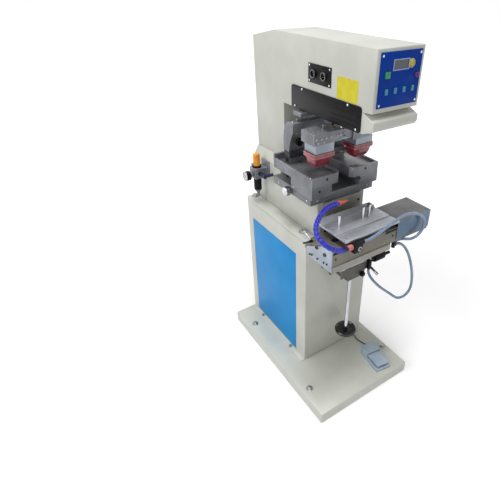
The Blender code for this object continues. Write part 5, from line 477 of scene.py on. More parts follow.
class Materials:
    """Makes each finish's material the first time that it is asked for."""

    dust_tone: Triple = tone(206, 202, 192)
    grain_shade: float = 0.45
    relief_depth: float = 0.0002
    flesh_radius: Triple = (1.0, 0.4, 0.3)
    flesh_scale: float = 0.006

    def __init__(self) -> None:
        """Build the shared effects and start with no materials."""
        self.effects = Effects()
        self.made: dict[Finish, bpy.types.Material] = {}

    def get(self, finish: Finish) -> bpy.types.Material:
        """The material of a finish, made once.

        Args:
            finish: The finish.

        Returns:
            Its material.
        """
        if finish not in self.made:
            self.made[finish] = self._make(finish)
        return self.made[finish]

    @staticmethod
    def _place(tree: bpy.types.NodeTree, group: bpy.types.NodeTree,
               **values: float | Triple) -> bpy.types.Node:
        """Put a shared group in a material, with that finish's values.

        Args:
            tree: The material's tree.
            group: The shared group.
            values: The group's inputs by name.

        Returns:
            The new node.
        """
        node = tree.nodes.new("ShaderNodeGroup")
        node.node_tree = group
        for label, value in values.items():
            node.inputs[label].default_value = value
        return node

    def _make(self, finish: Finish) -> bpy.types.Material:
        """Build one finish's material from its recipe.

        Args:
            finish: The finish.

        Returns:
            Its new material.
        """
        recipe: Recipe = finish.value
        main, second, wear_and_highlight_tone = (tone(*steps) for steps in (recipe.main, recipe.second, recipe.wear_and_highlight_tone))
        material = bpy.data.materials.new(finish.name.lower())
        material.use_nodes = True
        tree = material.node_tree
        shader = tree.nodes["Principled BSDF"]
        effects = self.effects
        patches = self._place(tree, effects.patches, Scale=recipe.patches)
        grain = self._place(tree, effects.grain, Scale=recipe.grain, Stretch=recipe.stretch)
        darker = tuple(channel * self.grain_shade for channel in second)
        layers = [(patches, second, 1.0), (grain, darker, recipe.grain_tint)]
        # The edge line is partly rubbed finish and partly a painted highlight on the edges.
        if recipe.wear_and_highlight:
            wear_and_highlight = self._place(tree, effects.wear_and_highlight, Width=recipe.wear_and_highlight_width, Amount=recipe.wear_and_highlight)
            layers.append((wear_and_highlight, wear_and_highlight_tone, 1.0))
        if recipe.dust:
            dust = self._place(tree, effects.dust, Amount=recipe.dust)
            layers.append((dust, self.dust_tone, 1.0))
        colour: Socket | Triple = main
        for effect, above, share in layers:
            mask = maths(tree, "MULTIPLY", effect.outputs["Mask"], share)
            colour = blend(tree, mask, colour, above)
        tree.links.new(colour, shader.inputs["Base Color"])
        rough = ramp(tree, grain.outputs["Mask"], (0.0, 1.0), recipe.gloss)
        tree.links.new(rough, shader.inputs["Roughness"])
        bump = tree.nodes.new("ShaderNodeBump")
        bump.inputs["Strength"].default_value = recipe.relief
        bump.inputs["Distance"].default_value = self.relief_depth
        tree.links.new(grain.outputs["Height"], bump.inputs["Height"])
        tree.links.new(bump.outputs["Normal"], shader.inputs["Normal"])
        settings = {"Metallic": recipe.metal, "Specular IOR Level": recipe.shine,
                    "Coat Weight": recipe.coat, "Transmission Weight": recipe.clear}
        if recipe.flesh:
            settings |= {"Subsurface Weight": recipe.flesh, "Subsurface Scale": self.flesh_scale,
                         "Subsurface Radius": self.flesh_radius}
        for label, value in settings.items():
            shader.inputs[label].default_value = value
        return material


MATERIALS = Materials()


# Shapes in mesh


def above(limit: float) -> Pair:
    """All that is more than a limit."""
    return (limit, FAR)


def below(limit: float) -> Pair:
    """All that is less than a limit."""
    return (-FAR, limit)


@dataclass(frozen=True)
class Zone:
    """A part of a piece with its own finish: its limits on each axis, and where it faces.

    A round one has a circle too, as the x and y of its centre and its radius.
    """

    finish: Finish
    x: Pair = (-FAR, FAR)
    y: Pair = (-FAR, FAR)
    z: Pair = (-FAR, FAR)
    facing: Triple | None = None
    circle: Triple | None = None

    def holds(self, face: bmesh.types.BMFace) -> bool:
        """Whether a face's centre is in the zone, and it faces the zone's way.

        Args:
            face: The face.

        Returns:
            True where it does.
        """
        centre = face.calc_center_median()
        if self.facing and face.normal.dot(self.facing) < SQUARELY:
            return False
        if self.circle and math.dist(centre[:2], self.circle[:2]) >= self.circle[2]:
            return False
        return all(low < place < high
                   for place, (low, high) in zip(centre, (self.x, self.y, self.z)))


@dataclass(frozen=True)
class Copy:
    """A CAD node to dress with its own rounded shape.

    Its faces take the finish of the first zone that holds them, or else its own.
    """

    node: str
    body: str
    finish: Finish
    edge: float
    zones: Sequence[Zone] = ()
    cut_notched: bool = True

    def finish_of(self, face: bmesh.types.BMFace) -> Finish:
        """The finish of one face."""
        return next((zone.finish for zone in self.zones if zone.holds(face)), self.finish)


class Form:
    """One piece in the making: closed shapes gathered in one mesh."""

    def __init__(self, name: str) -> None:
        """Start an empty piece.

        Args:
            name: The piece's name in the scene.
        """
        self.name = name
        self.cage = bmesh.new()
        self.finishes: list[Finish] = []

    def _number(self, finish: Finish) -> int:
        """The material index of a finish on this piece.

        Args:
            finish: The finish.

        Returns:
            Its index.
        """
        if finish not in self.finishes:
            self.finishes.append(finish)
        return self.finishes.index(finish)

    def copied(self, copy: Copy) -> "Form":
        """Take over a CAD node's shape, with its sharp edges rounded.

        Notched faces are cut into triangles first, so that the rounding can't fold them.

        Args:
            copy: The node and how it is dressed.

        Returns:
            This form.
        """
        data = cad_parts[copy.node].data
        corners: dict[tuple[float, ...], bmesh.types.BMVert] = {}
        made: list[bmesh.types.BMFace] = []
        for polygon in data.polygons:
            ring = []
            for index in polygon.vertices:
                place = data.vertices[index].co
                key = tuple(round(value / MERGE) for value in place)
                if key not in corners:
                    corners[key] = self.cage.verts.new(place)
                ring.append(corners[key])
            if len(set(ring)) == 3 and self.cage.faces.get(ring) is None:
                made.append(self.cage.faces.new(ring))
        self.cage.normal_update()
        for face in made:
            face.material_index = self._number(copy.finish_of(face))
        bmesh.ops.dissolve_limit(self.cage, angle_limit=math.radians(FLAT_ANGLE),
                                 verts=list(corners.values()), edges=self._edges_of(made),
                                 delimit={"MATERIAL"})
        if copy.cut_notched:
            notched = [face for face in self.cage.faces if len(face.verts) > 5
                       and any(not corner.is_convex for corner in face.loops)]
            bmesh.ops.triangulate(self.cage, faces=notched, ngon_method="BEAUTY")
        self._round_edges(list(self.cage.edges), copy.edge)
        return self

    @staticmethod
    def _edges_of(faces: list[bmesh.types.BMFace]) -> list[bmesh.types.BMEdge]:
        """The edges of some faces, each once, in an order that is the same in each run."""
        return list(dict.fromkeys(item for face in faces for item in face.edges))

    def _round_edges(self, edges: list[bmesh.types.BMEdge], width: float) -> None:
        """Round the sharp ones of some edges.

        Args:
            edges: The edges.
            width: The rounding's width.
        """
        sharp = [item for item in edges if item.is_valid and len(item.link_faces) == 2
                 and item.calc_face_angle(0.0) > math.radians(SHARP_ANGLE)]
        if sharp:
            bmesh.ops.bevel(self.cage, geom=sharp, offset=width, offset_type="OFFSET",
                            segments=ROUND_STEPS, profile=0.5, affect="EDGES", clamp_overlap=True,
                            loop_slide=False, material=-1)

    def box(self, low: Triple, high: Triple, finish: Finish, edge: float = 0.0) -> "Form":
        """Add a box between two corners, with its edges rounded.

        Args:
            low: The lowest corner.
            high: The highest corner.
            finish: The box's finish.
            edge: The rounding's width, or nought.

        Returns:
            This form.
        """
        spots = [self.cage.verts.new((x, y, z)) for z in (low[2], high[2])
                 for y in (low[1], high[1]) for x in (low[0], high[0])]
        rings = ((0, 2, 3, 1), (4, 5, 7, 6), (0, 1, 5, 4), (2, 6, 7, 3), (0, 4, 6, 2),
                 (1, 3, 7, 5))
        faces = [self.cage.faces.new([spots[i] for i in ring]) for ring in rings]
        for face in faces:
            face.material_index = self._number(finish)
        if edge:
            self._round_edges(self._edges_of(faces), edge)
        return self

    def _circle(self, middle: Vector, across: Vector, other: Vector, radius: float, sides: int
                ) -> list[bmesh.types.BMVert]:
        """The corners of a circle in the plane of two directions.

        Args:
            middle: The circle's middle.
            across: The first direction.
            other: The second one, square to it.
            radius: The radius.
            sides: How many corners there are.

        Returns:
            The corners in order.
        """
        turns = (2 * math.pi * i / sides for i in range(sides))
        return [self.cage.verts.new(middle + (across * math.cos(turn) + other * math.sin(turn))
                                    * radius) for turn in turns]

    @staticmethod
    def _bands(finish: Finish | Sequence[Finish], count: int) -> Sequence[Finish]:
        """A finish for each band of a shape, where one finish serves them all."""
        return [finish] * count if isinstance(finish, Finish) else finish

    def turned(self, profile: Profile, centre: Triple, axis: Triple,
               finish: Finish | Sequence[Finish], sides: int) -> "Form":
        """Add a shape turned about an axis.

        Args:
            profile: Pairs of radius and distance along the axis, closed on the axis or in a loop.
            centre: Where distance 0 lies.
            axis: The axis direction.
            finish: One finish, or one for each step of the profile.
            sides: The sides of the turned shape.

        Returns:
            This form.
        """
        along = Vector(axis).normalized()
        across = along.orthogonal().normalized()
        other = along.cross(across)
        rings = []
        for radius, distance in profile:
            middle = Vector(centre) + along * distance
            if radius < MERGE:
                rings.append([self.cage.verts.new(middle)])
            else:
                rings.append(self._circle(middle, across, other, radius, sides))
        bands = self._bands(finish, len(rings))
        for first, second, band in zip(rings, rings[1:], bands):
            self._bridge(first, second, self._number(band))
        if len(rings[0]) > 1 and len(rings[-1]) > 1:
            self._bridge(rings[-1], rings[0], self._number(bands[-1]))
        return self

    def _bridge(self, first: list[bmesh.types.BMVert], second: list[bmesh.types.BMVert],
                number: int) -> None:
        """Join two rings, or a ring and a point, with faces.

        Args:
            first: One ring.
            second: The other ring.
            number: The faces' material index.
        """
        count = max(len(first), len(second))
        if count == 1:
            return
        for i in range(count):
            k = (i + 1) % count
            corners = [first[i % len(first)], first[k % len(first)],
                       second[k % len(second)], second[i % len(second)]]
            ring = list(dict.fromkeys(corners))
            face = self.cage.faces.new(ring)
            face.material_index = number

    def rod(self, start: Triple, end: Triple, radius: float, finish: Finish,
            sides: int = 20, edge: float = 0.0) -> "Form":
        """Add a round rod between two points, with an optional chamfer at both ends.

        Args:
            start: The middle of one end.
            end: The middle of the other.
            radius: The rod's radius.
            finish: Its finish.
            sides: Its sides.
            edge: The chamfer's width, or nought.

        Returns:
            This form.
        """
        line = Vector(end) - Vector(start)
        length = line.length
        profile = [(0.0, 0.0), (radius - edge, 0.0), (radius, edge), (radius, length - edge),
                   (radius - edge, length), (0.0, length)]
        if not edge:
            profile = [(0.0, 0.0), (radius, 0.0), (radius, length), (0.0, length)]
        return self.turned(profile, start, tuple(line), finish, sides)

    def swept(self, points: Sequence[Vector], radii: Sequence[float],
              finish: Finish | Sequence[Finish], sides: int = 20) -> "Form":
        """Add a round tube along points, one radius for each, with flat ends.

        Args:
            points: The tube's middle line.
            radii: The radius at each point.
            finish: One finish, or one for each point.
            sides: The sides of the tube.

        Returns:
            This form.
        """
        heading = (points[1] - points[0]).normalized()
        across = heading.orthogonal().normalized()
        rings = []
        for i, point in enumerate(points):
            ahead = points[min(i + 1, len(points) - 1)] - points[max(i - 1, 0)]
            ahead.normalize()
            across = (across - ahead * across.dot(ahead)).normalized()
            other = ahead.cross(across)
            rings.append(self._circle(point, across, other, radii[i], sides))
        bands = self._bands(finish, len(points))
        for first, second, band in zip(rings, rings[1:], bands):
            self._bridge(first, second, self._number(band))
        for ring, band in ((rings[0][::-1], bands[0]), (rings[-1], bands[-1])):
            self.cage.faces.new(ring).material_index = self._number(band)
        return self

    def lofted(self, sections: Sequence[Sequence[Vector]], finish: Finish) -> "Form":
        """Add a closed shape through sections of equal point counts, with flat ends.

        Args:
            sections: The points of each section.
            finish: The shape's finish.

        Returns:
            This form.
        """
        rings = [[self.cage.verts.new(point) for point in section] for section in sections]
        number = self._number(finish)
        for first, second in zip(rings, rings[1:]):
            self._bridge(first, second, number)
        for ring in (rings[0][::-1], rings[-1]):
            self.cage.faces.new(ring).material_index = number
        return self

    def done(self, turn_outward: bool = True, crease: float = 35.0) -> bpy.types.Object:
        """Close the piece as an object at the origin.

        Args:
            turn_outward: Whether to recalculate the normals first.
            crease: The angle in degrees above which an edge stays sharp.

        Returns:
            The finished object.
        """
        if turn_outward:
            bmesh.ops.recalc_face_normals(self.cage, faces=self.cage.faces)
        mesh = bpy.data.meshes.new(self.name)
        self.cage.to_mesh(mesh)
        self.cage.free()
        for finish in self.finishes:
            mesh.materials.append(MATERIALS.get(finish))
        mesh.shade_smooth()
        mesh.set_sharp_from_angle(angle=math.radians(crease))
        item = bpy.data.objects.new(self.name, mesh)
        bpy.context.scene.collection.objects.link(item)
        return item


@dataclass(frozen=True)
class Spot:
    """Where one copy of a repeated shape goes."""

    place: Triple
    facing: Triple = UP
    along: Triple = RIGHT


class Repeater:
    """Sets copies of a small shape out on points with Geometry Nodes."""

    def __init__(self) -> None:
        """Build the tree once."""
        self.tree = self._grow()

    @staticmethod
    def _grow() -> bpy.types.GeometryNodeTree:
        """The tree: points in, turned copies out, realised and given one material.

        Returns:
            The tree.
        """
        tree = bpy.data.node_groups.new("copies_on_points", "GeometryNodeTree")
        for label, kind in (("Points", "Geometry"), ("Shape", "Object"), ("Finish", "Material")):
            tree.interface.new_socket(name=label, in_out="INPUT",
                                      socket_type="NodeSocket" + kind)
        tree.interface.new_socket(name="Copies", in_out="OUTPUT",
                                  socket_type="NodeSocketGeometry")
        nodes, join = tree.nodes, tree.links.new
        start, end = nodes.new("NodeGroupInput"), nodes.new("NodeGroupOutput")
        shape = nodes.new("GeometryNodeObjectInfo")
        join(start.outputs["Shape"], shape.inputs["Object"])
        turns = []
        for label, axis in (("facing", "Z"), ("along", "X")):
            named = nodes.new("GeometryNodeInputNamedAttribute")
            named.data_type = "FLOAT_VECTOR"
            named.inputs["Name"].default_value = label
            turn = nodes.new("FunctionNodeAlignRotationToVector")
            turn.axis = axis
            join(named.outputs["Attribute"], turn.inputs["Vector"])
            if turns:
                turn.pivot_axis = "Z"
                join(turns[-1].outputs["Rotation"], turn.inputs["Rotation"])
            turns.append(turn)
        copies = nodes.new("GeometryNodeInstanceOnPoints")
        join(start.outputs["Points"], copies.inputs["Points"])
        join(shape.outputs["Geometry"], copies.inputs["Instance"])
        join(turns[-1].outputs["Rotation"], copies.inputs["Rotation"])
        real = nodes.new("GeometryNodeRealizeInstances")
        join(copies.outputs["Instances"], real.inputs["Geometry"])
        paint = nodes.new("GeometryNodeSetMaterial")
        join(real.outputs["Geometry"], paint.inputs["Geometry"])
        join(start.outputs["Finish"], paint.inputs["Material"])
        join(paint.outputs["Geometry"], end.inputs["Copies"])
        return tree

    def set_out(self, name: str, shape: bpy.types.Object, spots: Sequence[Spot], finish: Finish
                ) -> bpy.types.Object:
        """Set copies out on spots and turn the result into one plain mesh.

        Args:
            name: The new piece's name.
            shape: The small shape, standing on its own origin along +Z. It is used up.
            spots: Where the copies go.
            finish: The finish of every copy.

        Returns:
            The piece, at the origin.
        """
        carrier_mesh = bpy.data.meshes.new(name + "_points")
        carrier_mesh.from_pydata([spot.place for spot in spots], [], [])
        for label in ("facing", "along"):
            layer = carrier_mesh.attributes.new(label, "FLOAT_VECTOR", "POINT")
            layer.data.foreach_set("vector", [value for spot in spots
                                              for value in getattr(spot, label)])
        carrier = bpy.data.objects.new(name + "_points", carrier_mesh)
        bpy.context.scene.collection.objects.link(carrier)
        modifier = carrier.modifiers.new("copies", "NODES")
        modifier.node_group = self.tree
        values = {"Shape": shape, "Finish": MATERIALS.get(finish)}
        for item in self.tree.interface.items_tree:
            if item.in_out == "INPUT" and item.name in values:
                modifier[item.identifier] = values[item.name]
        bpy.context.view_layer.update()
        graph = bpy.context.evaluated_depsgraph_get()
        mesh = bpy.data.meshes.new_from_object(carrier.evaluated_get(graph))
        mesh.name = name
        piece = bpy.data.objects.new(name, mesh)
        bpy.context.scene.collection.objects.link(piece)
        for item in (carrier, shape):
            bpy.data.objects.remove(item, do_unlink=True)
        return piece


REPEATER = Repeater()


class Head(Enum):
    """The screw heads on the machine."""

    SOCKET = "socket"
    PAN = "pan"
    HEX = "hex"
    GRUB = "grub"


def screw(kind: Head, radius: float, height: float) -> bpy.types.Object:
    """One screw head that stands on its origin along +Z.

    Args:
        kind: The kind of head.
        radius: The head's radius.
        height: The head's height.

    Returns:
        The small shape, for the repeater.
    """
    rim = 0.15 * radius
    if kind is Head.PAN:
        sides = 12
        profile = [(0.0, -HAIR), (radius, -HAIR), (radius, 0.35 * height),
                   (0.72 * radius, 0.82 * height), (0.3 * radius, height),
                   (0.22 * radius, 0.55 * height), (0.0, 0.55 * height)]
    elif kind is Head.HEX:
        sides = 6
        profile = [(0.0, -HAIR), (radius, -HAIR), (radius, height - rim),
                   (radius - rim, height), (0.0, height)]
    else:
        sides = 18
        well = 0.5 * height if kind is Head.SOCKET else 0.9 * height
        profile = [(0.0, -HAIR), (radius, -HAIR), (radius, height - rim),
                   (radius - rim, height), (0.55 * radius, height),
                   (0.5 * radius, height - well), (0.0, height - well)]
    return Form("screw_" + kind.value).turned(profile, ORIGIN, UP, Finish.ZINC, sides).done()


@dataclass(frozen=True)
class Ridge:
    """A small bar on a knob: half its length and width, how deep it sits and how far it rises."""

    length: float
    width: float
    depth: float
    rise: float
    edge: float = 0.0002


def ring_of_spots(centre: Triple, axis: Triple, radius: float, count: int) -> list[Spot]:
    """Spots in a ring about a level axis, each facing out and lying along the axis.

    Args:
        centre: The ring's middle.
        axis: RIGHT or BACK.
        radius: The ring's radius.
        count: How many spots there are.

    Returns:
        The spots in their order round the ring.
    """
    spots = []
    for k in range(count):
        turn = 2 * math.pi * k / count
        level, rise = math.cos(turn), math.sin(turn)
        out = (0.0, level, rise) if axis == RIGHT else (level, 0.0, rise)
        x, y, z = (middle + way * radius for middle, way in zip(centre, out))
        spots.append(Spot((x, y, z), out, axis))
    return spots


class Dresser:
    """What every sub-assembly shares: how a finished piece joins the machine."""

    @staticmethod
    def settle(piece: bpy.types.Object, body: str, finish: Finish, *nodes: str
               ) -> bpy.types.Object:
        """Ride a piece on its body and hide the nodes that it stands for.

        Args:
            piece: The finished piece.
            body: The CAD body that carries it.
            finish: The finish of the piece; it is not used.
            nodes: The CAD nodes that it replaces.

        Returns:
            The same piece.
        """
        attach(piece, body)
        if nodes:
            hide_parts(*nodes)
        LOG.info("%s rides on %s", piece.name, body)
        return piece

    def carry_over(self, *copies: Copy) -> None:
        """Dress CAD nodes with rounded copies of their own shapes.

        Args:
            copies: The nodes, and how each is dressed.
        """
        for copy in copies:
            piece = Form(copy.node + "_dressed").copied(copy).done(turn_outward=False)
            self.settle(piece, copy.body, copy.finish, copy.node)

    def turn(self, name: str, body: str, profile: Profile, centre: Triple, axis: Triple,
             finish: Finish | Sequence[Finish], sides: int, *nodes: str) -> None:
        """Add one turned piece.

        Args:
            name: The piece's name.
            body: The body that carries it.
            profile: Pairs of radius and distance along the axis.
            centre: Where distance 0 lies.
            axis: The axis direction.
            finish: One finish, or one for each step of the profile.
            sides: The sides of the turned shape.
            nodes: The CAD nodes that it replaces.
        """
        form = Form(name).turned(profile, centre, axis, finish, sides)
        self.settle(form.done(), body, form.finishes[0], *nodes)

    def screws(self, name: str, body: str, spots: Sequence[Spot], kind: Head, radius: float,
               height: float, finish: Finish = Finish.ZINC) -> None:
        """Set a row of equal screws out and ride it on a body."""
        piece = REPEATER.set_out(name, screw(kind, radius, height), spots, finish)
        self.settle(piece, body, finish)

    def ridges(self, name: str, body: str, spots: Sequence[Spot], ridge: Ridge, finish: Finish
               ) -> None:
        """Set a knob's ridges out and ride them on its body.

        Args:
            name: The new piece's name.
            body: The body that carries it.
            spots: Where the ridges go.
            ridge: The shape of one.
            finish: Their finish.
        """
        low = (-ridge.length, -ridge.width, -ridge.depth)
        high = (ridge.length, ridge.width, ridge.rise)
        bar = Form("ridge").box(low, high, finish, ridge.edge).done()
        self.settle(REPEATER.set_out(name, bar, spots, finish), body, finish)


def rounded_box(wide: float, deep: float, corner: float, steps: int) -> list[Pair]:
    """The outline of a rectangle with rounded corners, about the origin.

    Args:
        wide: Half its width.
        deep: Half its depth.
        corner: The corners' radius.
        steps: The steps of each corner.

    Returns:
        Pairs of x and y, counter-clockwise.
    """
    outline = []
    for k, (x, y) in enumerate(((1, 1), (-1, 1), (-1, -1), (1, -1))):
        for i in range(steps + 1):
            turn = math.pi / 2 * (k + i / steps)
            outline.append((x * (wide - corner) + corner * math.cos(turn),
                            y * (deep - corner) + corner * math.sin(turn)))
    return outline


def grid(xs: Sequence[float], ys: Sequence[float], z: float) -> list[Spot]:
    """Spots that face up at each crossing of the x and y places."""
    return [Spot((x, y, z)) for x in xs for y in ys]


def smooth_route(route: Sequence[Triple], step: float) -> list[Vector]:
    """Even points along a smooth curve through a route, straight at both ends.

    Args:
        route: The points that the piece passes, as in the part's source.
        step: The distance between the points given back.

    Returns:
        The even points, with the route's own two ends.
    """
    points = [Vector(point) for point in route]
    last = len(points) - 1
    tangents = []
    for i in range(len(points)):
        along = points[min(i + 1, last)] - points[max(i - 1, 0)]
        if i in (0, 1):
            along = (points[1] - points[0]).normalized() * along.length
        if i in (last - 1, last):
            along = (points[last] - points[last - 1]).normalized() * along.length
        tangents.append(along / 2 if 0 < i < last else along)
    path = [points[1]]
    for i in range(1, last - 1):
        a, b = points[i], points[i + 1]
        for k in range(1, CURVE_STEPS + 1):
            t = k / CURVE_STEPS
            ease = t * t * (3 - 2 * t)
            path.append(a.lerp(b, ease) + tangents[i] * t * (1 - t) * (1 - t)
                        - tangents[i + 1] * t * t * (1 - t))
    lengths = [0.0]
    for a, b in zip(path, path[1:]):
        lengths.append(lengths[-1] + (b - a).length)
    count = max(2, round(lengths[-1] / step))
    even = [points[0]]
    k = 0
    for i in range(count + 1):
        target = lengths[-1] * i / count
        while k < len(path) - 2 and lengths[k + 1] < target:
            k += 1
        share = (target - lengths[k]) / (lengths[k + 1] - lengths[k])
        even.append(path[k].lerp(path[k + 1], min(share, 1.0)))
    return [*even, points[-1]]


def line_length(points: Sequence[Vector]) -> float:
    """The length of a line through points."""
    return sum((b - a).length for a, b in zip(points, points[1:]))


# Sub-assemblies


@dataclass(frozen=True)
class Lamp:
    """A square soft lamp: where it is, what it looks at, its width and its watts."""

    name: str
    place: Triple
    target: Triple
    width: float
    power: float


@dataclass
class Studio:
    """The floor, the soft lights and the camera at the photograph's view."""

    eye: Triple = (-0.928, -1.1674, 1.561)
    heading: float = math.radians(35.4707)
    pitch: float = math.radians(32.8227)
    roll: float = math.radians(0.6984)
    focal_pixels: float = 412.3425
    centre_pixels: Pair = (305.8973, 240.9051)
    frame_pixels: float = 500.0
    sensor: float = 36.0
    near: float = 0.05
    floor_half: float = 14.0
    floor_tones: Pair = (0.92, 0.88)
    floor_patches: float = 3.0
    floor_roughness: float = 0.85
    floor_shine: float = 0.1
    glow_reach: Pair = (0.8, 3.6)
    glow: Pair = (0.26, 0.86)
    surround: Pair = (0.28, 1.0)
    lamps: Sequence[Lamp] = (
        Lamp("key_softbox", (-3.3, 0.1, 2.9), (0.0, 0.0, 0.8), 2.0, 48.0),
        Lamp("front_softbox", (0.8, -3.4, 1.4), (0.0, 0.0, 0.5), 1.8, 4.0),
        Lamp("top_softbox", (-0.6, -0.6, 8.0), (0.0, 0.0, 0.4), 2.6, 320.0))

    def light_up(self) -> None:
        """Set the floor, the world, the lamps and the camera."""
        self._floor()
        self._world()
        for lamp in self.lamps:
            self._lamp(lamp)
        self._camera()
        bpy.context.scene.view_settings.view_transform = "Standard"

    def _floor(self) -> None:
        """A wide pale floor. It glows less near the machine, where its shadow falls."""
        half = self.floor_half
        floor = Form("studio_floor").box((-half, -half, -0.02), (half, half, -HAIR),
                                         Finish.CREAM).done()
        material = bpy.data.materials.new("pale_floor")
        material.use_nodes = True
        tree = material.node_tree
        shader = tree.nodes["Principled BSDF"]
        shader.inputs["Roughness"].default_value = self.floor_roughness
        shader.inputs["Specular IOR Level"].default_value = self.floor_shine
        shader.inputs["Emission Color"].default_value = WHITE
        place = tree.nodes.new("ShaderNodeTexCoord").outputs["Object"]
        noise = tree.nodes.new("ShaderNodeTexNoise")
        noise.inputs["Scale"].default_value = self.floor_patches
        tree.links.new(place, noise.inputs["Vector"])
        first, second = ((level, level, level) for level in self.floor_tones)
        mixed = blend(tree, noise.outputs["Fac"], first, second)
        tree.links.new(mixed, shader.inputs["Base Color"])
        distance = tree.nodes.new("ShaderNodeVectorMath")
        distance.operation = "LENGTH"
        tree.links.new(place, distance.inputs[0])
        glow = ramp(tree, distance.outputs["Value"], self.glow_reach, self.glow)
        seen = maths(tree, "MULTIPLY", self._direct_rays(tree), glow)
        tree.links.new(seen, shader.inputs["Emission Strength"])
        floor.data.materials.clear()
        floor.data.materials.append(material)

    @staticmethod
    def _direct_rays(tree: bpy.types.NodeTree) -> Socket:
        """One for the rays of the camera, of gloss and of glass, and nought for the rest.

        Args:
            tree: The tree that gets the nodes.

        Returns:
            The socket of the result.
        """
        paths = tree.nodes.new("ShaderNodeLightPath").outputs
        either = maths(tree, "MAXIMUM", paths["Is Camera Ray"], paths["Is Glossy Ray"])
        return maths(tree, "MAXIMUM", either, paths["Is Transmission Ray"])

    def _world(self) -> None:
        """A white surround to the camera and to gloss, and a plain grey light to the rest."""
        world = bpy.data.worlds.new("studio_surround")
        bpy.context.scene.world = world
        world.use_nodes = True
        tree = world.node_tree
        back = tree.nodes["Background"]
        back.inputs["Color"].default_value = WHITE
        level = ramp(tree, self._direct_rays(tree), (0.0, 1.0), self.surround)
        tree.links.new(level, back.inputs["Strength"])

    @staticmethod
    def _lamp(lamp: Lamp) -> None:
        """Set one lamp and turn it to its target.

        Args:
            lamp: The lamp.
        """
        light = bpy.data.lights.new(lamp.name, "AREA")
        light.size = lamp.width
        light.energy = lamp.power
        item = bpy.data.objects.new(lamp.name, light)
        item.location = lamp.place
        gaze = Vector(lamp.target) - Vector(lamp.place)
        item.rotation_euler = gaze.to_track_quat("-Z", "Y").to_euler()
        bpy.context.scene.collection.objects.link(item)

    def _camera(self) -> None:
        """The camera, from the view worked out of the photograph."""
        ahead = Vector((math.sin(self.heading) * math.cos(self.pitch),
                        math.cos(self.heading) * math.cos(self.pitch), -math.sin(self.pitch)))
        right = Vector((math.cos(self.heading), -math.sin(self.heading), 0.0))
        up = right.cross(ahead)
        tilt = math.cos(self.roll), math.sin(self.roll)
        across = right * tilt[0] + up * tilt[1]
        upward = up * tilt[0] - right * tilt[1]
        data = bpy.data.cameras.new("photo_view")
        data.sensor_width = self.sensor
        data.lens = self.focal_pixels * self.sensor / self.frame_pixels
        middle = self.frame_pixels / 2
        data.shift_x = (middle - self.centre_pixels[0]) / self.frame_pixels
        data.shift_y = (self.centre_pixels[1] - middle) / self.frame_pixels
        data.clip_start = self.near
        item = bpy.data.objects.new("photo_view", data)
        turn = Matrix((across, upward, -ahead)).transposed().to_4x4()
        item.matrix_world = Matrix.Translation(self.eye) @ turn
        bpy.context.scene.collection.objects.link(item)
        bpy.context.scene.camera = item


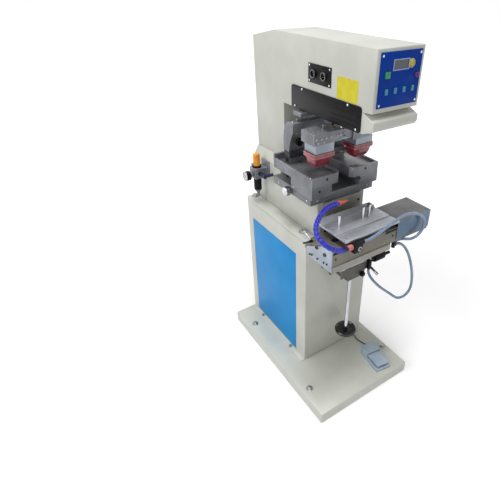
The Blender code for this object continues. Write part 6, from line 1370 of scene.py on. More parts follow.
@dataclass
class AirLines(Dresser):
    """The jointed hose, its nozzle, the two air tubes and the pedal's cable."""

    hose_radius: float = 0.0072
    rib_radius: float = 0.0092
    rib_pitch: float = 0.016
    ball_fullness: float = 0.8
    # Below this share of the full swell, a band takes the dark blue of painted crease shade.
    crease_shade_share: float = 0.3
    nozzle_length: float = 0.055
    nozzle_tip: float = 0.0035
    tube_radius: float = 0.0055
    cable_radius: float = 0.0025
    sample: float = 0.004
    hose_route: Sequence[Triple] = (
        (-0.1605, -0.3275, 0.803), (-0.18, -0.3275, 0.803), (-0.208, -0.331, 0.816),
        (-0.238, -0.328, 0.836), (-0.254, -0.312, 0.853), (-0.259, -0.29, 0.869),
        (-0.249, -0.268, 0.885), (-0.227, -0.249, 0.895), (-0.198, -0.229, 0.9),
        (-0.165, -0.212, 0.901), (-0.133, -0.201, 0.899), (-0.115, -0.197, 0.897),
        (-0.099, -0.194, 0.895))
    loop_route: Sequence[Triple] = (
        (-0.091, -0.33, 0.808), (-0.079, -0.33, 0.808), (-0.061, -0.33, 0.8095),
        (-0.043, -0.33, 0.813), (-0.01, -0.33, 0.822), (0.029, -0.33, 0.834), (0.064, -0.33, 0.845),
        (0.101, -0.33, 0.85), (0.143, -0.33, 0.844), (0.185, -0.33, 0.823), (0.213, -0.33, 0.79),
        (0.211, -0.33, 0.756), (0.188, -0.329, 0.734), (0.162, -0.325, 0.727),
        (0.147, -0.3155, 0.7255), (0.133, -0.3045, 0.725), (0.116, -0.3, 0.725),
        (0.104, -0.3, 0.725))
    drop_route: Sequence[Triple] = (
        (0.104, -0.3, 0.7085), (0.115, -0.3, 0.7085), (0.134, -0.302, 0.701),
        (0.152, -0.306, 0.684), (0.168, -0.31, 0.66), (0.1815, -0.313, 0.6325),
        (0.1925, -0.3155, 0.604), (0.202, -0.3175, 0.5745), (0.21, -0.319, 0.5445),
        (0.216, -0.32, 0.514), (0.2195, -0.32, 0.485), (0.2195, -0.319, 0.461),
        (0.215, -0.3175, 0.4435), (0.204, -0.3155, 0.429), (0.1885, -0.313, 0.421),
        (0.173, -0.31, 0.42), (0.1585, -0.307, 0.424), (0.146, -0.3035, 0.433),
        (0.1275, -0.2985, 0.451), (0.108, -0.2915, 0.4695), (0.0895, -0.282, 0.487),
        (0.073, -0.269, 0.505), (0.06, -0.2515, 0.5245), (0.053, -0.2355, 0.544),
        (0.052, -0.228, 0.5615), (0.052, -0.228, 0.5735))
    cable_route: Sequence[Triple] = (
        (0.126, -0.213, 0.068), (0.1275, -0.2032, 0.068), (0.128, -0.19, 0.062),
        (0.1265, -0.172, 0.0575), (0.122, -0.15, 0.0575), (0.1185, -0.134, 0.061),
        (0.117, -0.12, 0.068), (0.117, -0.1093, 0.068))

    def dress(self) -> None:
        """Make the four cords and the nozzle."""
        nozzle = self._nozzle()
        self._hose(nozzle)
        self._tube("air_tube_loop", self.loop_route)
        self._tube("air_tube_drop", self.drop_route)
        cable = smooth_route(self.cable_route, self.sample)
        piece = Form("pedal_cable_dressed").swept(
            cable, [self.cable_radius] * len(cable), Finish.RUBBER, 14).done()
        self.settle(piece, "frame", Finish.RUBBER, "pedal_cable")

    def _hose(self, nozzle: bpy.types.Object) -> None:
        """The hose of ball joints, each with a rounded collar.

        Args:
            nozzle: The piece on its end.
        """
        points = smooth_route(self.hose_route, self.rib_pitch / 10)
        straight = self.rib_pitch / 2
        total = line_length(points)
        radii, gone, bands = [], 0.0, []
        for i, point in enumerate(points):
            gone += (point - points[max(i - 1, 0)]).length
            swell = abs(math.sin(math.pi * gone / self.rib_pitch)) ** self.ball_fullness
            if gone < straight or total - gone < straight:
                swell = 0.0
            radii.append(self.hose_radius + (self.rib_radius - self.hose_radius) * swell)
            # Near the narrow waist between balls the band takes a dark blue painted as shade in the
            # crease.
            in_crease_shade = swell < self.crease_shade_share
            bands.append(Finish.HOSE_CREASE_SHADE if in_crease_shade else Finish.HOSE_BLUE)
        piece = Form("coolant_hose_dressed").swept(points, radii, bands, 24).done(crease=60.0)
        self.settle(piece, "cross_slide", Finish.HOSE_BLUE, "coolant_hose")

    def _nozzle(self) -> bpy.types.Object:
        """The orange nozzle: a collar, a taper and a round tip with its bore.

        Returns:
            The piece.
        """
        end, before = Vector(self.hose_route[-1]), Vector(self.hose_route[-2])
        ahead = (end - before).normalized()
        radius, tip, length = self.rib_radius, self.nozzle_tip, self.nozzle_length
        profile = [(0.0, 0.0), (radius * 0.97, 0.0), (radius, 0.001), (radius, 0.0125),
                   (radius * 0.9, 0.014), (radius * 0.84, 0.015), (tip * 1.5, length * 0.72),
                   (tip, length * 0.86), (tip, length - 0.0006), (tip - 0.0006, length),
                   (tip * 0.55, length), (tip * 0.55, length - 0.004), (0.0, length - 0.004)]
        piece = Form("hose_nozzle_dressed").turned(profile, tuple(end), tuple(ahead),
                                                   Finish.ORANGE, 28).done(crease=50.0)
        return self.settle(piece, "cross_slide", Finish.ORANGE, "hose_nozzle")

    def _tube(self, node: str, route: Sequence[Triple]) -> None:
        """One clear air tube along its route.

        Args:
            node: The CAD node.
            route: Its points.
        """
        points = smooth_route(route, self.sample)
        piece = Form(node + "_dressed").swept(points, [self.tube_radius] * len(points),
                                              Finish.TUBE, 18).done(crease=60.0)
        self.settle(piece, "cross_slide", Finish.TUBE, node)


@dataclass
class Pedestal(Dresser):
    """The base plate, the sheet cabinet with its lid and door, and the controls inside."""

    case_face: float = 0.3147
    case_screws: Places = ((-0.06, 0.34), (-0.06, 0.52), (0.06, 0.34), (0.06, 0.52))
    seam: tuple[Triple, Triple] = ((-0.1632, -0.112, 0.0537), (-0.1896, -0.367, 0.0537))
    seam_radius: float = 0.0011
    # Bolts are zinc, above the sheet that they hold and outside the cabinet's walls
    copies: Sequence[Copy] = (
        Copy("base_plate", "frame", Finish.CREAM, 0.0012, (Zone(Finish.ZINC, z=above(0.0543)),)),
        Copy("cabinet_shell", "frame", Finish.CREAM, 0.001,
             (Zone(Finish.CREAM, x=(-0.1663, 0.1663), y=above(-0.0973)),
              Zone(Finish.ZINC, z=above(0.0586)))),
        Copy("cabinet_lid", "frame", Finish.CREAM, 0.0015, (Zone(Finish.ZINC, z=above(0.7113)),)),
        Copy("cabinet_controls", "frame", Finish.PEDAL, 0.0008,
             (Zone(Finish.ALUMINIUM, z=below(0.2485)), Zone(Finish.BLACK, z=below(0.325)))),
        Copy("cabinet_door", "door", Finish.BLUE_DOOR, 0.0006))

    def dress(self) -> None:
        """Dress each node, and add the weld seam on the base and the case's screws."""
        self.carry_over(*self.copies)
        start, end = self.seam
        seam = Form("base_seam").rod(start, end, self.seam_radius, Finish.CREAM, 12)
        self.settle(seam.done(), "frame", Finish.CREAM)
        spots = [Spot((x, self.case_face, z), FRONT) for x, z in self.case_screws]
        self.screws("control_case_screws", "frame", spots, Head.PAN, 0.003, 0.0016)


@dataclass
class Column(Dresser):
    """The upper casting and the C-shaped head with its side plates."""

    side: float = -0.093
    plate_face: float = -0.0963
    hole: Triple = (-0.115, 0.104, 0.897)
    card_low: Pair = (-0.247, 1.242)
    card_high: Pair = (-0.149, 1.307)
    side_screws: Places = ((0.035, 1.2335), (-0.207, 1.2335), (0.078, 1.17), (-0.25, 1.17))
    socket_screws: Places = ((-0.114, 1.271), (-0.114, 1.318), (-0.008, 1.271), (-0.008, 1.318))
    socket_places: Sequence[float] = (-0.089, -0.033)
    socket_height: float = 1.2945
    socket_face: float = -0.1032
    pin_circle: float = 0.0042
    pin_radius: float = 0.0011
    rib_span: Pair = (-0.256, -0.128)
    rib_heights: Sequence[Pair] = ((1.2065, 1.2105), (1.1885, 1.1925), (1.1735, 1.1765))
    plug_profile: Profile = ((0.0, 0.0), (0.0095, 0.0), (0.0095, 0.0008), (0.0086, 0.0012),
                             (0.0062, 0.0012), (0.0058, 0.0002), (0.0, 0.0002))
    ring_profile: Profile = ((0.01, 0.0), (0.0132, 0.0), (0.0132, 0.0007), (0.0122, 0.0012),
                             (0.0104, 0.0012))
    copies: Sequence[Copy] = (
        Copy("body_casting", "frame", Finish.CREAM, 0.002),
        Copy("head_shell", "frame", Finish.CREAM, 0.0014),
        Copy("side_plate", "frame", Finish.BLACK, 0.0006),
        Copy("socket_plate", "frame", Finish.BLACK, 0.0005))

    def dress(self) -> None:
        """Dress the casting with its tapped hole, the shell and both plates."""
        self.carry_over(*self.copies)
        x, y, z = self.hole
        self.turn("casting_plug", "frame", self.plug_profile, (x + HAIR, y, z), LEFT,
                  Finish.BLACK, 24)
        self._side_plate()
        self._sockets()
        self._card()

    def _side_plate(self) -> None:
        """Bright screws and three pressed ribs on the black side plate."""
        spots = [Spot((self.plate_face, y, z), LEFT) for y, z in self.side_screws]
        self.screws("side_plate_screws", "frame", spots, Head.PAN, 0.0042, 0.0022, Finish.CHROME)
        form = Form("side_plate_ribs")
        back, front = self.rib_span
        for low, high in self.rib_heights:
            form.box((self.plate_face - 0.0014, back, low), (self.plate_face + HAIR, front, high),
                     Finish.BLACK, 0.0006)
        self.settle(form.done(), "frame", Finish.BLACK)

    def _sockets(self) -> None:
        """The screws and the ringed sockets of the socket plate."""
        spots = [Spot((self.plate_face, y, z), LEFT) for y, z in self.socket_screws]
        self.screws("socket_plate_screws", "frame", spots, Head.PAN, 0.0034, 0.0018,
                    Finish.CHROME)
        form = Form("socket_pins")
        for middle in self.socket_places:
            for k in range(3):
                turn = math.radians(90 + 120 * k)
                y = middle + self.pin_circle * math.cos(turn)
                z = self.socket_height + self.pin_circle * math.sin(turn)
                form.rod((self.plate_face + 0.0008, y, z), (self.plate_face - 0.0048, y, z),
                         self.pin_radius, Finish.BRASS, 10, 0.0003)
        self.settle(form.done(), "frame", Finish.BRASS)
        rings = Form("socket_rings")
        for middle in self.socket_places:
            rings.turned(self.ring_profile, (self.socket_face, middle, self.socket_height), LEFT,
                         Finish.HOOD_STEEL, 28)
        self.settle(rings.done(), "frame", Finish.HOOD_STEEL)

    def _card(self) -> None:
        """The blank yellow card on the head's side."""
        form = Form("blank_card")
        form.box((self.side - 0.0006, self.card_low[0], self.card_low[1]),
                 (self.side + HAIR, self.card_high[0], self.card_high[1]), Finish.CARD, 0.0002)
        self.settle(form.done(), "frame", Finish.CARD)


@dataclass
class ControlPanel(Dresser):
    """The blue panel with its display, its buttons and its keys."""

    face: float = -0.3153
    cap_face: float = -0.3193
    cap_back: float = -0.31
    display: tuple[float, float, float, float] = (-0.03, 0.027, 1.343, 1.367)
    bezel_place: Pair = (0.04, 1.355)
    red_place: Pair = (0.066, 1.322)
    bezel_profile: Profile = ((0.0097, 0.0), (0.0126, 0.0), (0.0126, 0.0016), (0.0118, 0.0024),
                              (0.0102, 0.0024))
    screw_places: Places = ((-0.0735, 1.2505), (-0.0735, 1.3815), (0.0735, 1.2505),
                            (0.0735, 1.3815))

    def dress(self) -> None:
        """Dress the panel and everything on it."""
        self.carry_over(Copy("control_panel", "frame", Finish.PANEL_BLUE, 0.0004),
                        Copy("button_yellow", "button_yellow", Finish.YELLOW, 0.0006),
                        Copy("button_green", "button_green", Finish.GREEN, 0.001))
        for key in ("key_1", "key_2", "key_3", "key_4"):
            self.carry_over(Copy(key, key, Finish.TEAL, 0.0008))
        self._red_button()
        self._display()
        x, z = self.bezel_place
        self.turn("button_bezels", "frame", self.bezel_profile, (x, self.face + HAIR, z),
                  FRONT, Finish.BEZEL, 32)
        spots = [Spot((x, self.face, z), FRONT) for x, z in self.screw_places]
        self.screws("panel_screws", "frame", spots, Head.PAN, 0.0036, 0.0018, Finish.CHROME)

    def _red_button(self) -> None:
        """The red-ringed button: a flange behind the panel and a ring on its cap."""
        x, z = self.red_place
        depth = self.cap_back - self.cap_face
        profile = [(0.0, 0.0), (0.0085, 0.0), (0.0085, 0.002), (0.007, 0.002),
                   (0.007, depth - 0.0008), (0.0064, depth), (0.0044, depth),
                   (0.004, depth - 0.0007), (0.0, depth - 0.0007)]
        steps = [Finish.RED] * 7 + [Finish.PANEL_BLUE]
        self.turn("button_red_dressed", "button_red", profile, (x, self.cap_back, z), FRONT,
                  steps, 32, "button_red")

    def _display(self) -> None:
        """The display's dark window and its pale raised frame."""
        left, right, low, high = self.display
        glass = Form("display_window").box((left + 0.0004, self.face + 0.0002, low + 0.0004),
                                           (right - 0.0004, self.face + 0.0012, high - 0.0004),
                                           Finish.LAMP_GLASS, 0.0002)
        self.settle(glass.done(), "frame", Finish.LAMP_GLASS)
        rim, proud = 0.003, 0.0014
        bars = Form("display_frame")
        for x0, x1, z0, z1 in ((left - rim, left, low - rim, high + rim),
                               (right, right + rim, low - rim, high + rim),
                               (left - HAIR, right + HAIR, low - rim, low),
                               (left - HAIR, right + HAIR, high, high + rim)):
            bars.box((x0, self.face - proud, z0), (x1, self.face + HAIR, z1), Finish.PALE_FRAME,
                     0.0005)
        self.settle(bars.done(), "frame", Finish.PALE_FRAME)


@dataclass
class PrintUnit(Dresser):
    """The stroke guide, the carriage, the pad arms with their pads, and the blades."""

    arm_front: float = -0.115
    arm_top: float = 1.126
    knob_places: Sequence[tuple[str, float]] = (("blade_knob_left", -0.1),
                                                ("blade_knob_right", 0.1))
    knob_height: float = 1.047
    knob_front: float = 0.036
    pad_levels: Sequence[float] = (0.0, 0.24, 0.28, 0.62, 0.82, 0.94, 1.0)
    pad_widths: Sequence[float] = (1.0, 1.0, 0.88, 0.8, 0.66, 0.42, 0.18)
    pad_depths: Sequence[float] = (1.0, 1.0, 0.86, 0.72, 0.54, 0.3, 0.1)
    pad_corner: float = 0.008
    pad_steps: int = 26
    beam_screw_y: float = 0.0525
    air_fitting: Profile = ((0.0, 0.0), (0.0052, 0.0), (0.0052, 0.005), (0.004, 0.0056),
                            (0.004, 0.011), (0.003, 0.012), (0.0, 0.012))
    arm_fitting: Profile = ((0.0, 0.0), (0.0058, 0.0), (0.0058, 0.005), (0.0036, 0.006),
                            (0.0036, 0.012), (0.0, 0.012))
    blade: Zone = Zone(Finish.GROUND, z=below(0.984))
    # The guide's rods, the lift cylinder, and the lift rod with the pads' holders stand out
    copies: Sequence[Copy] = (
        Copy("stroke_guide", "frame", Finish.BLACKENED, 0.0005,
             (Zone(Finish.CHROME, y=(-0.285, 0.099)),)),
        Copy("carriage", "carriage", Finish.CAST, 0.0008,
             (Zone(Finish.ALUMINIUM, z=above(1.2925)),)),
        Copy("pad_arms", "pad_lift", Finish.CAST, 0.0008,
             (Zone(Finish.CHROME, z=above(1.128)),
              Zone(Finish.PALE_PLATE, x=below(0.0), z=below(1.082)),
              Zone(Finish.PALE_PLATE, x=above(0.0), z=below(1.0695)))),
        Copy("blade_beam", "blades", Finish.CAST, 0.001))

    def dress(self) -> None:
        """Dress the moving print unit."""
        self.carry_over(*self.copies)
        for side in ("left", "right"):
            self.carry_over(Copy("blade_holder_" + side, "blades", Finish.BLACKENED, 0.0004,
                                 (self.blade,)))
            self._pad("pad_" + side)
        for node, x in self.knob_places:
            self._blade_knob(node, x)
        self._fasteners()

    def _pad(self, node: str) -> None:
        """One silicone pad: a soft casting that narrows to its printing tip.

        Args:
            node: The CAD node.
        """
        low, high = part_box(node)
        middle = (low + high) / 2
        height = high.z - low.z
        form = Form(node + "_dressed")
        sections = []
        for share in self._even_shares(self.pad_levels, self.pad_steps):
            wide = self._between(self.pad_widths, share) * (high.x - low.x) / 2
            deep = self._between(self.pad_depths, share) * (high.y - low.y) / 2
            round_off = min(self.pad_corner, 0.9 * deep, 0.9 * wide)
            sections.append([Vector((middle.x + x, middle.y + y, high.z - share * height))
                             for x, y in rounded_box(wide, deep, round_off, 6)])
        form.lofted(sections, Finish.SILICONE)
        piece = form.done(crease=60.0)
        self.settle(piece, "pad_lift", Finish.SILICONE, node)

    @staticmethod
    def _even_shares(levels: Sequence[float], steps: int) -> list[float]:
        """The levels of the form, with even steps set between them.

        Args:
            levels: The form's levels.
            steps: The steps over the whole height.

        Returns:
            The levels with the steps between them.
        """
        shares = [levels[0]]
        for a, b in zip(levels, levels[1:]):
            count = max(1, round(steps * (b - a)))
            shares += [a + (b - a) * (k + 1) / count for k in range(count)]
        return shares

    def _between(self, values: Sequence[float], share: float) -> float:
        """A value at a level, on a smooth curve that doesn't dip below the straight line.

        Args:
            values: The value at each level.
            share: The level asked for.

        Returns:
            The value there.
        """
        levels = self.pad_levels
        k = max(i for i in range(len(levels) - 1) if levels[i] <= share + MERGE)
        before, after = max(k - 1, 0), min(k + 2, len(levels) - 1)
        span = levels[k + 1] - levels[k]
        t = (share - levels[k]) / span
        straight = values[k] + (values[k + 1] - values[k]) * t
        leave = (values[k + 1] - values[before]) / (levels[k + 1] - levels[before]) * span
        arrive = (values[after] - values[k]) / (levels[after] - levels[k]) * span
        curved = ((2 * t ** 3 - 3 * t ** 2 + 1) * values[k] + (t ** 3 - 2 * t ** 2 + t) * leave
                  + (3 * t ** 2 - 2 * t ** 3) * values[k + 1] + (t ** 3 - t ** 2) * arrive)
        return max(straight, min(curved, values[k]))

    def _blade_knob(self, node: str, x: float) -> None:
        """A knurled pressure knob on its threaded shaft.

        Args:
            node: The CAD node.
            x: Where it stands.
        """
        shaft, radius, length = 0.004, 0.015, 0.014
        front, height, grip = self.knob_front, self.knob_height, radius - 0.0007
        profile = [(0.0, 0.0), (radius - 0.0045, 0.0), (radius - 0.0015, 0.001),
                   (grip, 0.0022), (grip, length - 0.0014), (radius - 0.0022, length),
                   (0.0065, length), (0.0065, length + 0.003), (shaft, length + 0.0032),
                   (shaft, 0.0338), (0.0, 0.0338)]
        steps = [Finish.BLACK] * 6 + [Finish.ZINC] * 4
        self.turn(node + "_dressed", node, profile, (x, front, height), BACK, steps, 36, node)
        spots = ring_of_spots((x, front + length / 2, height), BACK, grip, 30)
        self.ridges(node + "_ridges", node, spots, Ridge(0.0055, 0.0005, 0.0008, 0.0007),
                    Finish.BLACK)

    def _fasteners(self) -> None:
        """The screws and the air fittings on the print unit."""
        front = [Spot((x, self.arm_front, 1.106), FRONT)
                 for x in (-0.141, -0.121, -0.101, -0.081, -0.054, -0.04)]
        front += [Spot((x, self.arm_front, 1.0935), FRONT) for x in (-0.134, -0.11)]
        top = grid((-0.14, -0.12, -0.06, -0.04), (-0.098, -0.058), self.arm_top)
        self.screws("arm_screws", "pad_lift", front + top, Head.SOCKET, 0.0036, 0.003)
        right = [Spot((x, -0.102, 1.09), FRONT) for x in (0.06, 0.084, 0.104)]
        self.screws("right_arm_screws", "pad_lift", right, Head.SOCKET, 0.0034, 0.0028)
        beam = [Spot((x, self.beam_screw_y, 1.12)) for x in (-0.124, -0.05, 0.05, 0.124)]
        self.screws("beam_screws", "blades", beam, Head.SOCKET, 0.0042, 0.0036, Finish.CHROME)
        form = Form("lift_air_fittings")
        for x, y in ((-0.036, -0.088), (-0.036, -0.044)):
            form.turned(self.air_fitting, (x, y, 1.292 - HAIR), UP,
                        [Finish.BRASS] * 3 + [Finish.BLACK] * 3, 18)
        self.settle(form.done(), "carriage", Finish.BRASS)
        studs = Form("arm_fittings")
        studs.turned(self.arm_fitting, (-0.046, -0.079, self.arm_top - HAIR), UP,
                     [Finish.BRASS] * 3 + [Finish.BLACK] * 2, 6)
        studs.rod((-0.088, -0.079, self.arm_top - HAIR), (-0.088, -0.079, self.arm_top + 0.013),
                  0.0022, Finish.CHROME, 12, 0.0005)
        self.settle(studs.done(), "pad_lift", Finish.BRASS)
        pins = Form("beam_studs")
        for x in (-0.1055, -0.033):
            pins.rod((x, self.beam_screw_y, 1.1195), (x, self.beam_screw_y, 1.1305), 0.0024,
                     Finish.CHROME, 14, 0.0006)
        self.settle(pins.done(), "blades", Finish.CHROME)


@dataclass
class InkTrays(Dresser):
    """The support plate, the two ink trays, their etched plates and their knobs."""

    tray_top: float = 0.968
    front: float = -0.116
    well: Zone = Zone(Finish.WELL_STEEL, z=(0.95, 0.964), facing=UP)
    knob_radius: float = 0.018
    knob_span: Pair = (0.155, 0.177)
    knob_axis: Pair = (0.032, 0.87)

    def dress(self) -> None:
        """Dress both sides of the tray assembly."""
        self.carry_over(Copy("tray_support", "frame", Finish.SUPPORT_STEEL, 0.0012))
        for side, sign in (("left", -1.0), ("right", 1.0)):
            self.carry_over(
                Copy("ink_tray_" + side, "frame", Finish.TRAY_STEEL, 0.0007, (self.well,)),
                Copy("cliche_plate_" + side, "frame", Finish.GROUND, 0.0002))
            self._knob("tray_knob_" + side, sign)
        self._fasteners()

    def _knob(self, node: str, sign: float) -> None:
        """A bright knurled tray knob that faces sideways.

        Args:
            node: The CAD node.
            sign: Its side: -1 left, 1 right.
        """
        (inner, outer), (y, z) = self.knob_span, self.knob_axis
        radius, length = self.knob_radius, outer - inner
        grip = radius - 0.0007
        profile = [(0.0, 0.0008), (radius - 0.006, 0.0), (radius - 0.0022, 0.0006),
                   (grip, 0.0022), (grip, length - 0.002), (radius - 0.0024, length),
                   (0.005, length), (0.005, 0.046), (0.0, 0.046)]
        self.turn(node + "_dressed", node, profile, (sign * outer, y, z),
                  RIGHT if sign < 0.0 else LEFT, Finish.CHROME, 40, node)
        spots = ring_of_spots((sign * (outer - length / 2), y, z), RIGHT, grip, 36)
        self.ridges(node + "_ridges", node, spots, Ridge(0.0085, 0.0006, 0.0008, 0.0007),
                    Finish.CHROME)

    def _fasteners(self) -> None:
        """The screws of the trays, and black discs painted as the shade inside their front holes.
        """
        spots = [Spot((sign * x, y, self.tray_top)) for sign in (-1.0, 1.0)
                 for x, y in ((0.03, -0.1), (0.03, 0.09), (0.1515, -0.1), (0.1515, 0.09))]
        self.screws("tray_rim_screws", "frame", spots, Head.PAN, 0.0026, 0.0014, Finish.CHROME)
        # Black discs painted as the shade inside the trays' front holes.
        holes = [Spot((x, self.front, z), FRONT) for x, z in
                 ((-0.0894, 0.9542), (0.0907, 0.9546), (-0.1211, 0.914), (0.0665, 0.92))]
        self.screws("tray_front_plugs", "frame", holes, Head.GRUB, 0.0046, 0.0008, Finish.BLACK)
        support = [Spot((-0.151, y, 0.8725), LEFT) for y in (-0.081, 0.11)]
        support += [Spot((x, -0.101, 0.872), FRONT) for x in (-0.12, 0.12)]
        self.screws("support_screws", "frame", support, Head.SOCKET, 0.004, 0.003,
                    Finish.CHROME)


@dataclass
class WorkTable(Dresser):
    """The table's guide, the knee, the lift screw with its wheel, and the clamps."""

    lock_place: Pair = (0.02, 0.5595)
    lock_radius: float = 0.01
    guide_face: float = -0.1073
    guide_screws: Places = ((-0.076, 0.826), (-0.076, 0.7), (-0.076, 0.58), (0.076, 0.826),
                            (0.076, 0.7), (0.076, 0.58))
    # The guide's rails, the lift screw above its wheel and the lever's grip stand out
    copies: Sequence[Copy] = (
        Copy("table_guide", "frame", Finish.PLATE_STEEL, 0.0006,
             (Zone(Finish.GROUND, y=below(-0.1085), z=above(0.61)),)),
        # The knee's darker steel is partly painted shade from the table above it.
        Copy("table_knee", "table", Finish.SHADED_KNEE_STEEL, 0.0005, cut_notched=False),
        Copy("lift_handwheel", "handwheel", Finish.LACQUER, 0.0006,
             (Zone(Finish.CHROME, z=above(0.2465), circle=(0.0, -0.179, 0.0085)),)),
        Copy("clamp_lever", "clamp_lever", Finish.CHROME, 0.0004,
             (Zone(Finish.PEDAL, y=below(-0.238)),)))

    def dress(self) -> None:
        """Dress the lift and its clamps."""
        self.carry_over(*self.copies)
        self._lock_knob()
        spots = [Spot((x, self.guide_face, z), FRONT) for x, z in self.guide_screws]
        self.screws("guide_plate_screws", "frame", spots, Head.SOCKET, 0.004, 0.0034,
                    Finish.BLACK)

    def _lock_knob(self) -> None:
        """The fluted knob that locks the cross slide."""
        (x, z), radius = self.lock_place, self.lock_radius
        profile = [(0.0, 0.0), (0.0075, 0.0), (0.0098, 0.0018), (radius, 0.003),
                   (radius, 0.0145), (0.0088, 0.016), (0.004, 0.016), (0.004, 0.032),
                   (0.0, 0.032)]
        steps = [Finish.BLACK] * 6 + [Finish.ZINC] * 2
        self.turn("lock_knob_dressed", "lock_knob", profile, (x, -0.237, z), BACK, steps, 30,
                  "lock_knob")
        spots = ring_of_spots((x, -0.2285, z), BACK, radius, 16)
        self.ridges("lock_knob_ridges", "lock_knob", spots,
                    Ridge(0.0058, 0.0008, 0.0008, 0.0009, 0.0003), Finish.BLACK)


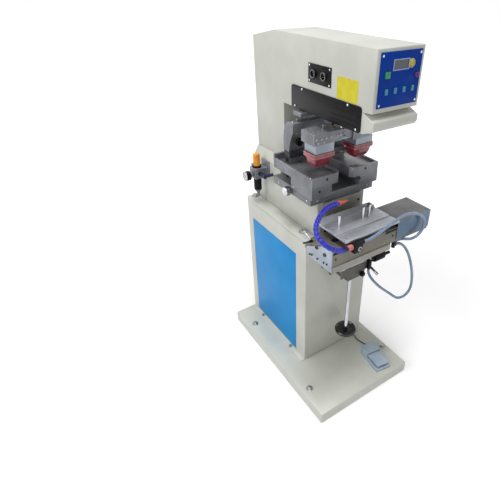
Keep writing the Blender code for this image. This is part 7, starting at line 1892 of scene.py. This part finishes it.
@dataclass
class Shuttle(Dresser):
    """The cross slide, the bed, the shuttle that runs on it and its air block."""

    plate_top: float = 0.8275
    end_face: float = -0.2173
    slide_front: float = -0.2206
    body_end: float = -0.212
    block_front: float = -0.3428
    body_front: float = -0.3128
    apron: tuple[Pair, Pair] = ((-0.088, 0.5728), (0.0435, 0.608))
    knob_axis: Pair = (-0.198, 0.596)
    knob_span: Pair = (0.102, 0.148)
    knob_radius: float = 0.0232
    flutes: int = 18
    nut_profile: Profile = ((0.0, 0.0), (0.0086, 0.0), (0.0086, 0.0032), (0.0074, 0.0042),
                            (0.005, 0.0042), (0.0044, 0.0008), (0.0, 0.0008))
    grip_profile: Profile = ((0.0, 0.0), (0.0042, 0.0004), (0.0062, 0.0036), (0.0064, 0.0062),
                             (0.0048, 0.0102), (0.0022, 0.0118), (0.0, 0.012))
    # The slide's front fitting, the body's tee, the hood's front, the plate's posts and its
    # tongue, and the block's nut stand out
    copies: Sequence[Copy] = (
        Copy("cross_slide", "cross_slide", Finish.ALUMINIUM, 0.0006,
             (Zone(Finish.BLACK, y=below(-0.2206)),)),
        Copy("bed_plate", "cross_slide", Finish.PLATE_STEEL, 0.001),
        Copy("shuttle_body", "cross_slide", Finish.WARM_STEEL, 0.0006,
             (Zone(Finish.BLACK, z=below(0.7345)),)),
        Copy("shuttle_end_plate", "cross_slide", Finish.PALE_PLATE, 0.0006),
        Copy("shuttle_hood", "cross_slide", Finish.HOOD_STEEL, 0.0006,
             (Zone(Finish.BLUE_STEEL, facing=FRONT),)),
        Copy("shuttle_cylinder", "cross_slide", Finish.ALUMINIUM, 0.0006),
        Copy("shuttle_piston", "shuttle", Finish.CHROME, 0.0003),
        Copy("shuttle_plate", "shuttle", Finish.ALUMINIUM, 0.0006,
             (Zone(Finish.CHROME, z=above(0.8278)), Zone(Finish.BLACKENED, z=below(0.819)))),
        Copy("air_block", "cross_slide", Finish.BLACK, 0.0005,
             (Zone(Finish.ROSE, x=below(-0.1425)),)),
        Copy("cross_knob", "cross_knob", Finish.BLACK, 0.0006))

    def dress(self) -> None:
        """Dress the slide, the bed, the shuttle and the air block."""
        self.carry_over(*self.copies)
        self._knob_flutes()
        self._end_clamp()
        self._front_trim()
        self._fasteners()

    def _knob_flutes(self) -> None:
        """The ribs around the cross slide's knob."""
        (start, end), (y, z) = self.knob_span, self.knob_axis
        spots = ring_of_spots(((start + end) / 2, y, z), RIGHT, self.knob_radius, self.flutes)
        rib = Ridge((end - start) / 2, 0.0016, 0.001, 0.0016, 0.0006)
        self.ridges("cross_knob_flutes", "cross_knob", spots, rib, Finish.BLACK)

    def _end_clamp(self) -> None:
        """The black cross handle and the bright fitting on the end plate's rear corner."""
        form = Form("end_clamp")
        face = self.body_end + HAIR
        out = self.end_face - 0.0095
        form.rod((face, -0.199, 0.7847), (out, -0.199, 0.7847), 0.0046, Finish.BLACK, 18, 0.0008)
        form.rod((out, -0.169, 0.7643), (out, -0.2091, 0.7915), 0.0038, Finish.BLACK, 18, 0.0016)
        form.rod((face - 0.0035, -0.195, 0.79), (face - 0.006, -0.1675, 0.8025), 0.003,
                 Finish.ZINC, 18, 0.0006)
        form.turned(self.grip_profile, (face - 0.006, -0.169, 0.8018), (0.0, 0.91, 0.41),
                    Finish.PALE_PLATE, 20)
        self.settle(form.done(), "cross_slide", Finish.BLACK)

    def _front_trim(self) -> None:
        """The block's ring nut, two black strips on the body's front painted as shadow in its gaps,
        and the slide's apron, darkened partly as painted shade.
        """
        self.turn("block_ring_nut", "cross_slide", self.nut_profile,
                  (-0.1205, self.block_front + HAIR, 0.7975), FRONT,
                  [Finish.ZINC] * 5 + [Finish.BLACK], 24)
        front = self.body_front
        # Two black strips painted as the shadow in the gaps under the shuttle plate's front edge.
        shadow_gaps = Form("body_slots")
        for low, high in ((0.031, 0.0851), (-0.2076, -0.148)):
            shadow_gaps.box((low, front - 0.0007, 0.7845), (high, front + HAIR, 0.7935),
                      Finish.BLACK, 0.0003)
        self.settle(shadow_gaps.done(), "cross_slide", Finish.BLACK)
        # The apron takes the knee's darker steel, which is partly painted shade from the table
        # above.
        trim = Form("slide_apron")
        low, high = self.apron
        trim.box((low[0], self.slide_front - 0.002, low[1]),
                 (high[0], self.slide_front + 0.0006, high[1]), Finish.SHADED_KNEE_STEEL, 0.0006)
        self.settle(trim.done(), "cross_slide", Finish.SHADED_KNEE_STEEL)

    def _fasteners(self) -> None:
        """The bolts of the end plate, the bed, the plate and the hood."""
        bolts = [Spot((self.end_face, y, z), LEFT)
                 for y, z in ((-0.2347, 0.7789), (-0.2803, 0.774))]
        self.screws("end_plate_bolts", "cross_slide", bolts, Head.SOCKET, 0.0072, 0.004,
                    Finish.BLACKENED)
        small = [Spot((self.end_face, y, z), LEFT) for y, z in (
            (-0.195, 0.729), (-0.2074, 0.7323), (-0.2399, 0.7345), (-0.2758, 0.7389),
            (-0.2934, 0.7428))]
        self.screws("end_plate_screws", "cross_slide", small, Head.SOCKET, 0.0036, 0.0026,
                    Finish.BLACK)
        top = grid((-0.152, 0.072), (-0.308, -0.236, -0.164), self.plate_top)
        self.screws("shuttle_plate_screws", "shuttle", top, Head.SOCKET, 0.0044, 0.0016,
                    Finish.CHROME)
        hood = grid((0.1, 0.248), (-0.302, -0.202), 0.818)
        self.screws("hood_screws", "cross_slide", hood, Head.PAN, 0.0034, 0.0014,
                    Finish.BLACKENED)
        front = [Spot((x, self.body_front, 0.765), FRONT) for x in (-0.196, 0.07)]
        self.screws("body_front_screws", "cross_slide", front, Head.SOCKET, 0.004, 0.002,
                    Finish.BLACKENED)


@dataclass
class Regulator(Dresser):
    """The air regulator with its cap, gauge and bowl."""

    gauge_place: Triple = (-0.1773, 0.28, 0.85)
    dial_depth: float = 0.0352
    # A cyan elbow behind, a navy sleeve with its black collar in front
    copies: Sequence[Copy] = (
        Copy("regulator_body", "frame", Finish.CAST, 0.0008,
             (Zone(Finish.CYAN, y=above(0.3045)),
              Zone(Finish.NAVY, x=below(-0.1205), y=below(0.232), z=below(0.868)),
              Zone(Finish.BLACK, x=below(-0.1205), y=below(0.2465), z=below(0.868)))),
        Copy("regulator_cap", "regulator_cap", Finish.AMBER, 0.0008,
             (Zone(Finish.BLACK, z=below(0.8885)),)),
        Copy("regulator_bowl", "frame", Finish.BLACK, 0.0006,
             (Zone(Finish.CAST, z=below(0.781)),)))

    def dress(self) -> None:
        """Dress the regulator."""
        self.carry_over(*self.copies)
        self._gauge()

    def _gauge(self) -> None:
        """The gauge: a black case, a bright bezel, a plain dial and its pointer."""
        base, y, z = self.gauge_place
        profile = [(0.0, 0.0), (0.006, 0.0), (0.006, 0.014), (0.0185, 0.014),
                   (0.02, 0.0155), (0.02, 0.034), (0.0196, 0.0366), (0.0176, 0.037),
                   (0.0172, self.dial_depth), (0.0, self.dial_depth)]
        steps = [Finish.ZINC] * 2 + [Finish.BLACK] * 3 + [Finish.CHROME] * 3 + [Finish.DIAL]
        form = Form("regulator_gauge_dressed").turned(profile, (base, y, z), LEFT, steps, 40)
        self.settle(form.done(), "frame", Finish.BLACK, "regulator_gauge")
        face = base - self.dial_depth
        marks = Form("gauge_marks")
        for k in range(11):
            turn = math.radians(225 - 27 * k)
            out = Vector((0.0, -math.cos(turn), math.sin(turn)))
            side = Vector((0.0, out.z, -out.y)) * 0.0005
            inner, outer = out * 0.0125, out * 0.0155
            corners = [(y + p.y, z + p.z) for p in (inner - side, outer - side, outer + side,
                                                    inner + side)]
            self._mark(marks, corners, (face - 0.0003, face + HAIR), Finish.BLACK)
        pointer = [(y - 0.0006, z - 0.003), (y + 0.0006, z - 0.003), (y + 0.01, z + 0.0078),
                   (y + 0.009, z + 0.0082)]
        self._mark(marks, pointer, (face - 0.0009, face - 0.0004), Finish.RED)
        marks.rod((face + HAIR, y, z), (face - 0.0012, y, z), 0.0018, Finish.BLACK, 16)
        self.settle(marks.done(), "frame", Finish.BLACK)

    @staticmethod
    def _mark(form: Form, corners: Profile, span: Pair, finish: Finish) -> None:
        """One flat mark of (y, z) corners, pushed out along X."""
        form.lofted([[Vector((x, y, z)) for y, z in corners] for x in span], finish)


@dataclass
class FootPedal(Dresser):
    """The foot pedal on the base, with its treadle."""

    def dress(self) -> None:
        """Dress the pedal's base and its treadle."""
        self.carry_over(Copy("pedal_base", "frame", Finish.PEDAL, 0.001),
                        Copy("pedal_treadle", "treadle", Finish.PEDAL, 0.0008))


def write_sizes() -> None:
    """Bring the view layer up to date."""
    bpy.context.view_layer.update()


def main() -> None:
    """Dress the whole machine and set the studio round it."""
    logging.basicConfig(level=logging.INFO, format="%(message)s")
    Studio().light_up()
    for part in (AirLines(), Pedestal(), Column(), ControlPanel(), PrintUnit(), InkTrays(),
                 WorkTable(), Shuttle(), Regulator(), FootPedal()):
        LOG.info("dressing %s", type(part).__name__)
        part.dress()
    write_sizes()


if __name__ == "__main__":
    main()
